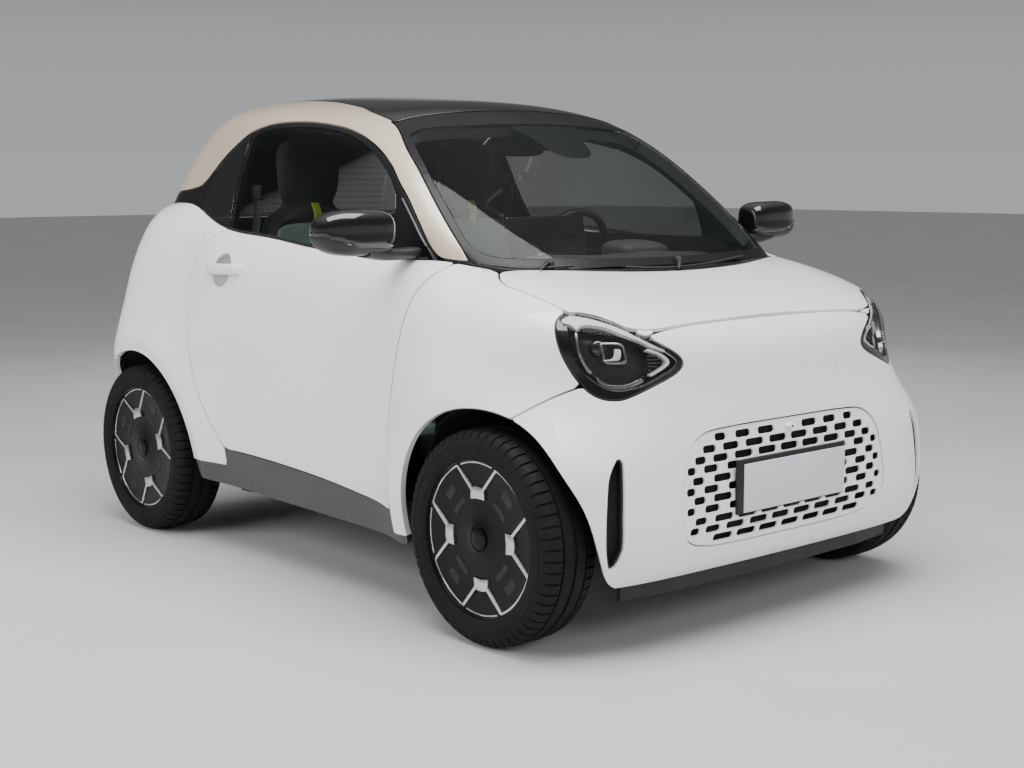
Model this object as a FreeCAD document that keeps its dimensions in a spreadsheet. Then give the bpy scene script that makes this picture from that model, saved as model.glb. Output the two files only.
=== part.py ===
import FreeCAD, Part
import math, os
import Sketcher

# Two-seat electric microcar.
# +X is the car's left, +Y points rearward, +Z up; the origin is on the
# ground under the centre of the plan outline.  Millimetres.

V = FreeCAD.Vector
doc = FreeCAD.newDocument("microcar")
sheet = doc.addObject("Spreadsheet::Sheet", "Dimensions")

CELLS = [
    ("wheel_y_front", -923.5), ("wheel_y_rear", 949.5), ("wheel_z", 295.5),
    ("track_half_front", 725), ("track_half_rear", 705),
    ("tyre_radius", 295.5), ("tyre_width", 185), ("rim_radius", 206.7),
    ("rim_width", 168), ("hub_bore", 20.3), ("spindle_radius", 20),
    ("kingpin_x", 690), ("pin_radius", 9), ("pin_clear", 0.3),
    ("arch_front", 349), ("arch_rear", 345), ("liner_radius", 354), ("liner_wall", 6),
    ("door_thick", 85), ("skin_thick", 30), ("pane_thick", 6), ("cell_thick", 45),
    ("shut_gap", 5.0), ("floor_z", 236), ("floor_thick", 10), ("floor_half", 690),
    ("floor_front", -542), ("floor_rear", 580), ("boot_z", 560),
    ("battery_len", 880), ("battery_wide", 960), ("battery_high", 80),
    ("motor_len", 265), ("motor_wide", 500), ("motor_high", 285),
    ("seat_x", 350), ("seat_wide", 464), ("steer_x", 330), ("steer_y", -60),
    ("steer_z", 965), ("steer_rim", 178), ("steer_tube", 14), ("steer_tilt", 25),
    ("plate_wide", 440), ("plate_high", 140), ("plate_thick", 8),
    ("jack_wide", 60), ("eye_radius", 8), ("eye_depth", 35), ("handle_len", 233), ("handle_high", 32),
]
for i, (alias, value) in enumerate(CELLS, 1):
    sheet.set("A%d" % i, alias)
    sheet.set("B%d" % i, str(value))
    sheet.setAlias("B%d" % i, alias)
doc.recompute()


def q(alias):
    return float(sheet.get(alias))


# ------------------------------------------------------------------ curves
class Curve(object):
    """Natural cubic spline through a table, straight outside it."""

    def __init__(self, xs, ys):
        n = len(xs)
        self.x, self.y = list(xs), list(ys)
        h = [xs[i + 1] - xs[i] for i in range(n - 1)]
        a, b, c, d = [0.0] * n, [1.0] * n, [0.0] * n, [0.0] * n
        for i in range(1, n - 1):
            a[i], b[i], c[i] = h[i - 1], 2 * (h[i - 1] + h[i]), h[i]
            d[i] = 6 * ((ys[i + 1] - ys[i]) / h[i] - (ys[i] - ys[i - 1]) / h[i - 1])
        for i in range(1, n):
            k = a[i] / b[i - 1]
            b[i] -= k * c[i - 1]
            d[i] -= k * d[i - 1]
        m = [0.0] * n
        m[-1] = d[-1] / b[-1]
        for i in range(n - 2, -1, -1):
            m[i] = (d[i] - c[i] * m[i + 1]) / b[i]
        self.m, self.h = m, h
        self.d0 = (ys[1] - ys[0]) / h[0] - h[0] * (2 * m[0] + m[1]) / 6
        self.d1 = (ys[-1] - ys[-2]) / h[-1] + h[-1] * (m[-2] + 2 * m[-1]) / 6

    def __call__(self, t):
        x, y, m = self.x, self.y, self.m
        if t <= x[0]:
            return y[0] + (t - x[0]) * self.d0
        if t >= x[-1]:
            return y[-1] + (t - x[-1]) * self.d1
        i = 0
        while t > x[i + 1]:
            i += 1
        h = self.h[i]
        a, b = (x[i + 1] - t) / h, (t - x[i]) / h
        return a * y[i] + b * y[i + 1] + ((a ** 3 - a) * m[i] + (b ** 3 - b) * m[i + 1]) * h * h / 6


def ease(t):
    t = min(1.0, max(0.0, t))
    return t * t * t * (t * (6 * t - 15) + 10)


def soft_max(k, *a):
    m = max(a)
    return m + k * math.log(sum(math.exp((b - m) / k) for b in a))


# body tables, metres
YF, YR, ZW = q("wheel_y_front") / 1e3, q("wheel_y_rear") / 1e3, q("wheel_z") / 1e3
RF, RR = q("arch_front") / 1e3, q("arch_rear") / 1e3
ZS = [0.12, 0.20, 0.30, 0.40, 0.50, 0.60, 0.70, 0.80, 0.90, 1.00, 1.10, 1.20]
sec_door = Curve(ZS, [.701, .728, .750, .765, .774, .779, .779, .774, .764, .743, .710, .669])
sec_front = Curve(ZS, [.731, .753, .774, .786, .792, .792, .784, .768, .743, .706, .656, .596])
sec_rear = Curve(ZS, [.745, .766, .786, .801, .812, .816, .807, .788, .768, .740, .706, .671])
plan_front = Curve([-1.40, -1.25, -1.10, -0.95, -0.80, -0.60], [-.052, -.018, .0, .006, .007, .006])
plan_rear = Curve([0.7, 0.95, 1.10, 1.25, 1.40], [-.025, -.025, -.031, -.055, -.103])
nose = Curve([.10, .16, .20, .25, .32, .40, .48, .55, .62, .70, .78, .86, .95],
             [-1.19, -1.248, -1.29, -1.317, -1.333, -1.332, -1.324, -1.316, -1.306, -1.298, -1.301, -1.308, -1.319])
tail = Curve([.15, .22, .30, .40, .50, .60, .70, .80, .90, 1.0, 1.1],
             [1.215, 1.284, 1.324, 1.338, 1.343, 1.338, 1.32, 1.294, 1.266, 1.234, 1.195])
crown = Curve([-1.40, -1.30, -1.20, -1.10, -1.00, -0.90, -0.80, -0.70, -0.60],
              [.782, .838, .880, .920, .953, .979, .999, 1.016, 1.028])
belt = Curve([-.75, -.60, -.30, 0.0, .27, .50, .65, .80, 1.0, 1.2, 1.4],
             [1.005, 1.012, 1.035, 1.056, 1.073, 1.085, 1.12, 1.15, 1.15, 1.145, 1.14])
cell_w = Curve([.95, 1.05, 1.15, 1.25, 1.35, 1.45, 1.55], [.687, .688, .658, .620, .581, .543, .503])
cell_p = Curve([-.90, -.70, -.50, -.2, .2, .6, .9, 1.1, 1.3], [-.079, -.045, -.004, .016, .006, -.017, -.053, -.066, -.082])
roof_z = Curve([-.5, -.25, 0, .25, .5, .75, 1.0, 1.25], [1.414, 1.473, 1.50, 1.516, 1.527, 1.525, 1.509, 1.474])


def arch_bump(d, amp, lip):
    d = max(d, 0.0)
    return amp * math.exp(-(d / .12) ** 2) - lip * math.exp(-(d / .035) ** 2)


def half_width(y, z):
    tf, tr = ease((-.35 - y) / .50), ease((y - .30) / .55)
    w = sec_door(z) * (1 - tf - tr) + sec_front(z) * tf + sec_rear(z) * tr
    w += plan_front(min(y, -.6)) * ease((-.45 - y) / .3) + plan_rear(max(y, .7)) * ease((y - .4) / .4)
    w += arch_bump(math.hypot(y - YF, z - ZW) - RF, .034, .014)
    w += arch_bump(math.hypot(y - YR, z - ZW) - RR, .022, .012)
    return w


def front_y(x, z):
    t = ease((z - .45) / .35)
    x = abs(x)
    return nose(z) + (.041 + .100 * t) * x ** 2 + (-.003 + .038 * t) * x ** 4 + (.595 + 1.398 * t) * x ** 8


def rear_y(x, z):
    x = abs(x)
    return tail(z) - .129 * x ** 2 - .349 * x ** 6


def top_z(x, y):
    t = ease((y + .80) / .25)
    x = abs(x)
    return (crown(min(y, -.5)) - .002 * x ** 2 - .289 * x ** 6) * (1 - t) + (belt(y) + .02) * t


def lower(x, y, z):
    a = abs(x)
    s = soft_max(.043, a - half_width(y, z) - .004, front_y(x, z) - y - .004, y - rear_y(x, z) - .004)
    return soft_max(.052, s, z - top_z(x, y) - .004)


def screen_y(x, z):
    return -.89 + (z - .99) * 1.247 + .141 * (z - .99) ** 2 + .304 * x * x


def rear_glass_y(x, z):
    return 1.208 - .307 * (z - 1.06) - .551 * max(z - 1.06, 0) ** 2 - .157 * x ** 2 - .304 * x ** 4


def upper(x, y, z):
    a = abs(x)
    return soft_max(.043, (a - cell_w(z) - cell_p(y)) * .95, (screen_y(x, z) - y) * .62,
                    (y - rear_glass_y(x, z)) * .93, z - (roof_z(y) - .15 * a ** 2 - .296 * a ** 4))


def shoot(f, o, d, start=.05, stop=1.6, step=.03):
    """Distance along a ray at which the body's surface is crossed."""
    s = start
    while s < stop:
        if f(o[0] + d[0] * s, o[1] + d[1] * s, o[2] + d[2] * s) > 0:
            break
        s += step
    a, b = s - step, s
    for _ in range(16):
        m = (a + b) / 2
        if f(o[0] + d[0] * m, o[1] + d[1] * m, o[2] + d[2] * m) > 0:
            b = m
        else:
            a = m
    return (a + b) / 2


def slab(f, rays, skin, wall):
    """Closed solid between the surface lowered by skin and the one wall further in.
    rays is a grid of (origin, unit direction)."""
    def sheet_at(off):
        grid = []
        for line in table:
            grid.append([V((o[0] + d[0] * (s - off)) * 1e3, (o[1] + d[1] * (s - off)) * 1e3,
                           (o[2] + d[2] * (s - off)) * 1e3) for (o, d, s) in line])
        surf = Part.BSplineSurface()
        surf.interpolate(grid)
        return surf
    table = [[(o, d, shoot(f, o, d)) for (o, d) in line] for line in rays]
    A, B = sheet_at(skin), sheet_at(skin + wall)
    faces = [A.toShape(), B.toShape()]
    ua, ub, va, vb = A.bounds()
    uc, ud, vc, vd = B.bounds()
    for (ca, cb) in ((A.uIso(ua), B.uIso(uc)), (A.uIso(ub), B.uIso(ud)),
                     (A.vIso(va), B.vIso(vc)), (A.vIso(vb), B.vIso(vd))):
        faces.append(Part.makeRuledSurface(ca.toShape(), cb.toShape()))
    comp = Part.Compound(faces)
    comp.sewShape(0.01)
    solid = Part.Solid(comp.Shells[0])
    if solid.Volume < 0:
        solid.reverse()
    return solid


def frange(a, b, n):
    return [a + (b - a) * i / (n - 1.0) for i in range(n)]


def side_rays(y0, y1, n, m, z0=.17, drop=.006, top=None):
    rays = []
    for y in frange(y0, y1, n):
        zt = (top(y) if top else min(belt(y), top_z(.60, y))) - drop
        rays.append([((.2, y, z), (1, 0, 0)) for z in frange(z0, zt, m)])
    return rays


def turn_rays(cx, cy, z0, z1, m, sign, reach):
    """Rays that swing round one end of the car; sign -1 front, +1 rear."""
    side = []
    for i in range(5):
        side.append(((cx, cy - sign * reach * (1 - i / 5.0)), 90.0))
    for a in frange(90, 0, 13):
        side.append(((cx, cy), a))
    for i in range(1, 7):
        side.append(((cx * (1 - i / 7.0), cy), 0.0))
    full = [((x, y), a, 1) for ((x, y), a) in side] + [((0, cy), 0.0, 1)] + \
           [((-x, y), a, -1) for ((x, y), a) in reversed(side)]
    rays = []
    for ((x, y), a, s) in full:
        r = math.radians(a)
        d = (s * math.sin(r), sign * math.cos(r), 0)
        rays.append([((x, y, z), d) for z in frange(z0, z1, m)])
    return rays


def corner_rays(m):
    """Rays along the left flank behind the door that turn round the rear corner."""
    rays = []
    for y in frange(.34, .92, 15):
        rays.append([((.30, y, z), (1, 0, 0)) for z in frange(.20, belt(y) - .006, m)])
    for a in frange(82, 18, 9):
        r = math.radians(a)
        rays.append([((.30, .92, z), (math.sin(r), math.cos(r), 0)) for z in frange(.20, 1.140, m)])
    return rays


def top_rays(x0, x1, n, y0, y1, m):
    return [[((x, y, .6), (0, 0, 1)) for y in frange(y0, y1, m)] for x in frange(x0, x1, n)]


def cell_rays(n, m):
    rays = []
    for i in range(n):
        t = i / (n - 1.0)
        oy, tau = -.58 + 1.56 * t, math.radians(-83 + 164 * t)
        line = []
        for j in range(m):
            p = math.pi * j / (m - 1.0)
            d = (math.cos(p), math.sin(p) * math.sin(tau), math.sin(p) * math.cos(tau))
            line.append(((0, oy, .96), d))
        rays.append(line)
    return rays


# ------------------------------------------------------------- flat outlines
def outline(points, axis, lo, hi, grow=0.0):
    """Prism over a closed outline.  axis X: points are (y, z); Y: (x, z); Z: (x, y).  Metres."""
    def put(p):
        a, b = p[0] * 1e3, p[1] * 1e3
        return {"X": V(lo * 1e3, a, b), "Y": V(a, lo * 1e3, b), "Z": V(a, b, lo * 1e3)}[axis]
    pts = [put(p) for p in points]
    wire = Part.makePolygon(pts + [pts[0]])
    if grow:
        wire = wire.makeOffset2D(grow, 2)
    way = {"X": V(1, 0, 0), "Y": V(0, 1, 0), "Z": V(0, 0, 1)}[axis]
    return Part.Face(wire).extrude(way * ((hi - lo) * 1e3))


def both(points, axis, lo, hi, grow=0.0):
    a = outline(points, axis, lo, hi, grow)
    return a.fuse(a.mirror(V(0, 0, 0), V(1, 0, 0)))


def spline_pts(points, n=6):
    """Denser copy of a point list along a smooth curve through it."""
    c = Part.BSplineCurve()
    c.interpolate([V(p[0], p[1], 0) for p in points])
    k = n * (len(points) - 1)
    a, b = c.FirstParameter, c.LastParameter
    out = []
    for i in range(k + 1):
        p = c.value(a + (b - a) * i / k)
        out.append((p.x, p.y))
    return out


def arc_pts(cy, cz, r, a0, a1, n=14):
    return [(cy + r * math.cos(math.radians(a)), cz + r * math.sin(math.radians(a))) for a in frange(a0, a1, n)]


def box(x0, x1, y0, y1, z0, z1):
    return Part.makeBox(x1 - x0, y1 - y0, z1 - z0, V(x0, y0, z0))


def mirrored(shape):
    return shape.mirror(V(0, 0, 0), V(1, 0, 0))


def clean(shape, keep_small=1.0):
    solids = [s for s in shape.Solids if s.Volume > keep_small]
    if not solids:
        raise RuntimeError("no solid left")
    return solids[0] if len(solids) == 1 else Part.Compound(solids)


OUT = []


def keep(obj, label):
    obj.Label = label
    OUT.append(obj)
    return obj


def feature(label, shape):
    obj = doc.addObject("Part::Feature", label)
    obj.Shape = clean(shape)
    obj.Placement = FreeCAD.Placement()
    return keep(obj, label)


# ------------------------------------------------------------- body skins
skin = q("skin_thick") / 1e3
gap = q("shut_gap") / 1e3
G = q("shut_gap")

side_skin = slab(lower, side_rays(-1.16, -.40, 17, 15), 0, skin)
door_skin = slab(lower, side_rays(-.68, .70, 24, 15), 0, q("door_thick") / 1e3)
rear_side_skin = slab(lower, corner_rays(19), 0, skin)
front_skin = slab(lower, turn_rays(.30, -.88, .17, .868, 20, -1, .25), 0, skin)
front_deep = slab(lower, turn_rays(.30, -.88, .62, .93, 9, -1, .20), 0, .09)
front_recess = slab(lower, turn_rays(.30, -.88, .2, .60, 11, -1, .12), .012, .026)
rear_skin = slab(lower, turn_rays(.30, .92, .20, 1.135, 21, 1, .14), 0, skin)
rear_deep = slab(lower, turn_rays(.30, .92, .56, 1.10, 14, 1, .14), 0, .06)
hood_skin = slab(lower, top_rays(-.71, .71, 27, -1.235, -.62, 17), 0, .026)
cell = slab(upper, cell_rays(43, 37), 0, q("cell_thick") / 1e3)
pane = slab(upper, cell_rays(43, 37), .004, q("pane_thick") / 1e3)
for nm, s in (("side", side_skin), ("door", door_skin), ("rside", rear_side_skin), ("front", front_skin),
              ("fdeep", front_deep), ("frec", front_recess), ("rear", rear_skin), ("rdeep", rear_deep),
              ("hood", hood_skin), ("cell", cell), ("pane", pane)):
    if not s.isValid() or s.Volume < 1000:
        print("skin trouble", nm, s.isValid(), s.Volume)

# outlines in side view (y, z)
door_front = [(-.654, 1.02), (-.647, 1.005), (-.591, .927), (-.554, .796), (-.534, .664), (-.523, .487), (-.513, .303)]
door_rear = [(.413, .357), (.498, .477), (.569, .625), (.597, .708), (.615, .828), (.628, .90), (.622, .954), (.60, 1.008), (.572, 1.04), (.497, 1.077)]
door_bottom = [(-.35, .318), (-.15, .338), (.10, .352), (.28, .357)]
door_low = spline_pts(door_front) + door_bottom + spline_pts(door_rear)
glass_front = [(-.553, 1.022), (-.456, 1.130), (-.372, 1.212), (-.299, 1.288), (-.225, 1.347), (-.148, 1.382), (-.070, 1.402),
               (.052, 1.417), (.180, 1.422), (.312, 1.421), (.395, 1.413)]
aperture = [(-.575, .995)] + spline_pts(glass_front, 3) + [(.497, 1.075), (.517, 1.03), (.517, .995)]
window = [(-.47, 1.055), (-.425, 1.112), (-.345, 1.196), (-.275, 1.268), (-.207, 1.324), (-.137, 1.358), (-.064, 1.378),
          (.052, 1.392), (.180, 1.397), (.300, 1.396), (.366, 1.390), (.462, 1.100), (.20, 1.082), (0, 1.070), (-.30, 1.055)]
quarter = [(.522, 1.105), (.60, 1.115), (.655, 1.150), (.775, 1.215), (.701, 1.262), (.640, 1.31), (.598, 1.334), (.499, 1.383), (.440, 1.398)]
seam = [(-1.231, .753), (-1.190, .728), (-1.118, .689), (-1.03, .628)]
lamp = [(.6273, .900), (.6081, .9002), (.5925, .8974), (.5722, .891), (.5489, .8782), (.5242, .8601), (.4938, .8414), (.4575, .8219),
        (.4223, .8016), (.3963, .7829), (.3867, .7664), (.3898, .7546), (.4047, .7424), (.4328, .7295), (.4763, .7141), (.5236, .6977),
        (.5618, .6855), (.5836, .6808), (.6053, .6811), (.6266, .6859), (.6444, .6983), (.6592, .7211), (.670, .7466), (.6806, .7801),
        (.686, .8084), (.6862, .8364), (.6816, .8591), (.6718, .8766), (.6588, .8887), (.6445, .8964)]
slot = [(.6345, .5391), (.6264, .5336), (.6264, .521), (.6305, .4857), (.6341, .4343), (.638, .3827), (.638, .3298), (.638, .3053),
        (.6418, .2892), (.6505, .2649), (.6587, .2549), (.6653, .2605), (.6739, .284), (.6806, .3203), (.6816, .3734), (.6787, .4123),
        (.6731, .4636), (.668, .4888), (.6575, .5109), (.6458, .5275)]
grille_half = [(0, .586), (.11, .586), (.24, .584), (.335, .577), (.375, .560), (.403, .535), (.420, .50), (.432, .45), (.438, .40),
               (.437, .345), (.425, .310), (.40, .288), (.35, .275), (.27, .268), (.10, .2665), (0, .2665)]
grille = grille_half + [(-a, b) for a, b in reversed(grille_half[1:-1])]

# ------------------------------------------------------------- bonnet, front end
hood_half = [(.606, -.785), (.628, -.815), (.644, -.858), (.643, -.93), (.638, -1.0005), (.627, -1.0857), (.603, -1.130), (.570, -1.167),
             (.526, -1.195), (.483, -1.212), (.436, -1.221), (.27, -1.223), (0, -1.219)]
glass_foot = [(0, -.925), (.15, -.917), (.30, -.893), (.45, -.845)]
hood_out = [(-a, b) for a, b in glass_foot[1:] + hood_half[:-1]] + [hood_half[-1]] + list(reversed(hood_half[:-1])) + list(reversed(glass_foot))
bonnet = hood_skin.common(outline(hood_out, "Z", .5, 1.2, -G / 2)).cut(both(lamp, "Y", -1.5, -.95, G))
feature("bonnet", bonnet)

arch_cut = [(YF + .0, .0)] + arc_pts(YF, ZW, RF, -90, 270, 60)
arch_front = outline(arc_pts(YF, ZW, RF, 0, 354, 60), "X", -1.0, 1.0)
arch_rear = outline(arc_pts(YR, ZW, RR, 0, 354, 60), "X", -1.0, 1.0)
lamp_hole = both(lamp, "Y", -1.5, -.95, G / 2)
slot_hole = both(slot, "Y", -1.5, -1.0, .5)
grille_hole = outline(grille, "Y", -1.5, -1.1, G / 2)

bumper_side = [(-1.5, .195), (-1.5, .90), (-1.222, .90), (-1.231, .80)] + [(y - gap / 2, z - gap / 2) for y, z in seam] + [(YF, .60), (YF, .195)]
bumper = front_skin.common(outline(bumper_side, "X", -1.0, 1.0)).cut(arch_front).cut(lamp_hole).cut(slot_hole).cut(grille_hole)
bumper = bumper.cut(outline(hood_out, "Z", .5, 1.2, G / 2))
feature("front_bumper", bumper)

g = front_skin.common(outline(grille, "Y", -1.5, -1.1, -G / 2))
feature("front_grille", g)
feature("corner_vents", front_recess.common(both(slot, "Y", -1.5, -1.0)))
feature("headlamps", front_deep.common(both(lamp, "Y", -1.5, -.95, -G / 2)))

fender_out = [(y - gap, z) for y, z in reversed(door_front)]
fender_poly = [(-.513 - gap, .22)] + fender_out + [(-.66, 1.05), (-1.30, 1.05), (-1.30, .78)] + seam + [(YF, .60), (YF, .22)]
f1 = side_skin.common(outline(fender_poly, "X", .3, 1.0))
f2 = hood_skin.common(outline([(.600, -.64), (.600, -.80), (.62, -1.10), (.58, -1.17), (.72, -1.17), (.72, -.64)], "Z", .5, 1.2))
f2 = f2.common(outline(fender_poly, "X", .3, 1.0))
fender = f1.fuse(f2).cut(arch_front).cut(lamp_hole).cut(outline(hood_out, "Z", .5, 1.2, G / 2))
fender = clean(fender, 50000)
feature("front_fenders", Part.Compound([fender, mirrored(fender)]))

dam = outline([(-.455, -1.12), (-.58, -1.222), (-.58, -1.235), (-.40, -1.262), (0, -1.272), (.40, -1.262), (.58, -1.235), (.58, -1.222), (.455, -1.12)], "Z", .150, .190)
feature("air_dam", dam)
P = doc.addObject("Part::Box", "front_plate")
P.setExpression("Length", "Dimensions.plate_wide")
P.setExpression("Width", "Dimensions.plate_thick")
P.setExpression("Height", "Dimensions.plate_high")
P.Placement = FreeCAD.Placement(V(-q("plate_wide") / 2, -1347.5, 350), FreeCAD.Rotation())
keep(P, "front_plate")

# ------------------------------------------------------------- upper cell
ws_out = [(-.612, .985), (-.505, 1.412), (-.46, 1.428), (-.25, 1.441), (0, 1.446), (.25, 1.441), (.46, 1.428), (.505, 1.412), (.612, .985)]
ws = outline(ws_out, "Y", -1.2, .05)
roof_out = [(-.50, -.172), (-.25, -.200), (0, -.207), (.25, -.200), (.50, -.172), (.515, .2), (.51, .6), (.485, .84), (.445, .895),
            (.25, .925), (0, .932), (-.25, .925), (-.445, .895), (-.485, .84), (-.51, .6), (-.515, .2)]
roof = outline(roof_out, "Z", 1.3, 1.7)
rg_out = [(-.54, 1.055), (-.455, 1.40), (-.44, 1.60), (.44, 1.60), (.455, 1.40), (.54, 1.055)]
win = pane.common(outline(ws_out, "Y", -1.2, .05, -G / 2))
win = win.cut(outline(roof_out, "Z", 1.3, 1.7, G / 2)).cut(fender).cut(mirrored(fender))
feature("windscreen", win)
side_hole = outline(aperture, "X", -1.0, 1.0)
feature("roof_panel", clean(cell.common(outline(roof_out, "Z", 1.3, 1.7, -G / 2)).cut(side_hole), 20000))
feature("rear_window", pane.common(outline(rg_out, "Y", .990, 1.5, -G)))
q_hole = outline(quarter, "X", -1.0, 1.0)
cage = cell.cut(outline(ws_out, "Y", -1.2, .05, .3)).cut(outline(roof_out, "Z", 1.3, 1.7, .3)).cut(outline(rg_out, "Y", .985, 1.5, .3)).cut(side_hole).cut(q_hole)
cage = cage.cut(box(-1000, 1000, -1200, 480, 0, 1003)).cut(box(-1000, 1000, 470, 1500, 0, 1020))
# B-pillars run from the roof rail down to the rocker beams
post = [(.470, .290), (.560, .290), (.566, 1.04), (.535, 1.10), (.455, 1.385), (.425, 1.385), (.505, 1.08), (.505, 1.00), (.470, .60)]
lean = Part.makePolygon([V(x, 0, z) for x, z in ((590, 290), (640, 290), (612, 880), (596, 990), (598, 1070), (580, 1400), (533, 1400), (562, 1070), (577, 990), (586, 880), (590, 400), (590, 290))])
leanp = Part.Face(lean).extrude(V(0, 1400, 0))
bpost = leanp.common(outline(post, "X", .3, 1.0)).cut(side_hole).cut(q_hole)
bpost = max(bpost.Solids, key=lambda t: t.Volume)
qw = pane.common(outline(quarter, "X", .3, 1.0, -.5))
feature("quarter_windows", Part.Compound([clean(qw), mirrored(clean(qw))]))
# rear quarter panels, and the cage cut back to clear them, the tailgate and the wings
lamp_r = [(.558, .862), (.546, .876), (.545, .95), (.547, 1.03), (.560, 1.045), (.61, 1.046), (.665, 1.043), (.678, 1.028), (.680, .95), (.677, .876), (.664, .862), (.61, .860)]
gate = [(-.515, .628), (-.525, .80), (-.515, 1.02), (-.50, 1.040), (.50, 1.040), (.515, 1.02), (.525, .80), (.515, .628)]
quarter_poly = [(y + gap, z) for y, z in spline_pts(door_rear)] + [(.594, 1.090), (.661, 1.128), (.78, 1.143), (1.14, 1.143), (1.50, 1.143), (1.50, .614 + gap), (1.17, .614 + gap), (1.10, .60 + gap), (YR, .56 + gap), (YR, .3), (.60, .3), (.46, .36)]
flank = rear_side_skin.common(outline(quarter_poly, "X", .3, 1.0)).cut(arch_rear).cut(outline(lamp_r, "Y", 1.04, 1.5, G / 2))
flank = clean(flank.cut(outline([(-.2, .3), (-.2, 1.3), (.527, 1.3), (.527, .3)], "Y", .9, 1.5)), 30000)
feature("rear_quarters", Part.Compound(list(flank.Solids) + [mirrored(s) for s in flank.Solids]))
cage = cage.cut(outline(gate, "Y", .9, 1.5, G))
cage = cage.cut(flank).cut(mirrored(flank)).cut(fender).cut(mirrored(fender))

# ------------------------------------------------------------- doors
leaf = door_skin.common(outline(door_low, "X", .3, 1.0, -G / 2))
leaf = leaf.cut(outline(arc_pts(YF, ZW, RF + .012, 0, 354, 60), "X", -1.0, 1.0))
ring = cell.common(outline(aperture, "X", .3, 1.0, -G)).cut(outline(window, "X", .3, 1.0))
leaf = clean(leaf.fuse(ring), 5000)
feature("door_left", leaf)
feature("door_right", mirrored(leaf))


def swung(shape, angle, shift=(0, 0, 0)):
    c = shape.copy()
    c.rotate(V(770, -665, 600), V(0, 0, -1), angle)
    c.translate(V(*shift))
    return c


# the cage gives way to the shut door and to its front corner while it swings
front_corner = leaf.common(box(400, 900, -800, -430, 930, 1110))
rear_corner = leaf.common(box(400, 900, 380, 800, 860, 1110))
moves = [(front_corner, a, d) for a in (0, 4, 8, 12, 17, 22, 28, 35, 45, 55, 65) for d in ((0, 0, 0), (-4, 0, 3))]
moves += [(rear_corner, 0, (0, 0, 0)), (rear_corner, 0, (-5, 0, 0)), (rear_corner, 0, (0, 0, 5)), (rear_corner, 0, (0, 5, 0)), (rear_corner, 1, (0, 0, 0)),
          (rear_corner, 2, (0, 0, 0)), (rear_corner, 3, (0, 0, 0)), (rear_corner, 4.5, (0, 0, 0))]
for piece, angle, shift in moves:
    swept = swung(piece, angle, shift)
    cage = cage.cut(swept).cut(mirrored(swept))
bpost = bpost.cut(leaf).cut(leaf.translated(V(-6, 0, 0))).cut(leaf.translated(V(0, 0, -6)))
bpost = max(bpost.Solids, key=lambda t: t.Volume)
cage = clean(cage, 1e6).fuse([bpost, mirrored(bpost)])
feature("safety_cell", clean(cage, 20000))
gl = clean(pane.common(outline(window, "X", .3, 1.0, -.5)))
feature("door_glass_left", gl)
feature("door_glass_right", mirrored(gl))
# mirrors: a swept shell on a foot at the front lower corner of the glass
mir = Part.makeSphere(1)
m1 = FreeCAD.Matrix()
m1.scale(114, 60, 70)
shell = mir.transformGeometry(m1)
shell.Placement = FreeCAD.Placement(V(884, -514, 1092), FreeCAD.Rotation())
foot = Part.Face(Part.makePolygon([V(652, -585, 1024), V(652, -510, 1024), V(850, -490, 1024), V(850, -545, 1024), V(652, -585, 1024)])).extrude(V(0, 0, 24))
foot = foot.cut(cell.common(box(500, 760, -700, -300, 1000, 1100)))
mirror_l = shell.fuse(foot)
mirror_l = clean(mirror_l.cut(leaf).cut(gl), 5000)
feature("mirror_left", mirror_l)
feature("mirror_right", mirrored(mirror_l))

# ------------------------------------------------------------- rear end
bump_r = [(YR, .26), (1.0, .215), (1.5, .215), (1.5, .612), (1.17, .612), (1.10, .60), (YR, .56)]
rb = rear_skin.common(outline(bump_r, "X", -1.0, 1.0)).cut(arch_rear)
rb = clean(rb.cut(Part.makeCylinder(24, 300, V(330, 1200, 300), V(0, 1, 0))), 30000)
feature("rear_bumper", rb)
tg = rear_deep.common(outline(gate, "Y", .9, 1.5, -G / 2))
feature("tailgate", tg)
rear_bulge = slab(lower, turn_rays(.30, .92, .80, 1.10, 11, 1, .14), -.010, .045)
tl = rear_bulge.common(outline(lamp_r, "Y", 1.04, 1.5, -G / 2))
feature("tail_lamps", Part.Compound([clean(tl), mirrored(clean(tl))]) if len(clean(tl).Solids) == 1 else clean(tl.fuse(mirrored(tl))))

# sills
sill = [(-.573, .205), (.44, .228), (.575, .236), (.600, .300), (.578, .345), (.45, .353), (.28, .351), (.10, .346), (-.15, .332), (-.35, .312), (-.513, .297), (-.573, .290)]
sl = slab(lower, side_rays(-.68, .70, 20, 6, .19, 0, lambda y: .37), 0, .055).common(outline(sill, "X", .3, 1.0)).cut(arch_front).cut(arch_rear)
sl = max(sl.cut(fender).cut(flank).Solids, key=lambda t: t.Volume)

# ------------------------------------------------------------- sketch helpers
def plane(body, role):
    for o in body.Origin.OriginFeatures:
        if o.Role == role:
            return o


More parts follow.
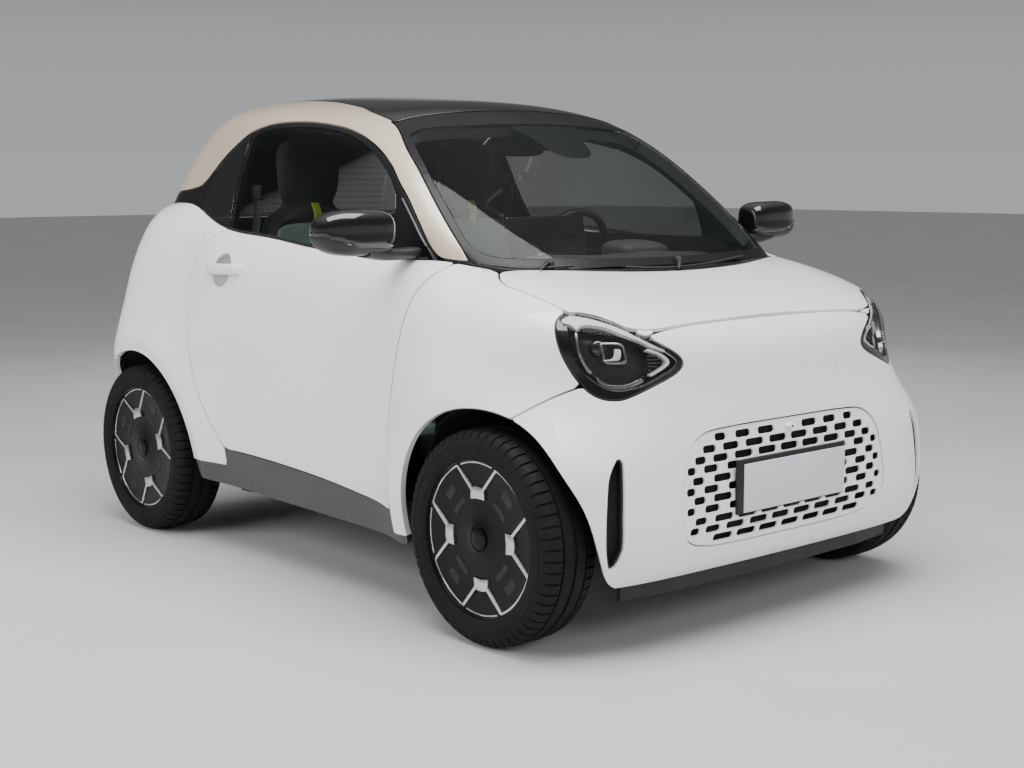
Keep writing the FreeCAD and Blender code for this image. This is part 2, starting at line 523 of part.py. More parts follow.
def sketch(body, role, pts, name, binds=None):
    """Closed polygon; each corner is placed by two dimensions from the origin."""
    sk = body.newObject("Sketcher::SketchObject", name)
    sk.AttachmentSupport = (plane(body, role), [""])
    sk.MapMode = "FlatFace"
    n = len(pts)
    for i in range(n):
        a, b = pts[i], pts[(i + 1) % n]
        sk.addGeometry(Part.LineSegment(V(a[0], a[1], 0), V(b[0], b[1], 0)), False)
    for i in range(n):
        sk.addConstraint(Sketcher.Constraint("Coincident", i, 2, (i + 1) % n, 1))
    for i, p in enumerate(pts):
        for kind, v, axis in (("DistanceX", p[0], -2), ("DistanceY", p[1], -1)):
            if abs(v) < 1e-9:
                sk.addConstraint(Sketcher.Constraint("PointOnObject", i, 1, axis))
                continue
            if v > 0:
                c = sk.addConstraint(Sketcher.Constraint(kind, -1, 1, i, 1, v))
            else:
                c = sk.addConstraint(Sketcher.Constraint(kind, i, 1, -1, 1, -v))
            key = (i, kind[-1])
            if binds and key in binds:
                label = "c%d%s" % (i, kind[-1])
                sk.renameConstraint(c, label)
                sk.setExpression("Constraints." + label, binds[key])
    return sk


def revolve(body, role, pts, name, binds=None, axis="H_Axis"):
    sk = sketch(body, role, pts, name + "_profile", binds)
    rev = body.newObject("PartDesign::Revolution", name)
    rev.Profile = sk
    rev.ReferenceAxis = (sk, [axis])
    rev.Angle = 360
    body.Tip = rev
    return rev


def new_body(name):
    b = doc.addObject("PartDesign::Body", name)
    doc.recompute()
    return b


def place(x, y, z, yaw=0):
    return FreeCAD.Placement(V(x, y, z), FreeCAD.Rotation(V(0, 0, 1), yaw))


# ------------------------------------------------------------- wheels
def tyre(label, x, y):
    b = new_body(label)
    w, r, n = q("tyre_width") / 2, q("tyre_radius"), q("rim_radius") + .3
    pts = [(-w + 12, n), (w - 12, n), (w - 1, n + 16), (w, n + 42), (w - 5, r - 20), (w - 20, r - 5), (w - 45, r),
           (-w + 45, r), (-w + 20, r - 5), (-w + 5, r - 20), (-w, n + 42), (-w + 1, n + 16)]
    T, R, N = "Dimensions.tyre_width / 2", "Dimensions.tyre_radius", "Dimensions.rim_radius + 0.3"
    binds = {(6, "Y"): R, (7, "Y"): R, (0, "Y"): N, (1, "Y"): N, (3, "X"): T, (10, "X"): T}
    revolve(b, "XY_Plane", pts, label + "_carcass", binds)
    b.Placement = place(x, y, q("wheel_z"), 0 if x > 0 else 180)
    return keep(b, label)


def rim(label, x, y):
    b = new_body(label)
    w, r, h = q("rim_width") / 2, q("rim_radius"), q("hub_bore")
    pts = [(-w, r), (w, r), (w, 194), (76, 188), (76, 0), (62, 0), (62, h), (12, h), (12, 56), (50, 60), (58, 72), (58, 186), (50, 193), (-w, 197)]
    W, R, H = "Dimensions.rim_width / 2", "Dimensions.rim_radius", "Dimensions.hub_bore"
    binds = {(0, "X"): W, (1, "X"): W, (2, "X"): W, (13, "X"): W, (0, "Y"): R, (1, "Y"): R, (6, "Y"): H, (7, "Y"): H}
    revolve(b, "XY_Plane", pts, label + "_disc", binds)
    doc.recompute()
    c, s = math.cos, math.sin
    corner = [(96, -20), (172, -15), (172, 15), (96, 20)]
    win_ = [(rr * c(math.radians(45 + a)), rr * s(math.radians(45 + a))) for rr, a in corner]
    sk = sketch(b, "YZ_Plane", win_, label + "_window")
    po = b.newObject("PartDesign::Pocket", label + "_opening")
    po.Profile = sk
    po.Type = "ThroughAll"
    po.Midplane = True
    b.Tip = po
    doc.recompute()
    pat = b.newObject("PartDesign::PolarPattern", label + "_openings")
    pat.Originals = [po]
    for o in b.Origin.OriginFeatures:
        if o.Role == "X_Axis":
            pat.Axis = (o, [""])
    pat.Angle = 360
    pat.Occurrences = 4
    b.Tip = pat
    b.Placement = place(x, y, q("wheel_z"), 0 if x > 0 else 180)
    return keep(b, label)


for side, sgn in (("left", 1), ("right", -1)):
    for end, tk, wy in (("front", "track_half_front", "wheel_y_front"), ("rear", "track_half_rear", "wheel_y_rear")):
        tyre("tyre_%s_%s" % (end, side), sgn * q(tk), q(wy))
        rim("rim_%s_%s" % (end, side), sgn * q(tk), q(wy))

# ------------------------------------------------------------- knuckles
def cyl(r, h, at, way=(0, 0, 1)):
    return Part.makeCylinder(r, h, V(*at), V(*way))


def prim(kind, name, exprs, pos, rot=None, **vals):
    o = doc.addObject(kind, name)
    for k, v in vals.items():
        setattr(o, k, v)
    for k, e in exprs.items():
        o.setExpression(k, e)
    o.Placement = FreeCAD.Placement(V(*pos), rot if rot else FreeCAD.Rotation())
    return o


def join(label, parts):
    f = doc.addObject("Part::MultiFuse", label)
    f.Shapes = parts
    f.Refine = True
    return keep(f, label)


# door handles: a bar on two stalks
for side, s in (("left", 1), ("right", -1)):
    n = "handle_" + side + "_"
    bar = prim("Part::Box", n + "bar", {"Width": "Dimensions.handle_len", "Height": "Dimensions.handle_high"}, (s * 781 - 7, 284, 936), Length=14)
    st1 = prim("Part::Box", n + "front_stalk", {}, (s * 768 - 10, 292, 944), Length=20, Width=26, Height=16)
    st2 = prim("Part::Box", n + "rear_stalk", {}, (s * 768 - 10, 483, 944), Length=20, Width=26, Height=16)
    join("handle_" + side, [bar, st1, st2])

wyf, wyr, wz, kx = q("wheel_y_front"), q("wheel_y_rear"), q("wheel_z"), q("kingpin_x")
for side, s in (("left", 1), ("right", -1)):
    n = "knuckle_" + side + "_"
    up = prim("Part::Box", n + "upright", {}, (s * kx - 17, wyf - 45, wz - 90), Length=34, Width=90, Height=190)
    out = FreeCAD.Rotation(V(0, 1, 0), 90 * s)
    sp = prim("Part::Cylinder", n + "spindle", {"Radius": "Dimensions.spindle_radius"}, (s * (kx + 10), wyf, wz), out,
              Height=q("track_half_front") + 61.3 - kx - 10)
    sh = prim("Part::Cylinder", n + "shoulder", {}, (s * (kx + 10), wyf, wz), out, Radius=34, Height=q("track_half_front") + 7 - kx - 10)
    p1 = prim("Part::Cylinder", n + "lower_pin", {"Radius": "Dimensions.pin_radius"}, (s * kx, wyf, 187), Height=40)
    p2 = prim("Part::Cylinder", n + "upper_pin", {"Radius": "Dimensions.pin_radius"}, (s * kx, wyf, 380), Height=36)
    ar = prim("Part::Box", n + "arm", {}, (s * kx - 12, wyf + 40, wz - 30), Length=24, Width=95, Height=24)
    join("knuckle_front_" + side, [up, sp, sh, p1, p2, ar])

# ------------------------------------------------------------- front suspension
pc = q("pin_radius") + q("pin_clear")
beam = box(-430, 430, wyf - 62, wyf + 62, 178, 222)
beam = beam.fuse([box(-400, -330, -1180, wyf, 190, 235), box(330, 400, -1180, wyf, 190, 235), box(-430, 430, -1215, -1165, 200, 300)])
parts = []
for s in (1, -1):
    a = box(min(s * 400, s * (kx)), max(s * 400, s * (kx)), wyf - 23, wyf + 23, 186, 199.7).fuse(cyl(24, 13.7, (s * kx, wyf, 186)))
    a = a.cut(cyl(pc, 40, (s * kx, wyf, 170)))
    parts.append(a)
beam = beam.fuse(parts)
struts = []
for s in (1, -1):
    u = box(min(s * 548, s * kx), max(s * 548, s * kx), wyf - 20, wyf + 20, 400.5, 414).fuse(cyl(22, 13.5, (s * kx, wyf, 400.5)))
    u = u.cut(cyl(pc, 60, (s * kx, wyf, 380)))
    u = u.fuse([cyl(25, 390, (s * 548, wyf, 396)), cyl(58, 8, (s * 548, wyf, 786)), cyl(44, 150, (s * 548, wyf, 600))])
    struts.append(u.fuse(box(min(s * 380, s * 560), max(s * 380, s * 560), wyf - 40, wyf + 40, 786, 800)))
feature("front_subframe", beam)
feature("front_struts", Part.Compound(struts))
towers = box(-400, 400, wyf - 60, wyf + 60, 775, 800)
rails = [box(s * 385 - 15, s * 385 + 15, -1164, -545, 236, 290) for s in (1, -1)]
rails += [box(s * 385 - 12, s * 385 + 12, wyf - 45, wyf + 45, 236, 786) for s in (1, -1)]
tub = box(-372, 372, -1150, -565, 560, 566)
front_frame = rails[0].fuse(rails[1:] + [tub, box(-400, 400, wyf - 45, wyf + 45, 560, 590)])
feature("front_rails", clean(front_frame))

# ------------------------------------------------------------- rear axle
ax = cyl(34, 2 * (q("track_half_rear") - 92), (-(q("track_half_rear") - 92), wyr, wz), (1, 0, 0))
ends = []
for s in (1, -1):
    t = q("track_half_rear")
    ends.append(cyl(q("spindle_radius"), 61.3 + 95, (s * (t - 95), wyr, wz), (s, 0, 0)))
    ends.append(cyl(70, 24, (s * (t - 112), wyr, wz), (s, 0, 0)))
    ends.append(cyl(34, 60, (s * (t - 53), wyr, wz), (s, 0, 0)))
    ends.append(box(s * 440 - 22, s * 440 + 22, q("floor_rear") + 1, wyr, wz - 22, wz + 22))
    ends.append(cyl(48, q("boot_z") - wz - 1, (s * 320, wyr - 30, wz)))
feature("rear_axle", ax.fuse(ends))

# ------------------------------------------------------------- arch liners
liners = []
for s, y0, r0, x0, x1, cut in ((1, wyf, q("liner_radius"), 452, 752, 1), (1, wyr, q("liner_radius"), 500, 742, 0)):
    big = cyl(r0 + q("liner_wall"), x1 - x0, (x0, y0, wz), (1, 0, 0))
    l = big.cut(cyl(r0, x1 - x0, (x0, y0, wz), (1, 0, 0))).fuse(big.common(box(x0, x0 + 6, y0 - 400, y0 + 400, 440, 1000)))
    l = l.common(box(0, 900, y0 - 400, y0 + 400, 300, 1000))
    if cut:
        l = l.cut(cyl(50, 500, (548, wyf, 500)))
    body_room = [door_skin, side_skin] if cut else [rear_side_skin]
    l = l.common(outline([(-1.23, .30), (-.556, .30), (-.556, .90), (-1.23, .90)], "X", .3, .9)) if cut else l.common(outline([(.585, .30), (1.27, .30), (1.27, .9), (.585, .9)], "X", .3, .9))
    for bs in body_room:
        l = l.cut(bs)
    l = l.cut(rear_skin) if not cut else l.cut(front_skin)
    l = clean(l, 5000)
    l = max(l.Solids, key=lambda t: t.Volume)
    liners += [l, mirrored(l)]
feature("arch_liners", Part.Compound(liners))
sl = max(sl.cut(liners[0]).cut(liners[2]).Solids, key=lambda t: t.Volume)
feature("sills", Part.Compound([sl, mirrored(sl)]))

# ------------------------------------------------------------- floor, bulkhead
fz, fh, ff, fr = q("floor_z"), q("floor_half"), q("floor_front"), q("floor_rear")
floor = box(-fh + 40, fh - 40, ff, fr, fz, fz + q("floor_thick"))
floor = floor.fuse([box(s * 622 - 32, s * 622 + 32, ff, fr, 206, 300) for s in (1, -1)])
floor = floor.fuse(box(-470, 470, fr - 10, fr, fz, q("boot_z"))).fuse(box(-480, 480, fr - 10, 1255, q("boot_z"), q("boot_z") + 12))
floor = floor.fuse([box(s * 400 - 20, s * 400 + 20, fr, 1255, 420, q("boot_z")) for s in (1, -1)])
floor = floor.fuse(box(-480, 480, 1225, 1255, 330, q("boot_z")))
floor = floor.fuse(box(-60, 60, ff, 200, fz, fz + 70))
eye = cyl(17, 43, (330, 1255, 300), (0, 1, 0)).fuse(box(300, 360, 1255, 1261, 276, 362))
feature("towing_socket", eye.cut(cyl(q("eye_radius"), q("eye_depth"), (330, 1298 - q("eye_depth"), 300), (0, 1, 0))).cut(rb))
jw = q("jack_wide") / 2
floor = floor.fuse([box(s * 622 - jw, s * 622 + jw, y - jw, y + jw, 192, 210) for s in (1, -1) for y in (-440, 470)])
bposts = [mirrored(bpost), bpost]
floor = clean(floor)
for bp_ in bposts:
    floor = floor.cut(bp_.common(box(-900, 900, 0, 900, 0, 300.5)))
floor = clean(floor.cut(rb))
feature("floor_pan", floor)
bh = box(-640, 640, ff - 14, ff - 1, 246, 925)
bh = bh.cut(box(-100, 100, ff - 20, ff + 5, 236, 320)).cut(front_frame)
feature("bulkhead", bh)
cowl = outline([(-.585, -.777), (-.45, -.839), (-.30, -.887), (-.15, -.911), (0, -.919), (.15, -.911), (.30, -.887), (.45, -.839), (.585, -.777),
                (.585, -.70), (.45, -.75), (.30, -.79), (.15, -.815), (0, -.822), (-.15, -.815), (-.30, -.79), (-.45, -.75), (-.585, -.70)], "Z", .90, 1.2)
hood_low = slab(lower, top_rays(-.71, .71, 27, -1.0, -.62, 14), .004, .02)
cw = hood_low.common(cowl).cut(pane).cut(cell)
feature("cowl", clean(cw, 3000))

bat = prim("Part::Box", "battery_case", {"Length": "Dimensions.battery_wide", "Width": "Dimensions.battery_len", "Height": "Dimensions.battery_high"},
           (-q("battery_wide") / 2, -330, 150))
keep(bat, "battery_case")
mot = prim("Part::Box", "drive_motor", {"Length": "Dimensions.motor_wide", "Width": "Dimensions.motor_len", "Height": "Dimensions.motor_high"},
           (-q("motor_wide") / 2, 600, 245))
keep(mot, "drive_motor")

# ------------------------------------------------------------- cabin
def seat(label, x):
    b = new_body(label)
    prof = [(-130, 300), (-140, 400), (-100, 440), (60, 430), (300, 425), (345, 640), (400, 900), (450, 1090), (455, 1165), (470, 1345),
            (510, 1365), (555, 1345), (550, 1165), (560, 1090), (545, 900), (505, 640), (470, 430), (440, 300)]
    sk = sketch(b, "YZ_Plane", prof, label + "_side")
    pad = b.newObject("PartDesign::Pad", label + "_foam")
    pad.Profile = sk
    pad.Midplane = True
    pad.setExpression("Length", "Dimensions.seat_wide")
    b.Tip = pad
    doc.recompute()
    w = q("seat_wide") / 2
    for s in (1, -1):
        sk2 = sketch(b, "XZ_Plane", [(s * (w + 20), 1420), (s * 128, 1420), (s * 128, 1200), (s * 118, 1165), (s * 165, 1135), (s * 205, 1085), (s * (w - 12), 1000), (s * (w - 12), 880), (s * (w + 20), 780)],
                     label + ("_cut_left" if s > 0 else "_cut_right"))
        po = b.newObject("PartDesign::Pocket", label + ("_shoulder_left" if s > 0 else "_shoulder_right"))
        po.Profile = sk2
        po.Type = "ThroughAll"
        po.Midplane = True
        b.Tip = po
        doc.recompute()
    b.Placement = place(x, 0, 0)
    return keep(b, label)


seat("seat_left", q("seat_x"))
seat("seat_right", -q("seat_x"))
feet = [box(x - 150, x + 150, -60, 400, fz + q("floor_thick"), 300) for x in (q("seat_x"), -q("seat_x"))]
feature("seat_bases", Part.Compound(feet))

dash = outline([(-.538, .62), (-.538, .93), (-.70, .945), (-.70, .975), (-.54, 1.000), (-.40, .998), (-.30, .965), (-.275, .90), (-.33, .76), (-.42, .62)], "X", -.60, .60)
dash = dash.cut(box(-700, 700, -800, -539, 0, 930))
dash = dash.fuse(outline([(-.46, .995), (-.33, .97), (-.33, .80), (-.46, .80)], "X", .20, .46))
tilt = math.radians(q("steer_tilt"))
sx, sy, sz = q("steer_x"), q("steer_y"), q("steer_z")
away = V(0, -math.cos(tilt), -math.sin(tilt))
c0 = V(sx, sy, sz) + away * 62
column = Part.makeCylinder(26, 250, c0, away).fuse(Part.makeCylinder(42, 150, c0 + away * 8, away))
dash = dash.cut(Part.makeCylinder(46, 400, c0, away))
# a wide screen stands on the middle of the dashboard, leaning back a little
dash = dash.fuse(outline([(-.432, .960), (-.416, .960), (-.396, 1.125), (-.408, 1.128)], "X", -.245, .085))
feature("dashboard", clean(dash))
feature("steering_column", clean(column.common(box(200, 460, -520, 100, 500, 1100))))

sw = doc.addObject("Part::Torus", "steering_rim")
sw.setExpression("Radius1", "Dimensions.steer_rim")
sw.setExpression("Radius2", "Dimensions.steer_tube")
hub = prim("Part::Cylinder", "steering_hub", {}, (0, 0, -56), Radius=58, Height=52)
sp1 = prim("Part::Box", "steering_spokes", {}, (-172, -22, -22), Length=344, Width=44, Height=18)
sp2 = prim("Part::Box", "steering_lower_spoke", {}, (-20, -172, -22), Length=40, Width=150, Height=18)
wheel = join("steering_wheel", [sw, hub, sp1, sp2])
wheel.Placement = FreeCAD.Placement(V(sx, sy, sz), FreeCAD.Rotation(V(1, 0, 0), -(90 - q("steer_tilt"))))

mm = Part.makeSphere(1)
m2 = FreeCAD.Matrix()
m2.scale(112, 18, 34)
im = mm.transformGeometry(m2)
im.Placement = FreeCAD.Placement(V(0, -195, 1345), FreeCAD.Rotation(V(1, 0, 0), 8))
stalk = Part.makeCylinder(11, 70, V(0, -212, 1352), V(0, -.35, .94)).fuse(Part.makeCylinder(15, 12, V(0, -213, 1345), V(0, 1, 0)))
im = im.fuse(stalk).cut(pane).cut(cell)
feature("interior_mirror", max(clean(im).Solids, key=lambda t: t.Volume))

# wipers: two arms with blades resting on the glass foot
wip = []
for (x0, x1) in ((-.42, .05), (.08, .53)):
    pts = []
    for x in frange(x0, x1, 9):
        z = .998 + .02 * (x - x0) / (x1 - x0)
        pts.append((x, screen_y(x, z) - .020, z + .010))
    b = [V(p[0] * 1e3, p[1] * 1e3, p[2] * 1e3) for p in pts]
    pieces = []
    for a, c in zip(b[:-1], b[1:]):
        d = c - a
        pieces.append(Part.makeCylinder(6, d.Length, a, d))
        pieces.append(Part.makeSphere(6, c))
    w_ = pieces[0].fuse(pieces[1:])
    wip.append(w_.cut(pane).cut(cell).cut(cw).cut(hood_skin))
feature("wipers", Part.Compound([max(clean(w_).Solids, key=lambda t: t.Volume) for w_ in wip]))

# ------------------------------------------------------------- check and write
doc.recompute()
bad = []
for o in doc.Objects:
    if "Invalid" in o.State or "Error" in o.State:
        bad.append((o.Name, o.State))
for o in OUT:
    s = o.Shape
    if s.isNull() or not s.isValid() or s.Volume < 1:
        bad.append((o.Label, "shape"))
if bad:
    print("NOT READY", bad)
os.makedirs("parts", exist_ok=True)
names = set()
for o in OUT:
    names.add(o.Label)
    bb = o.Shape.BoundBox
    print("%-20s solids %d vol %9.1f cm3  x %.0f..%.0f y %.0f..%.0f z %.0f..%.0f" % (
        o.Label, len(o.Shape.Solids), o.Shape.Volume / 1e3, bb.XMin, bb.XMax, bb.YMin, bb.YMax, bb.ZMin, bb.ZMax))
    o.Shape.exportStep("parts/%s.step" % o.Label)
print(len(names), "nodes")
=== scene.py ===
import bpy, bmesh, math
import numpy as np
from mathutils import Vector, Matrix


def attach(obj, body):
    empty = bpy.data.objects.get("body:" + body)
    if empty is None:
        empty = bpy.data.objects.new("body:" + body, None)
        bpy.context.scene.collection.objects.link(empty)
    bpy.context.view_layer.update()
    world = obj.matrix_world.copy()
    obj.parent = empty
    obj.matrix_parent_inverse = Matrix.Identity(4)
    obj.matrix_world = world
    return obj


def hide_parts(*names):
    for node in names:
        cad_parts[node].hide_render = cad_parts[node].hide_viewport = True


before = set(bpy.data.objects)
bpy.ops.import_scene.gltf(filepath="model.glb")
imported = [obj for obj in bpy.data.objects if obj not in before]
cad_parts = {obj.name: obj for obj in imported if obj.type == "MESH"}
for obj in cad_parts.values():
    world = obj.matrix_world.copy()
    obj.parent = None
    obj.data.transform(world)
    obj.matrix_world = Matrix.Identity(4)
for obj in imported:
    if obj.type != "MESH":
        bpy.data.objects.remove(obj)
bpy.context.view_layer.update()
RNG = np.random.default_rng(7)
DONE = []


# ---------------------------------------------------------------- body shape
class Curve:
    """Natural cubic spline through a table, straight outside it."""

    def __init__(self, xs, ys):
        self.x = np.array(xs, float)
        self.y = np.array(ys, float)
        n = len(xs)
        h = np.diff(self.x)
        A = np.zeros((n, n))
        b = np.zeros(n)
        A[0, 0] = A[-1, -1] = 1
        for i in range(1, n - 1):
            A[i, i - 1] = h[i - 1]
            A[i, i] = 2 * (h[i - 1] + h[i])
            A[i, i + 1] = h[i]
            b[i] = 6 * ((self.y[i + 1] - self.y[i]) / h[i] - (self.y[i] - self.y[i - 1]) / h[i - 1])
        self.m = np.linalg.solve(A, b)
        self.h = h
        m = self.m
        self.d0 = (self.y[1] - self.y[0]) / h[0] - h[0] * (2 * m[0] + m[1]) / 6
        self.d1 = (self.y[-1] - self.y[-2]) / h[-1] + h[-1] * (m[-2] + 2 * m[-1]) / 6

    def __call__(self, t):
        t = np.asarray(t, float)
        c = np.clip(t, self.x[0], self.x[-1])
        i = np.clip(np.searchsorted(self.x, c, side="right") - 1, 0, len(self.h) - 1)
        h = self.h[i]
        a = (self.x[i + 1] - c) / h
        b = (c - self.x[i]) / h
        r = a * self.y[i] + b * self.y[i + 1] + ((a ** 3 - a) * self.m[i] + (b ** 3 - b) * self.m[i + 1]) * h * h / 6
        return r + np.where(t < self.x[0], (t - self.x[0]) * self.d0, 0) + np.where(t > self.x[-1], (t - self.x[-1]) * self.d1, 0)


def ease(t):
    t = np.clip(t, 0, 1)
    return t * t * t * (t * (6 * t - 15) + 10)


def soft_max(k, *a):
    m = a[0]
    for b in a[1:]:
        m = np.maximum(m, b)
    s = 0
    for b in a:
        s = s + np.exp((b - m) / k)
    return m + k * np.log(s)


YF, YR, ZW = -0.9235, 0.9495, 0.2955
RF, RR = 0.349, 0.345
ZS = [0.12, 0.20, 0.30, 0.40, 0.50, 0.60, 0.70, 0.80, 0.90, 1.00, 1.10, 1.20]
sec_door = Curve(ZS, [.701, .728, .750, .765, .774, .779, .779, .774, .764, .743, .710, .669])
sec_front = Curve(ZS, [.731, .753, .774, .786, .792, .792, .784, .768, .743, .706, .656, .596])
sec_rear = Curve(ZS, [.745, .766, .786, .801, .812, .816, .807, .788, .768, .740, .706, .671])
plan_front = Curve([-1.40, -1.25, -1.10, -0.95, -0.80, -0.60], [-.052, -.018, .0, .006, .007, .006])
plan_rear = Curve([0.7, 0.95, 1.10, 1.25, 1.40], [-.025, -.025, -.031, -.055, -.103])
nose = Curve([.10, .16, .20, .25, .32, .40, .48, .55, .62, .70, .78, .86, .95],
             [-1.19, -1.248, -1.29, -1.317, -1.333, -1.332, -1.324, -1.316, -1.306, -1.298, -1.301, -1.308, -1.319])
tail = Curve([.15, .22, .30, .40, .50, .60, .70, .80, .90, 1.0, 1.1],
             [1.215, 1.284, 1.324, 1.338, 1.343, 1.338, 1.32, 1.294, 1.266, 1.234, 1.195])
crown = Curve([-1.40, -1.30, -1.20, -1.10, -1.00, -0.90, -0.80, -0.70, -0.60],
              [.782, .838, .880, .920, .953, .979, .999, 1.016, 1.028])
belt = Curve([-.75, -.60, -.30, 0.0, .27, .50, .65, .80, 1.0, 1.2, 1.4],
             [1.005, 1.012, 1.035, 1.056, 1.073, 1.085, 1.12, 1.15, 1.15, 1.145, 1.14])
cell_w = Curve([.95, 1.05, 1.15, 1.25, 1.35, 1.45, 1.55], [.687, .688, .658, .620, .581, .543, .503])
cell_p = Curve([-.90, -.70, -.50, -.2, .2, .6, .9, 1.1, 1.3], [-.079, -.045, -.004, .016, .006, -.017, -.053, -.066, -.082])
roof_z = Curve([-.5, -.25, 0, .25, .5, .75, 1.0, 1.25], [1.414, 1.473, 1.50, 1.516, 1.527, 1.525, 1.509, 1.474])


def arch_bump(d, amp, lip):
    d = np.maximum(d, 0.0)
    return amp * np.exp(-(d / .12) ** 2) - lip * np.exp(-(d / .035) ** 2)


def half_width(y, z):
    tf, tr = ease((-.35 - y) / .50), ease((y - .30) / .55)
    w = sec_door(z) * (1 - tf - tr) + sec_front(z) * tf + sec_rear(z) * tr
    w = w + plan_front(np.minimum(y, -.6)) * ease((-.45 - y) / .3) + plan_rear(np.maximum(y, .7)) * ease((y - .4) / .4)
    w = w + arch_bump(np.hypot(y - YF, z - ZW) - RF, .034, .014)
    w = w + arch_bump(np.hypot(y - YR, z - ZW) - RR, .022, .012)
    return w


def front_y(x, z):
    t = ease((z - .45) / .35)
    x = np.abs(x)
    return nose(z) + (.041 + .100 * t) * x ** 2 + (-.003 + .038 * t) * x ** 4 + (.595 + 1.398 * t) * x ** 8


def rear_y(x, z):
    x = np.abs(x)
    return tail(z) - .129 * x ** 2 - .349 * x ** 6


def top_z(x, y):
    t = ease((y + .80) / .25)
    x = np.abs(x)
    return (crown(np.minimum(y, -.5)) - .002 * x ** 2 - .289 * x ** 6) * (1 - t) + (belt(y) + .02) * t


def lower(P):
    x, y, z = P[..., 0], P[..., 1], P[..., 2]
    s = soft_max(.043, np.abs(x) - half_width(y, z) - .004, front_y(x, z) - y - .004, y - rear_y(x, z) - .004)
    return soft_max(.052, s, z - top_z(x, y) - .004)


def upper(P):
    x, y, z = P[..., 0], P[..., 1], P[..., 2]
    a = np.abs(x)
    screen = -.89 + (z - .99) * 1.247 + .141 * (z - .99) ** 2 + .304 * x * x
    rear = 1.208 - .307 * (z - 1.06) - .551 * np.maximum(z - 1.06, 0) ** 2 - .157 * x ** 2 - .304 * x ** 4
    return soft_max(.043, (a - cell_w(z) - cell_p(y)) * .95, (screen - y) * .62, (y - rear) * .93,
                    z - (roof_z(y) - .15 * a ** 2 - .296 * a ** 4))


def grad(f, P, h=2e-4):
    g = np.empty(P.shape)
    for k in range(3):
        e = np.zeros(3)
        e[k] = h
        g[..., k] = f(P + e) - f(P - e)
    return g / np.maximum(np.linalg.norm(g, axis=-1, keepdims=True), 1e-12)


def root(f, O, D, lo=.02, hi=1.6):
    a = np.full(O.shape[:-1], lo)
    b = np.full(O.shape[:-1], hi)
    for _ in range(19):
        m = (a + b) / 2
        out = f(O + D * m[..., None]) > 0
        b = np.where(out, m, b)
        a = np.where(out, a, m)
    return (a + b) / 2


class Patch:
    """Grid of rays from inside the car with the surface point and normal where each leaves it."""

    def __init__(self, f, O, D):
        self.f, self.O = f, O
        self.D = D / np.linalg.norm(D, axis=-1, keepdims=True)
        self.P = self.O + self.D * root(f, self.O, self.D)[..., None]
        self.N = grad(f, self.P)

    def crop(self, lo, hi, margin=.03):
        inside = np.all((self.P > np.array(lo) - margin) & (self.P < np.array(hi) + margin), axis=-1)
        i = np.where(inside.any(axis=1))[0]
        j = np.where(inside.any(axis=0))[0]
        c = Patch.__new__(Patch)
        c.f = self.f
        sl = (slice(max(i[0] - 2, 0), i[-1] + 3), slice(max(j[0] - 2, 0), j[-1] + 3))
        c.O, c.D, c.P, c.N = self.O[sl], self.D[sl], self.P[sl], self.N[sl]
        return c


def wrap_patch(stations, z0, zf, phi, nz, nf, x0=.30, f=lower):
    """stations: list of (x, y, dx, dy).  Rows: level rays from z0 to zf, then rays tilting up to phi degrees."""
    S = np.array(stations, float)
    zs = np.linspace(z0, zf, nz)
    an = np.radians(np.linspace(0, phi, nf + 1)[1:])
    n, m = len(S), nz + nf
    O = np.empty((n, m, 3))
    D = np.empty((n, m, 3))
    O[:, :, 0] = S[:, None, 0]
    O[:, :, 1] = S[:, None, 1]
    O[:, :nz, 2] = zs
    O[:, nz:, 2] = zf
    a = np.concatenate([np.zeros(nz), an])
    D[:, :, 0] = S[:, None, 2] * np.cos(a)
    D[:, :, 1] = S[:, None, 3] * np.cos(a)
    D[:, :, 2] = np.sin(a)
    return Patch(f, O, D)


def stations_end(ya, yc, sign, ns, na, nx, x0=.30, full=True):
    """Along the left side from ya to yc, round the corner, across the end to the middle, then mirrored."""
    st = [(x0, y, 1, 0) for y in np.linspace(ya, yc, ns, endpoint=False)]
    for a in np.radians(np.linspace(90, 0, na, endpoint=False)):
        st.append((x0, yc, math.sin(a), sign * math.cos(a)))
    st += [(x, yc, 0, sign) for x in np.linspace(x0, 0, nx)]
    if full:
        st += [(-x, y, -dx, dy) for x, y, dx, dy in reversed(st[:-1])]
    return st


# ---------------------------------------------------------------- outlines
def dense(pts, n=8):
    """Centripetal Catmull-Rom through open points."""
    p = np.array(pts, float)
    if len(p) < 3:
        t = np.linspace(0, 1, n + 1)[:, None]
        return p[0] + (p[-1] - p[0]) * t
    p = np.vstack([2 * p[0] - p[1], p, 2 * p[-1] - p[-2]])
    out = []
    for i in range(1, len(p) - 2):
        a, b, c, d = p[i - 1], p[i], p[i + 1], p[i + 2]
        t0 = 0.0
        t1 = t0 + max(np.linalg.norm(b - a), 1e-9) ** .5
        t2 = t1 + max(np.linalg.norm(c - b), 1e-9) ** .5
        t3 = t2 + max(np.linalg.norm(d - c), 1e-9) ** .5
        for t in np.linspace(t1, t2, n, endpoint=False):
            A1 = (t1 - t) / (t1 - t0) * a + (t - t0) / (t1 - t0) * b
            A2 = (t2 - t) / (t2 - t1) * b + (t - t1) / (t2 - t1) * c
            A3 = (t3 - t) / (t3 - t2) * c + (t - t2) / (t3 - t2) * d
            B1 = (t2 - t) / (t2 - t0) * A1 + (t - t0) / (t2 - t0) * A2
            B2 = (t3 - t) / (t3 - t1) * A2 + (t - t1) / (t3 - t1) * A3
            out.append((t2 - t) / (t2 - t1) * B1 + (t - t1) / (t2 - t1) * B2)
    out.append(p[-2])
    return np.array(out)


def closed(pts, n=6):
    """Smooth closed loop through points."""
    p = [tuple(q) for q in pts]
    k = len(p)
    d = dense(p[-3:] + p + p[:3], n)
    return d[3 * n:(k + 3) * n]


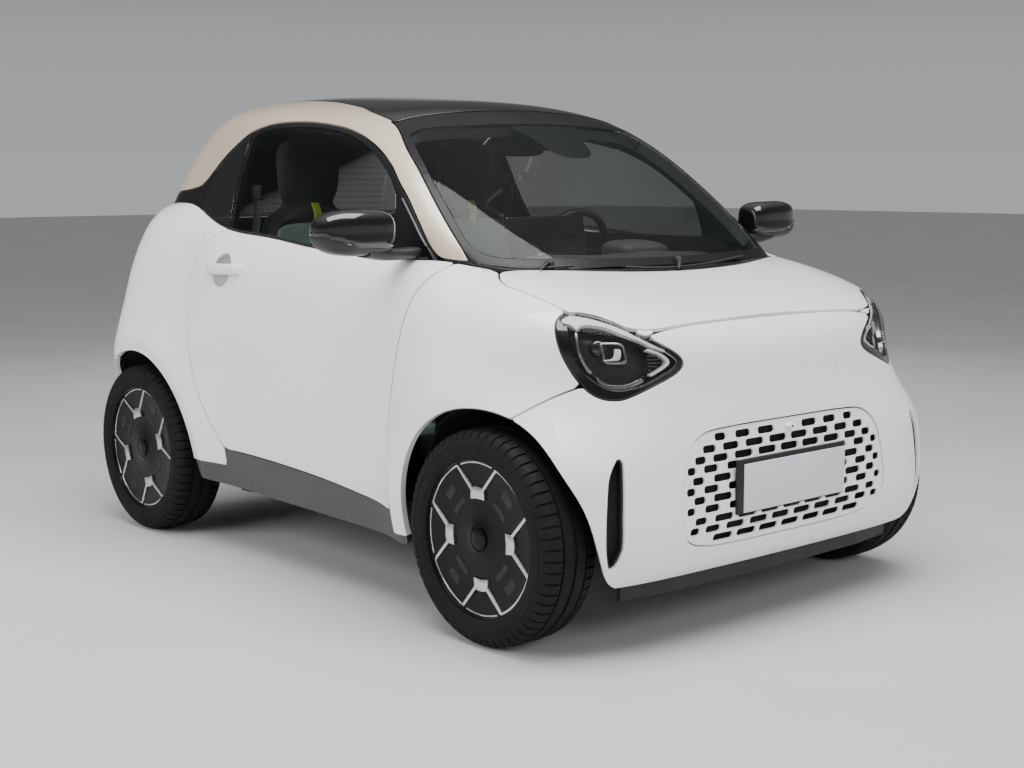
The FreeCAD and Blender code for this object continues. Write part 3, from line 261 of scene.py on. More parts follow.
def cut_back(poly, dist, at_end):
    q = poly[::-1] if at_end else poly
    left = dist
    i = 0
    while i < len(q) - 2:
        seg = np.linalg.norm(q[i + 1] - q[i])
        if seg > left:
            break
        left -= seg
        i += 1
    seg = np.linalg.norm(q[i + 1] - q[i])
    s = q[i] + (q[i + 1] - q[i]) * min(left / max(seg, 1e-9), .95)
    q = np.vstack([[s], q[i + 1:]])
    return q[::-1] if at_end else q


def loop(curves, r=.012, n=8):
    """Closed outline from curves joined end to end, with rounded corners where they meet."""
    cs = [dense(c, n) for c in curves]
    rs = r if isinstance(r, (list, tuple)) else [r] * len(cs)
    k = len(cs)
    out = []
    trimmed = []
    for i, c in enumerate(cs):
        a = cut_back(c, rs[i - 1], False)
        trimmed.append(cut_back(a, rs[i], True))
    for i, c in enumerate(trimmed):
        out += list(c)
        nxt = trimmed[(i + 1) % k]
        A, B, C = c[-1], nxt[0], (cs[i][-1] + cs[(i + 1) % k][0]) / 2
        for t in np.linspace(0, 1, 8)[1:-1]:
            out.append((1 - t) ** 2 * A + 2 * t * (1 - t) * C + t * t * B)
    return np.array(out)


def inset(poly, d):
    """Outline moved inwards by d (for smooth loops)."""
    p = np.array(poly)
    q = np.roll(p, -1, 0) - np.roll(p, 1, 0)
    q /= np.maximum(np.linalg.norm(q, axis=1, keepdims=True), 1e-9)
    nrm = np.stack([q[:, 1], -q[:, 0]], 1)
    area = .5 * np.sum(p[:, 0] * np.roll(p[:, 1], -1) - np.roll(p[:, 0], -1) * p[:, 1])
    return p - nrm * d * (1 if area > 0 else -1)


def poly_sd(poly, q):
    """Signed distance (negative inside) and its direction."""
    n = len(q)
    sd = np.empty(n)
    g = np.empty((n, 2))
    a = np.array(poly)
    b = np.roll(a, -1, 0)
    e = b - a
    ee = np.maximum((e * e).sum(1), 1e-14)
    for s in range(0, n, 20000):
        p = q[s:s + 20000]
        dx = p[:, None, 0] - a[None, :, 0]
        dy = p[:, None, 1] - a[None, :, 1]
        t = np.clip((dx * e[:, 0] + dy * e[:, 1]) / ee, 0, 1)
        vx = dx - t * e[:, 0]
        vy = dy - t * e[:, 1]
        d2 = vx * vx + vy * vy
        j = d2.argmin(1)
        r = np.arange(len(p))
        d = np.sqrt(d2[r, j])
        up = (a[None, :, 1] <= p[:, None, 1]) != (b[None, :, 1] <= p[:, None, 1])
        with np.errstate(divide="ignore", invalid="ignore"):
            xc = a[:, 0] + (p[:, None, 1] - a[:, 1]) / np.where(e[:, 1] == 0, 1e-12, e[:, 1]) * e[:, 0]
        inside = (np.sum(up & (p[:, None, 0] < xc), axis=1) % 2) == 1
        sg = np.where(inside, -1.0, 1.0)
        sd[s:s + 20000] = d * sg
        dd = np.maximum(d, 1e-9)
        g[s:s + 20000, 0] = vx[r, j] / dd * sg
        g[s:s + 20000, 1] = vy[r, j] / dd * sg
    return sd, g


def R(axis, poly, sign=1, mir=False, grow=0.0):
    """Region inside an outline seen along an axis: X sees (y, z), Y sees (x, z), Z sees (x, y)."""
    ia, ib = {"X": (1, 2), "Y": (0, 2), "Z": (0, 1)}[axis]
    poly = np.array(poly, float)

    def fun(P):
        q = P[:, [ia, ib]].copy()
        sx = np.ones(len(P))
        if mir and ia == 0:
            sx = np.where(q[:, 0] < 0, -1.0, 1.0)
            q[:, 0] = np.abs(q[:, 0])
        sd, g = poly_sd(poly, q)
        G = np.zeros((len(P), 3))
        G[:, ia] = g[:, 0] * (sx if ia == 0 else 1)
        G[:, ib] = g[:, 1]
        return (sd - grow) * sign, G * sign
    fun.bounds = (ia, ib, poly.min(0), poly.max(0), mir) if sign > 0 else None
    return fun


def F(f, off=0.0, sign=1):
    """Region where sign*f + off < 0, f an implicit body."""
    def fun(P):
        return sign * f(P) + off, sign * grad(f, P)
    fun.bounds = None
    return fun


def H(axis, value, sign=1):
    """Half space sign*(p[axis]-value) < 0."""
    def fun(P):
        G = np.zeros(P.shape)
        G[:, axis] = sign
        return sign * (P[:, axis] - value), G
    fun.bounds = None
    return fun


def AND(*rs):
    def fun(P):
        S, G = rs[0](P)
        for r in rs[1:]:
            s, g = r(P)
            w = s > S
            S = np.where(w, s, S)
            G = np.where(w[:, None], g, G)
        return S, G
    fun.bounds = next((r.bounds for r in rs if r.bounds), None)
    return fun


def OR(*rs):
    def fun(P):
        S, G = rs[0](P)
        for r in rs[1:]:
            s, g = r(P)
            w = s < S
            S = np.where(w, s, S)
            G = np.where(w[:, None], g, G)
        return S, G
    fun.bounds = None
    return fun


def NOT(r):
    def fun(P):
        s, g = r(P)
        return -s, -g
    fun.bounds = None
    return fun


def field(region, P, N):
    """Signed distance measured along the surface, and the outward direction in it."""
    sh = P.shape[:-1]
    p, n = P.reshape(-1, 3), N.reshape(-1, 3)
    s, G = region(p)
    T = G - (G * n).sum(1)[:, None] * n
    L = np.linalg.norm(T, axis=1)
    s = s / np.maximum(L, .3)
    T = T / np.maximum(L, 1e-6)[:, None]
    return s.reshape(sh), T.reshape(P.shape)


def cut_panel(patch, region, gap=.005, r=.0018, depth=.012, off=0.0, rows=4, only=None):
    """Vertices, normals and faces of a panel cut out of a patch, its rim rolled over and turned inwards."""
    if region.bounds:
        ia, ib, lo2, hi2, mir = region.bounds
        lo, hi = np.full(3, -9.0), np.full(3, 9.0)
        lo[ia], hi[ia], lo[ib], hi[ib] = lo2[0], hi2[0], lo2[1], hi2[1]
        if mir:
            lo[ia] = -hi[ia]
        if only:
            lo[0], hi[0] = max(lo[0], only[0]), min(hi[0], only[1])
        patch = patch.crop(lo, hi)
    P, N = patch.P, patch.N
    s, _ = field(region, P, N)
    if only:
        s = np.where((P[..., 0] < only[0]) | (P[..., 0] > only[1]), 1.0, s)
    lvl = -gap / 2 - r
    ins = s < lvl
    n, m = ins.shape
    vid = -np.ones((n, m), int)
    used = ins
    vid[used] = np.arange(used.sum())
    V, NN = [P[used]], [N[used]]
    base = int(used.sum())
    hx = ins[:-1, :] != ins[1:, :]
    vx = ins[:, :-1] != ins[:, 1:]
    hi_, hj = np.where(hx)
    vi_, vj = np.where(vx)
    A = np.concatenate([np.stack([hi_, hj], 1), np.stack([vi_, vj], 1)])
    B = np.concatenate([np.stack([hi_ + 1, hj], 1), np.stack([vi_, vj + 1], 1)])
    hid = -np.ones(hx.shape, int)
    vidx = -np.ones(vx.shape, int)
    hid[hi_, hj] = np.arange(len(hi_))
    vidx[vi_, vj] = np.arange(len(vi_)) + len(hi_)
    OA, OB = patch.O[A[:, 0], A[:, 1]], patch.O[B[:, 0], B[:, 1]]
    DA, DB = patch.D[A[:, 0], A[:, 1]], patch.D[B[:, 0], B[:, 1]]
    sa, sb = s[A[:, 0], A[:, 1]] - lvl, s[B[:, 0], B[:, 1]] - lvl
    ta, tb = np.zeros(len(A)), np.ones(len(A))
    for it in range(6):
        den = sb - sa
        t = ta - sa * (tb - ta) / np.where(np.abs(den) < 1e-12, 1e-12, den)
        if it in (2, 4):
            t = (ta + tb) / 2
        t = np.clip(t, np.minimum(ta, tb), np.maximum(ta, tb))
        O = OA + (OB - OA) * t[:, None]
        D = DA + (DB - DA) * t[:, None]
        D /= np.linalg.norm(D, axis=1, keepdims=True)
        Q = O + D * root(patch.f, O, D)[:, None]
        QN = grad(patch.f, Q)
        sq, T = field(region, Q, QN)
        sq = sq - lvl
        same = (sq < 0) == (sa < 0)
        ta, sa = np.where(same, t, ta), np.where(same, sq, sa)
        tb, sb = np.where(same, tb, t), np.where(same, sb, sq)
    K = len(A)
    V.append(Q)
    NN.append(QN)
    for k in range(1, rows + 1):
        a = math.pi / 2 * k / rows
        V.append(Q + T * (r * math.sin(a)) - QN * (r * (1 - math.cos(a))))
        NN.append(QN * math.cos(a) + T * math.sin(a))
    if depth:
        V.append(Q + T * r - QN * (r + depth))
        NN.append(T)
    V = np.vstack(V)
    NN = np.vstack(NN)
    full = ins[:-1, :-1] & ins[1:, :-1] & ins[1:, 1:] & ins[:-1, 1:]
    fi, fj = np.where(full)
    quads = np.stack([vid[fi, fj], vid[fi + 1, fj], vid[fi + 1, fj + 1], vid[fi, fj + 1]], 1)
    faces = quads.tolist()
    any_ = ins[:-1, :-1] | ins[1:, :-1] | ins[1:, 1:] | ins[:-1, 1:]
    segs = []
    for i, j in zip(*np.where(any_ & ~full)):
        c = [(i, j), (i + 1, j), (i + 1, j + 1), (i, j + 1)]
        e = [hid[i, j], vidx[i + 1, j], hid[i, j + 1], vidx[i, j]]
        inn = [ins[q] for q in c]
        cross = [x >= 0 for x in e]
        if sum(cross) == 4:
            for k in range(4):
                if inn[k]:
                    a_, b_ = base + e[k], base + e[k - 1]
                    faces.append([int(vid[c[k]]), a_, b_])
                    segs.append((e[k], e[k - 1]))
            continue
        poly = []
        cr = []
        for k in range(4):
            if inn[k]:
                poly.append(int(vid[c[k]]))
            if cross[k]:
                poly.append(base + int(e[k]))
                cr.append((int(e[k]), inn[k]))
        if len(poly) > 2:
            faces.append(poly)
        if len(cr) == 2:
            if cr[0][1]:
                segs.append((cr[0][0], cr[1][0]))
            else:
                segs.append((cr[1][0], cr[0][0]))
    layers = rows + (1 if depth else 0)
    for a_, b_ in segs:
        for k in range(layers):
            faces.append([base + k * K + b_, base + k * K + a_, base + (k + 1) * K + a_, base + (k + 1) * K + b_])
    if len(quads):
        q = quads[len(quads) // 2]
        nf = np.cross(V[q[1]] - V[q[0]], V[q[2]] - V[q[1]])
        if nf @ NN[q[0]] < 0:
            faces = [f[::-1] for f in faces]
    if off:
        V = V - NN_base(V, NN, base, K, layers, QN) * off
    return V, NN, faces


def NN_base(V, NN, base, K, layers, QN):
    """Surface normals for the offset: rim rows use their root's normal."""
    out = NN.copy()
    for k in range(layers + 1):
        a = base + k * K
        out[a:a + K] = QN
    return out


# ---------------------------------------------------------------- mesh output
def make_mesh(name, V, faces, NN=None, mats=(), face_mat=None, smooth=True):
    me = bpy.data.meshes.new(name)
    me.from_pydata([tuple(v) for v in np.asarray(V, float)], [], [list(map(int, f)) for f in faces])
    for m in mats:
        me.materials.append(m)
    if face_mat is not None:
        me.polygons.foreach_set("material_index", np.asarray(face_mat, np.int32))
    me.polygons.foreach_set("use_smooth", [bool(smooth)] * len(me.polygons))
    me.update()
    if NN is not None:
        me.normals_split_custom_set_from_vertices([tuple(v) for v in np.asarray(NN, float)])
    ob = bpy.data.objects.new(name, me)
    bpy.context.scene.collection.objects.link(ob)
    return ob


def flip_x(V, NN, faces):
    V2, N2 = V.copy(), NN.copy()
    V2[:, 0] *= -1
    N2[:, 0] *= -1
    return V2, N2, [f[::-1] for f in faces]


def join_geo(parts):
    V, N, Fc, M = [], [], [], []
    o = 0
    for p in parts:
        V.append(p[0])
        N.append(p[1])
        Fc += [[i + o for i in f] for f in p[2]]
        M += [p[3] if len(p) > 3 else 0] * len(p[2])
        o += len(p[0])
    return np.vstack(V), np.vstack(N), Fc, M


def put(ob, body, replaces=()):
    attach(ob, body)
    for n in replaces:
        if n not in DONE:
            DONE.append(n)
            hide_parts(n)
    return ob


def panel(name, patch, region, mat, body="body", slot=None, replaces=(), mirror=False, only=None, **kw):
    V, N, Fc = cut_panel(patch, region, only=only, **kw)
    if mirror:
        a = (V, N, Fc)
        V, N, Fc, M = join_geo([a, flip_x(*a)])
    ob = make_mesh(name, V, Fc, N, [mat])
    return put(ob, body, replaces)


def auto_normals(V, faces):
    V = np.asarray(V, float)
    N = np.zeros(V.shape)
    for f in faces:
        p = V[f]
        n = np.zeros(3)
        for k in range(len(f)):
            a, b = p[k], p[(k + 1) % len(f)]
            n += np.cross(a, b)
        for k in f:
            N[k] += n
    return N / np.maximum(np.linalg.norm(N, axis=1, keepdims=True), 1e-12)


# ---------------------------------------------------------------- materials
def nodes_of(name):
    m = bpy.data.materials.new(name)
    m.use_nodes = True
    nt = m.node_tree
    nt.nodes.clear()
    out = nt.nodes.new("ShaderNodeOutputMaterial")
    bs = nt.nodes.new("ShaderNodeBsdfPrincipled")
    nt.links.new(bs.outputs[0], out.inputs[0])
    tc = nt.nodes.new("ShaderNodeTexCoord")
    return m, nt, bs, tc


def rgb(c, a=1.0):
    return (c[0], c[1], c[2], a)


def noise(nt, tc, scale, detail=3.0, rough=.5, coord="Object", stretch=None):
    n = nt.nodes.new("ShaderNodeTexNoise")
    n.inputs["Scale"].default_value = scale
    n.inputs["Detail"].default_value = detail
    n.inputs["Roughness"].default_value = rough
    src = tc.outputs[coord]
    if stretch:
        mp = nt.nodes.new("ShaderNodeMapping")
        mp.inputs["Scale"].default_value = stretch
        nt.links.new(src, mp.inputs[0])
        src = mp.outputs[0]
    nt.links.new(src, n.inputs["Vector"])
    return n


def ramp(nt, src, stops):
    r = nt.nodes.new("ShaderNodeValToRGB")
    el = r.color_ramp.elements
    while len(el) < len(stops):
        el.new(.5)
    for e, (p, c) in zip(el, stops):
        e.position = p
        e.color = rgb(c) if len(c) == 3 else c
    nt.links.new(src, r.inputs[0])
    return r


def bump(nt, bs, src, strength, dist):
    b = nt.nodes.new("ShaderNodeBump")
    b.inputs["Strength"].default_value = strength
    b.inputs["Distance"].default_value = dist
    nt.links.new(src, b.inputs["Height"])
    nt.links.new(b.outputs[0], bs.inputs["Normal"])
    return b


def vary(c, k):
    return tuple(min(1.0, max(0.0, v * k)) for v in c)


def paint(name, color, metallic=0.0, rough=.28, coat=.8, flake=0.0, var=.04, pearl=None):
    m, nt, bs, tc = nodes_of(name)
    n1 = noise(nt, tc, 2.3, 4)
    r = ramp(nt, n1.outputs[0], [(.25, vary(color, 1 - var)), (.55, color), (.8, vary(color, 1 + var * .5))])
    last = r.outputs[0]
    if flake:
        v = nt.nodes.new("ShaderNodeTexVoronoi")
        v.inputs["Scale"].default_value = 900
        nt.links.new(tc.outputs["Object"], v.inputs["Vector"])
        fr = ramp(nt, v.outputs["Color"], [(.0, vary(color, 1 - flake)), (1.0, vary(color, 1 + flake))])
        mx = nt.nodes.new("ShaderNodeMix")
        mx.data_type = "RGBA"
        mx.inputs[0].default_value = .35
        nt.links.new(last, mx.inputs[6])
        nt.links.new(fr.outputs[0], mx.inputs[7])
        last = mx.outputs[2]
    nt.links.new(last, bs.inputs["Base Color"])
    bs.inputs["Metallic"].default_value = metallic
    n2 = noise(nt, tc, 35, 3)
    rr = ramp(nt, n2.outputs[0], [(.3, (rough * .85,) * 3), (.7, (rough * 1.15,) * 3)])
    nt.links.new(rr.outputs[0], bs.inputs["Roughness"])
    bs.inputs["Coat Weight"].default_value = coat
    bs.inputs["Coat Roughness"].default_value = .035
    if pearl:
        bs.inputs["Sheen Weight"].default_value = .25
        bs.inputs["Sheen Tint"].default_value = rgb(pearl)
    n3 = noise(nt, tc, 420, 2)
    bump(nt, bs, n3.outputs[0], .025, .0004)
    return m


def plastic(name, color, rough=.5, grain=900, depth=.15, var=.12, spec=.5):
    m, nt, bs, tc = nodes_of(name)
    n1 = noise(nt, tc, 9, 5)
    r = ramp(nt, n1.outputs[0], [(.25, vary(color, 1 - var)), (.75, vary(color, 1 + var))])
    nt.links.new(r.outputs[0], bs.inputs["Base Color"])
    n2 = noise(nt, tc, 60, 4)
    rr = ramp(nt, n2.outputs[0], [(.3, (rough * .88,) * 3), (.7, (min(1, rough * 1.12),) * 3)])
    nt.links.new(rr.outputs[0], bs.inputs["Roughness"])
    bs.inputs["Specular IOR Level"].default_value = spec
    v = nt.nodes.new("ShaderNodeTexVoronoi")
    v.inputs["Scale"].default_value = grain
    nt.links.new(tc.outputs["Object"], v.inputs["Vector"])
    bump(nt, bs, v.outputs["Distance"], depth, .0004)
    return m


def metal(name, color, rough=.3, brushed=None, var=.08, metallic=1.0):
    m, nt, bs, tc = nodes_of(name)
    n1 = noise(nt, tc, 30, 5, .6, "Object", brushed)
    r = ramp(nt, n1.outputs[0], [(.3, vary(color, 1 - var)), (.7, vary(color, 1 + var))])
    nt.links.new(r.outputs[0], bs.inputs["Base Color"])
    bs.inputs["Metallic"].default_value = metallic
    n2 = noise(nt, tc, 130, 4, .6, "Object", brushed)
    rr = ramp(nt, n2.outputs[0], [(.3, (rough * .8,) * 3), (.7, (min(1, rough * 1.25),) * 3)])
    nt.links.new(rr.outputs[0], bs.inputs["Roughness"])
    bump(nt, bs, n2.outputs[0], .05, .0006)
    return m


def clear(name, tint, alpha, ior=2.0, rough=.02, edge=.75):
    """Thin glass: what is behind shows through, the gloss grows towards grazing angles."""
    m, nt, bs, tc = nodes_of(name)
    n1 = noise(nt, tc, 3, 3)
    r = ramp(nt, n1.outputs[0], [(.3, vary(tint, .92)), (.7, vary(tint, 1.06))])
    nt.links.new(r.outputs[0], bs.inputs["Base Color"])
    n2 = noise(nt, tc, 14, 4)
    rr = ramp(nt, n2.outputs[0], [(.35, (rough,) * 3), (.75, (rough + .02,) * 3)])
    nt.links.new(rr.outputs[0], bs.inputs["Roughness"])
    bs.inputs["IOR"].default_value = ior
    fr = nt.nodes.new("ShaderNodeFresnel")
    fr.inputs["IOR"].default_value = 1.5
    mp = nt.nodes.new("ShaderNodeMapRange")
    mp.inputs["From Min"].default_value = .04
    mp.inputs["From Max"].default_value = .6
    mp.inputs["To Min"].default_value = alpha
    mp.inputs["To Max"].default_value = min(1.0, alpha + edge)
    nt.links.new(fr.outputs[0], mp.inputs["Value"])
    nt.links.new(mp.outputs[0], bs.inputs["Alpha"])
    m.blend_method = "BLEND" if hasattr(m, "blend_method") else None
    return m


M = {}
M["white"] = paint("pearl_white_paint", (.86, .85, .825), 0.0, .30, .9, .05, .02, pearl=(1, .97, .92))
M["champagne"] = paint("champagne_paint", (.62, .535, .42), .30, .34, .7, .14, .03)
M["gloss_black"] = paint("gloss_black_paint", (.006, .006, .0065), 0.0, .12, 1.0, 0.0, .2)
M["sill"] = plastic("satin_grey_trim", (.045, .048, .052), .42, 700, .12)
M["trim"] = plastic("black_trim", (.012, .012, .013), .55, 800, .2)
M["rubber"] = plastic("seal_rubber", (.010, .010, .010), .7, 1200, .1)
M["band"] = plastic("black_band", (.0075, .0075, .0085), .27, 900, .02, .2, .25)
# near-black plastic for the arch liners and the grille and vent backings; on the strips behind the shut lines the same
# colour is painted shade
M["dark"] = plastic("arch_lining_and_gap_shade", (.008, .008, .009), .85, 500, .3)
M["glass"] = clear("window_glass", (.010, .016, .014), .12, 2.8, .02, .7)
M["glass_dark"] = clear("privacy_glass", (.008, .010, .010), .80, 2.1, .02, .2)
M["screen"] = clear("windscreen_glass", (.010, .018, .015), .08, 3.0, .02, .7)
M["lens"] = clear("lamp_lens", (.05, .05, .05), .10, 1.8, .01, .55)
M["plate"] = plastic("plate_blank", (.62, .60, .66), .35, 300, .03, .03)
M["chrome"] = metal("bright_reflector", (.86, .87, .89), .09, None, .03)
M["satin_silver"] = metal("satin_silver", (.62, .63, .65), .26, None, .05)
M["handle"] = paint("handle_white", (.80, .79, .77), 0.0, .33, .5, 0.0, .02)
# handle recess: the body white darkened, painted shade standing in for the shadow in the recess
M["dish"] = paint("handle_recess_painted_shade", (.34, .335, .33), 0.0, .40, .3, 0.0, .02)
M["steel"] = metal("chassis_steel", (.035, .036, .038), .5, None, .25, .3)
M["cast"] = metal("cast_iron", (.16, .155, .15), .55, None, .2)
M["alloy"] = metal("cast_alloy", (.38, .385, .39), .48, None, .12)
M["tyre"] = plastic("tyre_rubber", (.010, .010, .0105), .80, 420, .25, .18, .22)
M["jamb"] = paint("jamb_paint", (.60, .52, .41), .25, .42, .35, .1, .04)


# ---------------------------------------------------------------- patches
front = wrap_patch(stations_end(-.46, -.88, -1, 44, 62, 30), .150, .70, 82, 56, 58)
side = wrap_patch([(.30, y, 1, 0) for y in np.linspace(-.72, .70, 144)], .150, .75, 74, 62, 50)
rear = wrap_patch(stations_end(.26, .92, 1, 66, 50, 26), .150, .90, 80, 74, 42)


def hood_rays():
    xs, ys = np.linspace(-.72, .72, 140), np.linspace(-1.27, -.60, 70)
    O = np.empty((len(xs), len(ys), 3))
    O[..., 0], O[..., 1] = np.meshgrid(xs, ys, indexing="ij")
    O[..., 2] = .62
    D = np.zeros(O.shape)
    D[..., 2] = 1
    return Patch(lower, O, D)


hood = hood_rays()


def canopy_rays(n=190, m=170):
    t = np.linspace(0, 1, n)
    p = np.linspace(-.06, math.pi + .06, m)
    tau = np.radians(-83 + 164 * t)
    O = np.zeros((n, m, 3))
    O[..., 1] = (-.58 + 1.56 * t)[:, None]
    O[..., 2] = .96
    D = np.empty((n, m, 3))
    D[..., 0] = np.cos(p)[None, :]
    D[..., 1] = np.sin(p)[None, :] * np.sin(tau)[:, None]
    D[..., 2] = np.sin(p)[None, :] * np.cos(tau)[:, None]
    return Patch(upper, O, D)


canopy = canopy_rays()
canopy_fine = canopy_rays(400, 360)

# ---------------------------------------------------------------- outlines (metres)
door_front = [(-.668, 1.045), (-.654, 1.02), (-.647, 1.005), (-.591, .927), (-.554, .796), (-.534, .664), (-.523, .487), (-.513, .303)]
door_rear = [(.413, .357), (.498, .477), (.569, .625), (.597, .708), (.615, .828), (.628, .90), (.622, .954), (.60, 1.008), (.572, 1.04), (.497, 1.077)]
door_bottom = [(-.513, .303), (-.35, .318), (-.15, .338), (.10, .352), (.28, .357), (.413, .357)]
glass_front = [(-.577, 1.035), (-.500, 1.113), (-.421, 1.186), (-.365, 1.230), (-.295, 1.285), (-.212, 1.332), (-.117, 1.369), (-.001, 1.398),
               (.110, 1.414), (.216, 1.424), (.319, 1.428), (.417, 1.426), (.480, 1.420), (.548, 1.405)]
window_pts = [(-.384, 1.176), (-.333, 1.230), (-.266, 1.280), (-.179, 1.327), (-.084, 1.362), (.030, 1.388), (.138, 1.401), (.240, 1.407),
              (.342, 1.408), (.443, 1.403), (.500, 1.393), (.530, 1.376)]
quarter = [(.522, 1.105), (.60, 1.115), (.655, 1.150), (.775, 1.215), (.701, 1.262), (.640, 1.31), (.598, 1.334), (.499, 1.383), (.440, 1.398)]
seam = [(-1.50, .90), (-1.36, .83), (-1.231, .753), (-1.190, .728), (-1.118, .689), (-1.03, .628), (-.95, .57)]
lamp = closed([(.6273, .900), (.6081, .9002), (.5925, .8974), (.5722, .891), (.5489, .8782), (.5242, .8601), (.4938, .8414), (.4575, .8219),
               (.4223, .8016), (.3963, .7829), (.3867, .7664), (.3898, .7546), (.4047, .7424), (.4328, .7295), (.4763, .7141), (.5236, .6977),
               (.5618, .6855), (.5836, .6808), (.6053, .6811), (.6266, .6859), (.6444, .6983), (.6592, .7211), (.670, .7466), (.6806, .7801),
               (.686, .8084), (.6862, .8364), (.6816, .8591), (.6718, .8766), (.6588, .8887), (.6445, .8964)], 4)
slot_o = closed([(.6345, .5391), (.6264, .5336), (.6264, .521), (.6305, .4857), (.6341, .4343), (.638, .3827), (.638, .3298), (.638, .3053),
                 (.6418, .2892), (.6505, .2649), (.6587, .2549), (.6653, .2605), (.6739, .284), (.6806, .3203), (.6816, .3734), (.6787, .4123),
                 (.6731, .4636), (.668, .4888), (.6575, .5109), (.6458, .5275)], 4)
grille_half = [(0, .586), (.11, .586), (.24, .584), (.335, .577), (.375, .560), (.403, .535), (.420, .50), (.432, .45), (.438, .40),
               (.437, .345), (.425, .310), (.40, .288), (.35, .275), (.27, .268), (.10, .2665), (0, .2665)]
grille = closed(grille_half + [(-a, b) for a, b in reversed(grille_half[1:-1])], 5)
hood_half = [(.606, -.785), (.628, -.815), (.644, -.858), (.643, -.93), (.638, -1.0005), (.627, -1.0857), (.603, -1.130), (.570, -1.167),
             (.526, -1.195), (.483, -1.212), (.436, -1.221), (.27, -1.223), (0, -1.219)]
hood_out = loop([[(-a, b) for a, b in hood_half] + [hood_half[k] for k in range(len(hood_half) - 2, -1, -1)],
                 [(.606, -.785), (.595, -.781), (.585, -.782), (.45, -.845), (.30, -.893), (.15, -.917), (0, -.925), (-.15, -.917), (-.30, -.893), (-.45, -.845), (-.585, -.782), (-.595, -.781), (-.606, -.785)]], .010)
ws_out = loop([[(-.628, .930), (-.626, .985), (-.618, 1.094), (-.599, 1.183), (-.573, 1.264), (-.543, 1.338), (-.486, 1.417)],
               [(-.486, 1.417), (-.486, 1.462)], [(-.486, 1.462), (-.25, 1.49), (0, 1.495), (.25, 1.49), (.486, 1.462)], [(.486, 1.462), (.486, 1.417)],
               [(.486, 1.417), (.543, 1.338), (.573, 1.264), (.599, 1.183), (.618, 1.094), (.626, .985), (.628, .930)], [(.628, .930), (-.628, .930)]], .012)
roof_out = loop([[(-.484, -.165), (-.25, -.200), (0, -.207), (.25, -.200), (.484, -.165)],
                 [(.484, -.165), (.456, -.018), (.418, .089), (.392, .193), (.363, .299), (.340, .484), (.334, .65), (.330, .84)],
                 [(.330, .84), (.300, .895), (.17, .925), (0, .932), (-.17, .925), (-.300, .895), (-.330, .84)],
                 [(-.330, .84), (-.334, .65), (-.340, .484), (-.363, .299), (-.392, .193), (-.418, .089), (-.456, -.018), (-.484, -.165)]], [.003, .02, .02, .003])
rg_out = loop([[(-.54, 1.055), (-.455, 1.40), (-.44, 1.47)], [(-.44, 1.47), (.44, 1.47)], [(.44, 1.47), (.455, 1.40), (.54, 1.055)], [(.54, 1.055), (-.54, 1.055)]], .025)
lamp_r = closed([(.560, .8615), (.549, .869), (.5455, .885), (.545, .95), (.5465, 1.022), (.551, 1.038), (.565, 1.046), (.61, 1.0475), (.660, 1.045),
                 (.675, 1.035), (.6795, 1.018), (.680, .95), (.6785, .885), (.674, .869), (.662, .8615), (.61, .860)], 4)
gate = loop([[(-.515, .628), (-.525, .80), (-.515, 1.035)], [(-.515, 1.035), (.515, 1.035)], [(.515, 1.035), (.525, .80), (.515, .628)], [(.515, .628), (-.515, .628)]], .03)


def disc(cy, cz, r, n=120):
    a = np.linspace(0, 2 * math.pi, n, endpoint=False)
    return np.stack([cy + r * np.cos(a), cz + r * np.sin(a)], 1)


arch_f, arch_r = disc(YF, ZW, RF), disc(YR, ZW, RR)

# ---------------------------------------------------------------- body panels
above_cell = F(upper, .002, -1)            # outside the greenhouse
# bonnet
panel("bonnet_skin", hood, AND(R("Z", hood_out), NOT(R("Y", lamp, mir=True))), M["white"], "body", "pearl_white", ["bonnet"])

holes = (NOT(R("Y", lamp, mir=True)), NOT(R("Y", slot_o, mir=True)), NOT(R("Y", grille)), NOT(R("X", arch_f)), NOT(R("Z", hood_out)))
bumper_cut = loop([[(-1.70, .195), (-1.70, 1.3)], [(-1.70, 1.3), (-1.224, 1.3)], [(-1.224, 1.3), (-1.226, .92), (-1.229, .80), (-1.231, .753)],
                   [(-1.231, .753), (-1.190, .728), (-1.118, .689), (-1.03, .628), (-.95, .57)], [(-.95, .57), (-.95, .195)], [(-.95, .195), (-1.70, .195)]], .003)
panel("front_bumper_skin", front, AND(R("X", bumper_cut), *holes), M["white"], "body", "pearl_white", ["front_bumper"], depth=.016)

fender_cut = loop([[(-.513, .15), (-.513, .303)], [(-.513, .303), (-.523, .487), (-.534, .664), (-.554, .796), (-.591, .927), (-.647, 1.005), (-.654, 1.02), (-.668, 1.045), (-.70, 1.10)],
                   [(-.70, 1.10), (-1.224, 1.30)], [(-1.224, 1.30), (-1.226, .92), (-1.229, .80), (-1.231, .753)], [(-1.231, .753), (-1.190, .728), (-1.118, .689), (-1.03, .628), (-.95, .57)],
                   [(-.95, .57), (-.95, .15)], [(-.95, .15), (-.513, .15)]], .003)
fender_reg = AND(R("X", fender_cut), NOT(R("Z", hood_out)), NOT(R("Y", lamp, mir=True)), NOT(R("X", arch_f)), above_cell, H(2, .235, -1), NOT(R("Z", [(-.60, -.95), (.60, -.95), (.60, -.2), (-.60, -.2)])))
panel("front_fender_skins", front, fender_reg, M["white"], "body", "pearl_white", ["front_fenders"], mirror=True, only=(.2, 1.2), depth=.016)

door_leaf = loop([door_front[::1], door_bottom, door_rear, [(.497, 1.077), (.45, 1.25), (-.62, 1.25), (-.668, 1.045)]], [.004, .035, .004, .004])
for sd, sx in (("left", 1), ("right", -1)):
    V, N, Fc = cut_panel(side, AND(R("X", door_leaf), above_cell, NOT(R("X", disc(YF, ZW, RF + .012))), NOT(R("X", disc(.420, .948, .0515)))), depth=.014)
    if sx < 0:
        V, N, Fc = flip_x(V, N, Fc)
    put(make_mesh("door_skin_" + sd, V, Fc, N, [M["white"]]), "door_" + sd, ["door_" + sd])

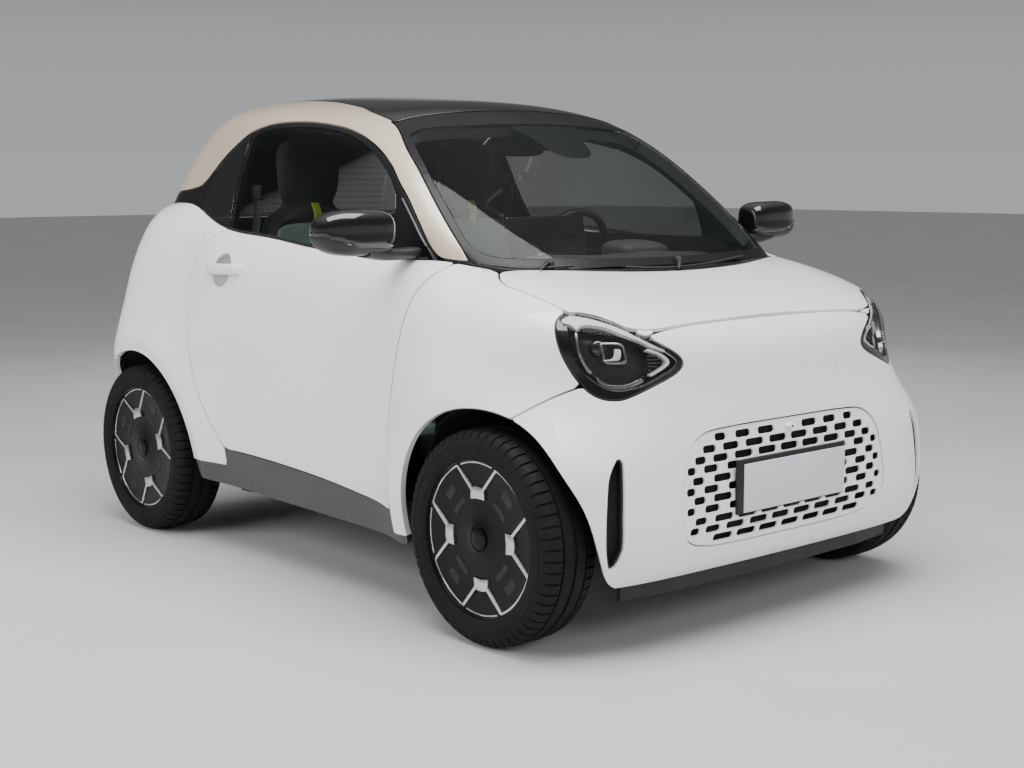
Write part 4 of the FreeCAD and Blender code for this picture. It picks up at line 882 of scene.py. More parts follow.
quarter_cut = loop([[(.413, .30), (.413, .357)], [(.413, .357), (.498, .477), (.569, .625), (.597, .708), (.615, .828), (.628, .90), (.622, .954), (.60, 1.008), (.572, 1.04), (.497, 1.077)],
                    [(.497, 1.077), (.50, 1.25)], [(.50, 1.25), (1.60, 1.25)], [(1.60, 1.25), (1.60, .614)], [(1.60, .614), (1.17, .614), (1.10, .60), (.95, .56)], [(.95, .56), (.95, .30)], [(.95, .30), (.413, .30)]],
                   [.003, .003, .003, .003, .003, .003, .003, .003])
quarter_reg = AND(R("X", quarter_cut), above_cell, NOT(R("X", arch_r)), NOT(R("Y", lamp_r, mir=True)), NOT(R("Y", loop([[(-.527, .4), (-.527, 1.3)], [(-.527, 1.3), (.527, 1.3)], [(.527, 1.3), (.527, .4)], [(.527, .4), (-.527, .4)]], .01))))
panel("rear_quarter_skins", rear, quarter_reg, M["white"], "body", "pearl_white", ["rear_quarters"], mirror=True, only=(.2, 1.2), depth=.016)
rear_low = loop([[(.95, .205), (1.60, .205)], [(1.60, .205), (1.60, .614)], [(1.60, .614), (1.17, .614), (1.10, .60), (.95, .56)], [(.95, .56), (.95, .205)]], .004)
panel("rear_bumper_skin", rear, AND(R("X", rear_low), NOT(R("X", arch_r)), NOT(R("Y", disc(.33, .30, .0225, 48)))), M["white"], "body", "pearl_white", ["rear_bumper"], depth=.016)
panel("tailgate_skin", rear, AND(R("Y", gate), OR(above_cell, H(2, .85)), H(1, .9, -1)), M["white"], "tailgate", "pearl_white", ["tailgate"], depth=.02)
# sills
sill_cut = loop([[(-.573, .205), (.44, .228), (.575, .236)], [(.575, .236), (.600, .300), (.578, .345)], [(.578, .345), (.45, .360), (.28, .357), (.10, .352), (-.15, .338), (-.35, .318), (-.513, .303), (-.573, .296)],
                 [(-.573, .296), (-.573, .205)]], .012)
V, N, Fc = cut_panel(side, AND(R("X", sill_cut), NOT(R("X", arch_f)), NOT(R("X", arch_r))), depth=.02, off=.004)
V2 = flip_x(V, N, Fc)
V, N, Fc, _ = join_geo([(V, N, Fc), V2])
put(make_mesh("sill_covers", V, Fc, N, [M["sill"]]), "body", ["sills"])

# ---------------------------------------------------------------- greenhouse
aperture = loop([[(-.650, .95), (-.604, 1.001), (-.577, 1.035)] + glass_front[1:], [(.548, 1.405), (.557, 1.372), (.549, 1.326), (.543, 1.273), (.538, 1.217), (.524, 1.152), (.505, 1.085), (.505, .95)], [(.505, .95), (-.650, .95)]], [.012, .004, .004])
window = loop([window_pts, [(.530, 1.376), (.526, 1.326), (.521, 1.273), (.516, 1.217), (.502, 1.152), (.484, 1.085), (.478, 1.050)], [(.478, 1.050), (.20, 1.030), (0, 1.018), (-.25, 1.000), (-.392, .990)], [(-.392, .990), (-.387, 1.090), (-.384, 1.176)]], [.014, .01, .01, .014])
quarter_o = loop([[(.40, 1.46), (.722, 1.46)], [(.722, 1.46), (.735, 1.30), (.764, 1.20), (.762, 1.13), (.72, 1.00)], [(.72, 1.00), (.40, .97)], [(.40, .97), (.40, 1.46)]], [.01, .02, .02, .02])
# black field round the side glass: from the door frame back over the quarter glass, down to the white belt
black_side = loop([[(-.705, .95), (-.700, 1.006), (-.640, 1.017), (-.600, 1.022), (-.577, 1.035)] + glass_front[1:] + [(.587, 1.391), (.626, 1.368), (.690, 1.327), (.742, 1.285), (.788, 1.242), (.826, 1.217)],
                   [(.826, 1.217), (.90, 1.205), (1.10, 1.190), (1.26, 1.175)], [(1.26, 1.175), (1.30, .95)], [(1.30, .95), (-.705, .95)]], [.012, .004, .004, .004])
cell_reg = AND(NOT(R("X", black_side)), OR(H(1, -.148, -1), NOT(R("Y", ws_out))), NOT(R("Z", roof_out)), OR(H(1, .985), NOT(R("Y", rg_out))), F(lower, -.012, -1))
panel("cell_skin", canopy, cell_reg, M["champagne"], "body", "champagne", ["safety_cell"])
panel("roof_skin", canopy, AND(R("Z", roof_out), H(2, 1.25, -1)), M["gloss_black"], "body", "gloss_black", ["roof_panel"])

ws_in = loop([[(-.598, 1.040), (-.603, 1.075), (-.589, 1.143), (-.565, 1.234), (-.532, 1.317), (-.500, 1.378)],
              [(-.500, 1.378), (-.44, 1.396), (-.25, 1.408), (0, 1.414), (.25, 1.408), (.44, 1.396), (.500, 1.378)],
              [(.500, 1.378), (.532, 1.317), (.565, 1.234), (.589, 1.143), (.603, 1.075), (.598, 1.040)],
              [(.598, 1.040), (.56, 1.028), (.3, 1.020), (0, 1.016), (-.3, 1.020), (-.56, 1.028), (-.598, 1.040)]], .02)
front_side = H(1, -.148)
panel("windscreen_band", canopy, AND(R("Y", ws_out), NOT(R("Y", ws_in)), front_side, NOT(R("Z", roof_out)), NOT(R("X", black_side)), F(lower, -.03, -1)), M["band"], "body", "gloss_black", [], off=.0015, r=.001, gap=.003, depth=.004)
panel("windscreen_pane", canopy, AND(R("Y", ws_in), front_side), M["screen"], "body", "glass", ["windscreen"], off=.0015, r=.0004, gap=-.001, depth=0)
rear_side_h = H(1, .985, -1)
rg_in = loop([[(-.50, 1.095), (-.425, 1.385)], [(-.425, 1.385), (.425, 1.385)], [(.425, 1.385), (.50, 1.095)], [(.50, 1.095), (-.50, 1.095)]], .03)
panel("rear_window_band", canopy, AND(R("Y", rg_out), NOT(R("Y", rg_in)), rear_side_h), M["band"], "rear_window", "gloss_black", [], off=.002, r=.001, depth=.006)
panel("rear_window_pane", canopy, AND(R("Y", rg_in), rear_side_h), M["glass_dark"], "rear_window", "glass", ["rear_window"], off=.002, r=.0004, gap=-.001, depth=0)

door_frame_reg = AND(R("X", aperture), NOT(R("X", window)), F(lower, -.030, -1), H(1, .575))
door_glass_reg = AND(R("X", window), F(lower, -.012, -1))
frame_half = AND(R("X", black_side), NOT(R("X", aperture)), NOT(R("X", quarter_o)), F(lower, -.012, -1), OR(H(1, .985), NOT(R("Y", rg_out))))
for sd, sx in (("left", 1), ("right", -1)):
    V, N, Fc = cut_panel(canopy_fine, door_frame_reg, only=(.3, 1.2), off=.002, depth=.02)
    g = cut_panel(canopy_fine, door_glass_reg, only=(.3, 1.2), off=.0045, gap=-.001, r=.0004, depth=0)
    if sx < 0:
        V, N, Fc = flip_x(V, N, Fc)
        g = flip_x(*g)
    put(make_mesh("door_frame_" + sd, V, Fc, N, [M["band"]]), "door_" + sd)
    put(make_mesh("door_pane_" + sd, g[0], g[2], g[1], [M["glass"]]), "door_" + sd, ["door_glass_" + sd])
panel("side_bands", canopy_fine, frame_half, M["band"], "body", "gloss_black", [], mirror=True, only=(.3, 1.2), off=.002)
panel("quarter_panes", canopy_fine, AND(R("X", quarter_o), R("X", black_side), NOT(R("X", aperture)), F(lower, -.012, -1)), M["glass_dark"], "body", "glass", ["quarter_windows"], mirror=True, only=(.3, 1.2), off=.002, gap=.0015, r=.0008, depth=.004)

# ---------------------------------------------------------------- small shapes
def to_geo(V, Fc, mat=0):
    return (np.asarray(V, float), [list(map(int, f)) for f in Fc], mat)


def solid(name, geos, mats, body="body", replaces=(), angle=38, mirror=False):
    """Joined mesh from plain geometry, with its edges sharp past an angle."""
    V, Fc, Mi = [], [], []
    o = 0
    todo = list(geos)
    if mirror:
        todo += [flipped(g) for g in geos]
    for g in todo:
        V.append(g[0])
        Fc += [[i + o for i in f] for f in g[1]]
        Mi += [g[2]] * len(g[1])
        o += len(g[0])
    ob = make_mesh(name, np.vstack(V), Fc, None, mats, Mi)
    ob.data.set_sharp_from_angle(angle=math.radians(angle))
    return put(ob, body, replaces)


def flipped(g):
    V = g[0].copy()
    V[:, 0] *= -1
    return (V, [f[::-1] for f in g[1]], g[2])


def moved(g, mt):
    V = g[0] @ np.array(mt)[:3, :3].T + np.array(mt)[:3, 3]
    return (V, g[1], g[2])


def rings_geo(rings, closed_ring=True, closed_path=False, caps=True, mat=0):
    R_ = np.array(rings, float)
    n, m = R_.shape[:2]
    V = R_.reshape(-1, 3)
    Fc = []
    for i in range(n if closed_path else n - 1):
        a, b = i * m, ((i + 1) % n) * m
        for j in range(m if closed_ring else m - 1):
            k = (j + 1) % m
            Fc.append([a + j, a + k, b + k, b + j])
    if caps and not closed_path and closed_ring:
        Fc.append(list(range(m))[::-1])
        Fc.append([(n - 1) * m + j for j in range(m)])
    return to_geo(V, Fc, mat)


def tube(path, r, n=10, closed_path=False, flat=1.0, up=None, mat=0):
    """Round or flattened tube along a path; r may change along it."""
    p = np.array(path, float)
    t = np.roll(p, -1, 0) - np.roll(p, 1, 0)
    if not closed_path:
        t[0], t[-1] = p[1] - p[0], p[-1] - p[-2]
    t /= np.maximum(np.linalg.norm(t, axis=1, keepdims=True), 1e-9)
    rr = np.full(len(p), r, float) if np.isscalar(r) else np.array(r, float)
    u = np.array(up if up is not None else ((0, 0, 1) if abs(t[0, 2]) < .9 else (1, 0, 0)), float)
    rings = []
    for i in range(len(p)):
        a = u - t[i] * (u @ t[i])
        a /= np.linalg.norm(a)
        if up is None:
            u = a
        b = np.cross(t[i], a)
        an = np.linspace(0, 2 * math.pi, n, endpoint=False)
        rings.append(p[i] + rr[i] * (np.cos(an)[:, None] * b + flat * np.sin(an)[:, None] * a))
    return rings_geo(rings, True, closed_path, True, mat)


def lathe(prof, n=96, mat=0, closed_prof=False):
    """Surface of revolution about the X axis from (x, radius) points."""
    an = np.linspace(0, 2 * math.pi, n, endpoint=False)
    rings = [[(x, r * math.cos(a), r * math.sin(a)) for x, r in prof] for a in an]
    return rings_geo(rings, closed_prof, True, False, mat)


def rbox(size, at=(0, 0, 0), r=.004, seg=3, mat=0, taper=None):
    """Box with rounded edges."""
    bm = bmesh.new()
    bmesh.ops.create_cube(bm, size=1)
    for v in bm.verts:
        v.co = Vector((v.co.x * size[0], v.co.y * size[1], v.co.z * size[2]))
    bmesh.ops.bevel(bm, geom=bm.edges[:], offset=min(r, min(size) * .49), segments=seg, profile=.5, affect="EDGES")
    bm.verts.index_update()
    V = np.array([v.co[:] for v in bm.verts]) + np.array(at)
    Fc = [[v.index for v in f.verts] for f in bm.faces]
    bm.free()
    return to_geo(V, Fc, mat)


def relief(poly, x0, x1, r=.001, mat=0):
    """Flat piece standing on a plane: outline in (y, z), from height x0 to x1 along X, its top edge rounded."""
    p = np.array(poly, float)
    area = .5 * np.sum(p[:, 0] * np.roll(p[:, 1], -1) - np.roll(p[:, 0], -1) * p[:, 1])
    if area < 0:
        p = p[::-1]
    rows = [(0, x0), (0, x1 - r), (r * .3, x1 - r * .3), (r, x1)]
    V, m = [], len(p)
    for d, x in rows:
        q = inset(p, d) if d else p
        V += [(x, a, b) for a, b in q]
    Fc = []
    for k in range(len(rows) - 1):
        for j in range(m):
            i = (j + 1) % m
            Fc.append([k * m + j, k * m + i, (k + 1) * m + i, (k + 1) * m + j])
    Fc.append([(len(rows) - 1) * m + j for j in range(m)])
    return to_geo(V, Fc, mat)


def fine_patch(f, x0, x1, z0, z1, step, sign=-1, y_in=-.90):
    """Close grid of level rays along Y."""
    xs, zs = np.arange(x0, x1 + step, step), np.arange(z0, z1 + step, step)
    O = np.empty((len(xs), len(zs), 3))
    O[..., 0], O[..., 2] = np.meshgrid(xs, zs, indexing="ij")
    O[..., 1] = y_in
    D = np.zeros(O.shape)
    D[..., 1] = sign
    return Patch(f, O, D)


def on_front(pts, off):
    """Points of the nose surface for (x, z), set back by off."""
    q = np.array(pts, float)
    O = np.stack([q[:, 0], np.full(len(q), -.90), q[:, 1]], 1)
    D = np.zeros(O.shape)
    D[:, 1] = -1
    f = lambda P: lower(P) + off
    return O + D * root(f, O, D)[:, None]


def rounded_rects(axis, rects, mir=True):
    """Region of many rounded rectangles (centre a, centre b, half a, half b, corner)."""
    ia, ib = {"X": (1, 2), "Y": (0, 2)}[axis]

    def fun(P):
        a, b = P[:, ia], P[:, ib]
        sx = np.where(a < 0, -1.0, 1.0) if mir else np.ones(len(a))
        a = np.abs(a) if mir else a
        S = np.full(len(P), 9.0)
        G = np.zeros((len(P), 3))
        for ca, cb, ha, hb, r in rects:
            qa, qb = a - ca, b - cb
            da, db = np.abs(qa) - (ha - r), np.abs(qb) - (hb - r)
            oa, ob = np.maximum(da, 0), np.maximum(db, 0)
            L = np.hypot(oa, ob)
            d = L + np.minimum(np.maximum(da, db), 0) - r
            w = d < S
            out = L > 1e-9
            ga = np.where(out, oa / np.maximum(L, 1e-9), (da >= db).astype(float)) * np.sign(qa)
            gb = np.where(out, ob / np.maximum(L, 1e-9), (da < db).astype(float)) * np.sign(qb)
            S = np.where(w, d, S)
            G[:, ia] = np.where(w, ga * sx, G[:, ia])
            G[:, ib] = np.where(w, gb, G[:, ib])
        return S, G
    fun.bounds = None
    return fun


def geo3(g, mat=0):
    return (g[0], g[1], g[2], mat)


def shaped(name, geos, mats, body="body", replaces=(), mirror=False):
    """Joined mesh from cut panels, which carry their own normals."""
    todo = list(geos)
    if mirror:
        todo += [flip_x(g[0], g[1], g[2]) + (g[3],) for g in geos]
    V, N, Fc, Mi = join_geo(todo)
    return put(make_mesh(name, V, Fc, N, mats, Mi), body, replaces)


# ---------------------------------------------------------------- headlamps
lamp_patch = fine_patch(lower, .375, .70, .665, .915, .0026)
lamp_in = closed([(.6615, .8696), (.6603, .859), (.6658, .8421), (.6671, .8224), (.6654, .8001), (.6605, .7801), (.6534, .760), (.6425, .740),
                  (.6306, .7275), (.6199, .7174), (.6041, .7095), (.5866, .7052), (.5672, .7056), (.5408, .7093), (.5125, .7153), (.4822, .7261),
                  (.4504, .7393), (.4239, .7504), (.4096, .7623), (.4089, .7725), (.4223, .7849), (.4365, .802), (.4566, .812), (.4879, .8298),
                  (.5185, .8494), (.5445, .8671), (.5685, .8797), (.5875, .8872), (.6083, .8934), (.6273, .897), (.6467, .8914), (.6600, .882)], 3)
drl = closed([(.6610, .8809), (.6467, .8914), (.6273, .8965), (.6083, .8934), (.5875, .8872), (.5685, .8797), (.5445, .8671), (.5185, .8494),
              (.4879, .8298), (.4566, .812), (.4365, .802), (.4358, .7969), (.4536, .803), (.4806, .8133), (.5013, .8268), (.5259, .8389),
              (.5481, .8507), (.5654, .862), (.5801, .8684), (.604, .8737), (.6192, .874), (.633, .8694), (.6439, .8612), (.6449, .866),
              (.6478, .8741), (.6577, .8787)], 3)
fin = closed([(.6461, .8605), (.6465, .851), (.6518, .8291), (.6525, .8094), (.6487, .7845), (.6414, .7644), (.6339, .753), (.6372, .748),
              (.6426, .7505), (.650, .7693), (.6566, .7919), (.6586, .8143), (.656, .834), (.6519, .8509)], 3)
low_strip = closed([(.6283, .7417), (.6173, .7315), (.6058, .7225), (.5838, .718), (.5644, .7185), (.5434, .7225), (.5209, .7302), (.507, .7294),
                    (.5091, .7231), (.5338, .7144), (.5607, .7095), (.5851, .7093), (.6049, .7137), (.6186, .7215), (.6271, .7341)], 3)
vee = closed([(.4881, .8096), (.4702, .8048), (.4485, .7948), (.4268, .7782), (.4257, .7653), (.4432, .7536), (.4691, .7425), (.4877, .736),
              (.4903, .740), (.4716, .7478), (.4488, .7591), (.4365, .7686), (.4411, .7791), (.4587, .7916), (.4807, .8004), (.4912, .8048)], 3)
# a pale L-shaped piece inside the projector bezel, placed where a highlight shows: a painted highlight
ell_highlight = [(.5715, .8174), (.5553, .8143), (.5571, .8008), (.5616, .7873), (.5671, .7824), (.5864, .7806), (.6063, .7806), (.608, .7831), (.5878, .7856), (.5791, .7916), (.5737, .8064)]
proj = [(x, z) for x, z in loop([[(.546, .776), (.602, .776)], [(.602, .776), (.602, .834)], [(.602, .834), (.546, .834)], [(.546, .834), (.546, .776)]], .012)]
cut = lambda reg, **k: cut_panel(lamp_patch, reg, **k)
geos = [geo3(cut(AND(R("Y", lamp), NOT(R("Y", lamp_in))), gap=.003, r=.0016, depth=.014, off=.001), 0),
        geo3(cut(R("Y", lamp_in), gap=-.004, r=.0005, depth=0, off=.050), 1),
        geo3(cut(AND(R("Y", lamp_in, grow=.002), NOT(R("Y", lamp_in))), gap=0, r=.0004, depth=.048, off=.002), 1),
        geo3(cut(R("Y", drl), gap=0, r=.0014, depth=.010, off=.006), 2),
        geo3(cut(R("Y", fin), gap=0, r=.0012, depth=.012, off=.012), 3),
        geo3(cut(R("Y", low_strip), gap=0, r=.0012, depth=.012, off=.012), 3),
        geo3(cut(R("Y", vee), gap=0, r=.0012, depth=.014, off=.010), 2),
        # the L-shaped piece in the pale light-guide material: painted highlight
        geo3(cut(R("Y", np.array(ell_highlight)), gap=0, r=.001, depth=.006, off=.026), 2),
        geo3(cut(AND(R("Y", proj, grow=.004), NOT(R("Y", proj, grow=-.002))), gap=0, r=.001, depth=.02, off=.028), 3),
        geo3(cut(AND(R("Y", lamp_in, grow=-.010), NOT(OR(R("Y", lamp_in, grow=-.016), R("Y", drl, grow=.004)))), gap=0, r=.0008, depth=.006, off=.034), 4)]
M["lamp_silver"] = metal("lamp_silver", (.70, .71, .74), .22, None, .06)
M["lamp_bar"] = metal("lamp_smoke_bar", (.16, .165, .17), .25, None, .1)
M["lamp_bowl"] = plastic("lamp_bowl", (.020, .021, .023), .30, 300, .04, .12, .35)
M["light_bar"] = plastic("light_guide", (.74, .76, .79), .16, 260, .05, .05)
shaped("headlamp_inner", geos, [M["gloss_black"], M["lamp_bowl"], M["light_bar"], M["lamp_silver"], M["lamp_bar"]], "body", [], mirror=True)
wire = on_front([(.6573, .868), (.6603, .859), (.6658, .8421), (.6671, .8224), (.6654, .8001), (.6605, .7801), (.6534, .760), (.6425, .740), (.6306, .7275),
                 (.6199, .7174), (.6041, .7095), (.5866, .7052), (.5672, .7056), (.5408, .7093), (.5125, .7153), (.4822, .7261), (.4504, .7393),
                 (.4239, .7504), (.4096, .7623), (.4089, .7725), (.4223, .7849), (.4389, .7961)], .004)
wire = np.stack([Curve(np.arange(len(wire)), wire[:, k])(np.linspace(0, len(wire) - 1, 90)) for k in range(3)], 1)
g = [tube(wire, .0014, 6, mat=0)]
for z, xr in ((.7955, .450), (.7865, .437), (.7775, .430), (.7688, .431), (.7600, .447), (.751, .466)):
    a = on_front([(.482, z), ((.482 + xr) / 2, z - .0012), (xr + .006, z - .0026)], .020)
    g.append(tube(a, .0022, 6, mat=1))
dome_c = on_front([(.574, .805)], .058)[0]
u_ = np.array([.30, -.95, .0]) / np.linalg.norm([.30, -.95, 0])
v_ = np.cross(u_, (0, 0, 1.0))
rings = []
for k in range(9):
    a = math.radians(84 * (1 - k / 8))
    rr, h = .027 * math.sin(a), .018 * math.cos(a)
    rings.append([dome_c + u_ * (h + .010) + rr * (math.cos(t) * v_ + math.sin(t) * np.array([0, 0, 1.0])) for t in np.linspace(0, 2 * math.pi, 32, endpoint=False)])
g.append(rings_geo(rings, mat=2))
dot = on_front([(.5286, .7871)], .030)[0]
g.append(rbox((.010, .008, .007), dot, .002, 2, 1))
solid("headlamp_details", g, [M["lamp_silver"], M["lamp_bar"], M["glass_dark"]], "body", mirror=True)
lens_g = cut(R("Y", lamp_in), gap=-.002, r=.0004, depth=0, off=.0004)
shaped("headlamp_lens", [geo3(lens_g)], [M["lens"]], "body", ["headlamps"], mirror=True)

# ---------------------------------------------------------------- grille
grille_patch = fine_patch(lower, -.452, .452, .255, .600, .0032)
SLOTS = [(.562, [(.0945, .066), (.190, .058), (.279, .042)]), (.534, [(.047, .072), (.145, .072), (.241, .062), (.325, .048)]),
         (.507, [(0, .073), (.095, .073), (.1925, .071), (.2845, .057), (.3615, .041)]),
         (.482, [(.236, .048), (.325, .053), (.398, .030)]), (.454, [(.282, .067), (.375, .042)]), (.428, [(.236, .048), (.328, .055), (.405, .031)]),
         (.402, [(.285, .070), (.374, .042)]), (.376, [(.236, .048), (.328, .054), (.408, .029)]),
         (.346, [(0, .075), (.094, .075), (.189, .073), (.282, .071), (.371, .043)]), (.320, [(.047, .073), (.140, .072), (.236, .070), (.325, .054), (.393, .032)]),
         (.292, [(0, .075), (.0945, .075), (.187, .075), (.281, .075)])]
rects = [(x, z, w / 2, .0092, .0075) for z, row in SLOTS for x, w in row]
g1 = cut_panel(grille_patch, AND(R("Y", grille), NOT(rounded_rects("Y", rects))), gap=.002, r=.0016, depth=.0045, off=.004)
g2 = cut_panel(grille_patch, R("Y", grille, grow=-.002), gap=0, r=.0005, depth=0, off=.024)
shaped("grille_panel", [geo3(g1, 0), geo3(g2, 1)], [M["white"], M["dark"]], "body", ["front_grille"])
py = front_y(0.0, .42)
pz = .4165
g = [rbox((.466, .012, .150), (-.008, py - .006, pz + .004), .004, 3, 0), rbox((.440, .005, .133), (0, py - .0145, pz), .0022, 3, 1)]
b0 = on_front([(0, .562)], -.002)[0]
rr = []
for k in range(8):
    a = math.radians(90 * k / 7)
    rr.append([(b0[0] + .017 * math.cos(a) * math.cos(t), b0[1] + .006 - .016 * math.sin(a), b0[2] + .010 * math.cos(a) * math.sin(t)) for t in np.linspace(0, 2 * math.pi, 28, endpoint=False)])
g.append(rings_geo(rr, mat=2))
g.append(rbox((.008, .004, .006), (b0[0], b0[1] - .009, b0[2]), .0015, 2, 3))
solid("plate_and_carrier", g, [M["trim"], M["plate"], M["white"], M["gloss_black"]], "body", ["front_plate"])
# corner air slots
slot_patch = fine_patch(lower, .600, .705, .235, .560, .003)
g3 = cut_panel(slot_patch, R("Y", slot_o, grow=.010), gap=0, r=.0005, depth=0, off=.030)
g4 = cut_panel(slot_patch, AND(R("Y", slot_o, grow=.004), NOT(R("Y", slot_o, grow=-.0035))), gap=0, r=.0008, depth=.028, off=.010)
shaped("corner_slot_liners", [geo3(g3, 0), geo3(g4, 1)], [M["dark"], M["trim"]], "body", ["corner_vents"], mirror=True)

# ---------------------------------------------------------------- tail lamps
tl_patch = fine_patch(lower, .530, .695, .845, 1.060, .0032, sign=1, y_in=.90)


def bulge(geo, amp, rim, inner=0.0):
    V, N, Fc = geo
    s_ = poly_sd(lamp_r, V[:, [0, 2]])[0]
    t = np.clip(-s_ / rim, 0, 1)
    h = amp * np.sqrt(np.clip(1 - (1 - t) ** 2, 0, 1))
    V = V.copy()
    V[:, 1] += np.where(N[:, 1] > .2, h, 0)
    return (V, auto_normals(V, Fc), Fc)


M["red_lens"] = paint("red_lens", (.30, .006, .008), 0.0, .10, 1.0, 0, .15)
M["clear_red"] = clear("red_outer_lens", (.22, .004, .006), .55, 1.9, .01, .35)
ring_o = bulge(cut_panel(tl_patch, AND(R("Y", lamp_r), NOT(R("Y", lamp_r, grow=-.012))), gap=.003, r=.002, depth=.014), .010, .026)
core = bulge(cut_panel(tl_patch, R("Y", lamp_r, grow=-.011), gap=0, r=.001, depth=.004), .011, .030)
halo = bulge(cut_panel(tl_patch, AND(R("Y", lamp_r, grow=-.022), NOT(R("Y", lamp_r, grow=-.034))), gap=0, r=.0015, depth=.004), .0125, .030)
shaped("tail_lamp_lenses", [ring_o + (0,), core + (1,), halo + (2,)], [M["gloss_black"], M["red_lens"], M["light_bar"]], "body", ["tail_lamps"], mirror=True)

# ---------------------------------------------------------------- wheels
def polar(r, deg, base=0.0):
    a = math.radians(base + deg)
    return (r * math.sin(a), r * math.cos(a))


def arc_band(r0, r1, a0, a1, base, n=18):
    aa = np.linspace(a0, a1, n)
    return [polar(r1, a, base) for a in aa] + [polar(r0, a, base) for a in aa[::-1]]


def strip2(p, q, w):
    p, q = np.array(p), np.array(q)
    d = (q - p) / np.linalg.norm(q - p)
    nn = np.array([-d[1], d[0]]) * w / 2
    return [tuple(p + nn), tuple(q + nn), tuple(q - nn), tuple(p - nn)]


def wheel_geo():
    """Rim in the wheel's own frame: X outward, centre at the origin."""
    g = []
    f0 = .0725
    g.append(lathe([(-.084, .2060), (-.084, .2155), (-.080, .2165), (-.074, .2080), (-.060, .1980), (.020, .1930), (.052, .1965)], 96, 1))
    prof = [(.084 - .004, .2168), (.0838, .2158), (.0842, .2145), (.0830, .2128), (.0790, .2118), (f0 + .0015, .2112), (f0 - .0005, .1990), (f0 - .0035, .160), (f0 - .0050, .110), (f0 - .0040, .060),
            (f0 - .001, .045), (f0 + .001, .036), (f0 - .002, .0335), (f0 - .002, .030), (f0 + .0035, .0295), (f0 + .0050, .026), (f0 + .0065, .012), (f0 + .0067, .0)]
    g.append(lathe(prof, 128, 0))
    g.append(lathe([(f0 - .006, .2112), (.052, .1965)], 96, 0))
    top = f0 + .0026
    for k in range(4):
        b = 90 * k
        g.append(relief(arc_band(.2035, .2105, 22.0, 68.0, b), f0 - .004, top, .0012, 2))
        g.append(relief(arc_band(.2040, .2100, -18.0, 18.0, b), f0 - .004, top - .0002, .0012, 2))
        for s_ in (1, -1):
            g.append(relief(strip2(polar(.1335, s_ * 9.3, b), polar(.2062, s_ * 22.3, b), .0095), f0 - .008, top - .0004, .0014, 2))
        g.append(relief([polar(.141, -10.8, b), polar(.1425, 0, b), polar(.141, 10.8, b), polar(.110, 15, b), polar(.1085, 0, b), polar(.110, -15, b)], f0 - .008, top - .0007, .0016, 2))
        g.append(relief(arc_band(.109, .125, -15, 15, b + 45, 12), f0 - .008, f0 - .0036, .0008, 3))
        g.append(relief(arc_band(.150, .190, -8, 8, b + 45, 10), f0 - .008, f0 - .0024, .0008, 3))
    return g


def tyre_geo():
    pitch, n = 60, 60
    frac = [0, .035, .165, .20, .47, .74]
    lat = [0, 1, 1, 0, 0, 0]
    W = .0925
    side = [(.0740, .2085), (.0800, .2150), (.0845, .2163), (.0872, .2195), (.0892, .2255), (.0893, .2262), (.0903, .2266), (.0915, .2320), (.0921, .2390), (.0925, .2470),
            (.0924, .2535), (.0934, .2539), (.0934, .2553), (.0921, .2557), (.0912, .2620), (.0899, .2660), (.0886, .2700)]
    sh = [(.0866, .2750), (.0835, .2805), (.0800, .2846), (.0755, .2880), (.0700, .2903)]
    tread = [(.0560, .2930), (.0435, .2942), (.0428, .2943), (.0372, .2947), (.0365, .2948), (.0230, .2952), (.0120, .2954), (.0060, .2955), (.0053, .2955)]
    prof = side + sh + tread
    gr = [0] * len(side) + [0] * len(sh) + [0, 0, 1, 1, 0, 0, 0, 0, 1]
    la = [0] * (len(side) - 2) + [.25, .7] + [1] * len(sh) + [1, 1, 1, 0, 0, 0, 0, 0, 0]
    full = prof + [(-x, r) for x, r in reversed(prof)]
    grf = gr + gr[::-1]
    laf = la + la[::-1]
    rings = []
    for k in range(pitch):
        for f_, l_ in zip(frac, lat):
            a = 2 * math.pi * (k + f_) / n
            ring = []
            for (x, r), c, l2 in zip(full, grf, laf):
                d = .0065 if c else .0058 * l2 * l_
                shift = .010 * (abs(x) / W) ** 2 if x > 0 else -.010 * (abs(x) / W) ** 2
                aa = a + shift * (1 if abs(x) < .07 else .5)
                ring.append((x, (r - d) * math.cos(aa), (r - d) * math.sin(aa)))
            rings.append(ring)
    return rings_geo(rings, False, True, False, 0)


RIM, TYRE = wheel_geo(), tyre_geo()
M["alloy_silver"] = metal("alloy_silver", (.66, .67, .69), .24, None, .05)
M["rim_black"] = plastic("rim_black", (.0045, .0045, .005), .24, 600, .02, .2, .16)
for end, tk, wy in (("front", .725, YF), ("rear", .705, YR)):
    for sd, sx in (("left", 1), ("right", -1)):
        mt = Matrix.Translation((sx * tk, wy, ZW)) @ (Matrix.Rotation(math.pi, 4, "Z") if sx < 0 else Matrix.Identity(4)) @ Matrix.Rotation(math.radians(3 if end == "front" else 17), 4, "X")
        body = "wheel_%s_%s" % (end, sd)
        solid("alloy_wheel_%s_%s" % (end, sd), [moved(g, mt) for g in RIM], [M["rim_black"], M["alloy"], M["alloy_silver"], M["trim"]], body, ["rim_%s_%s" % (end, sd)], 30)
        solid("treaded_tyre_%s_%s" % (end, sd), [moved(TYRE, mt)], [M["tyre"]], body, ["tyre_%s_%s" % (end, sd)], 32)

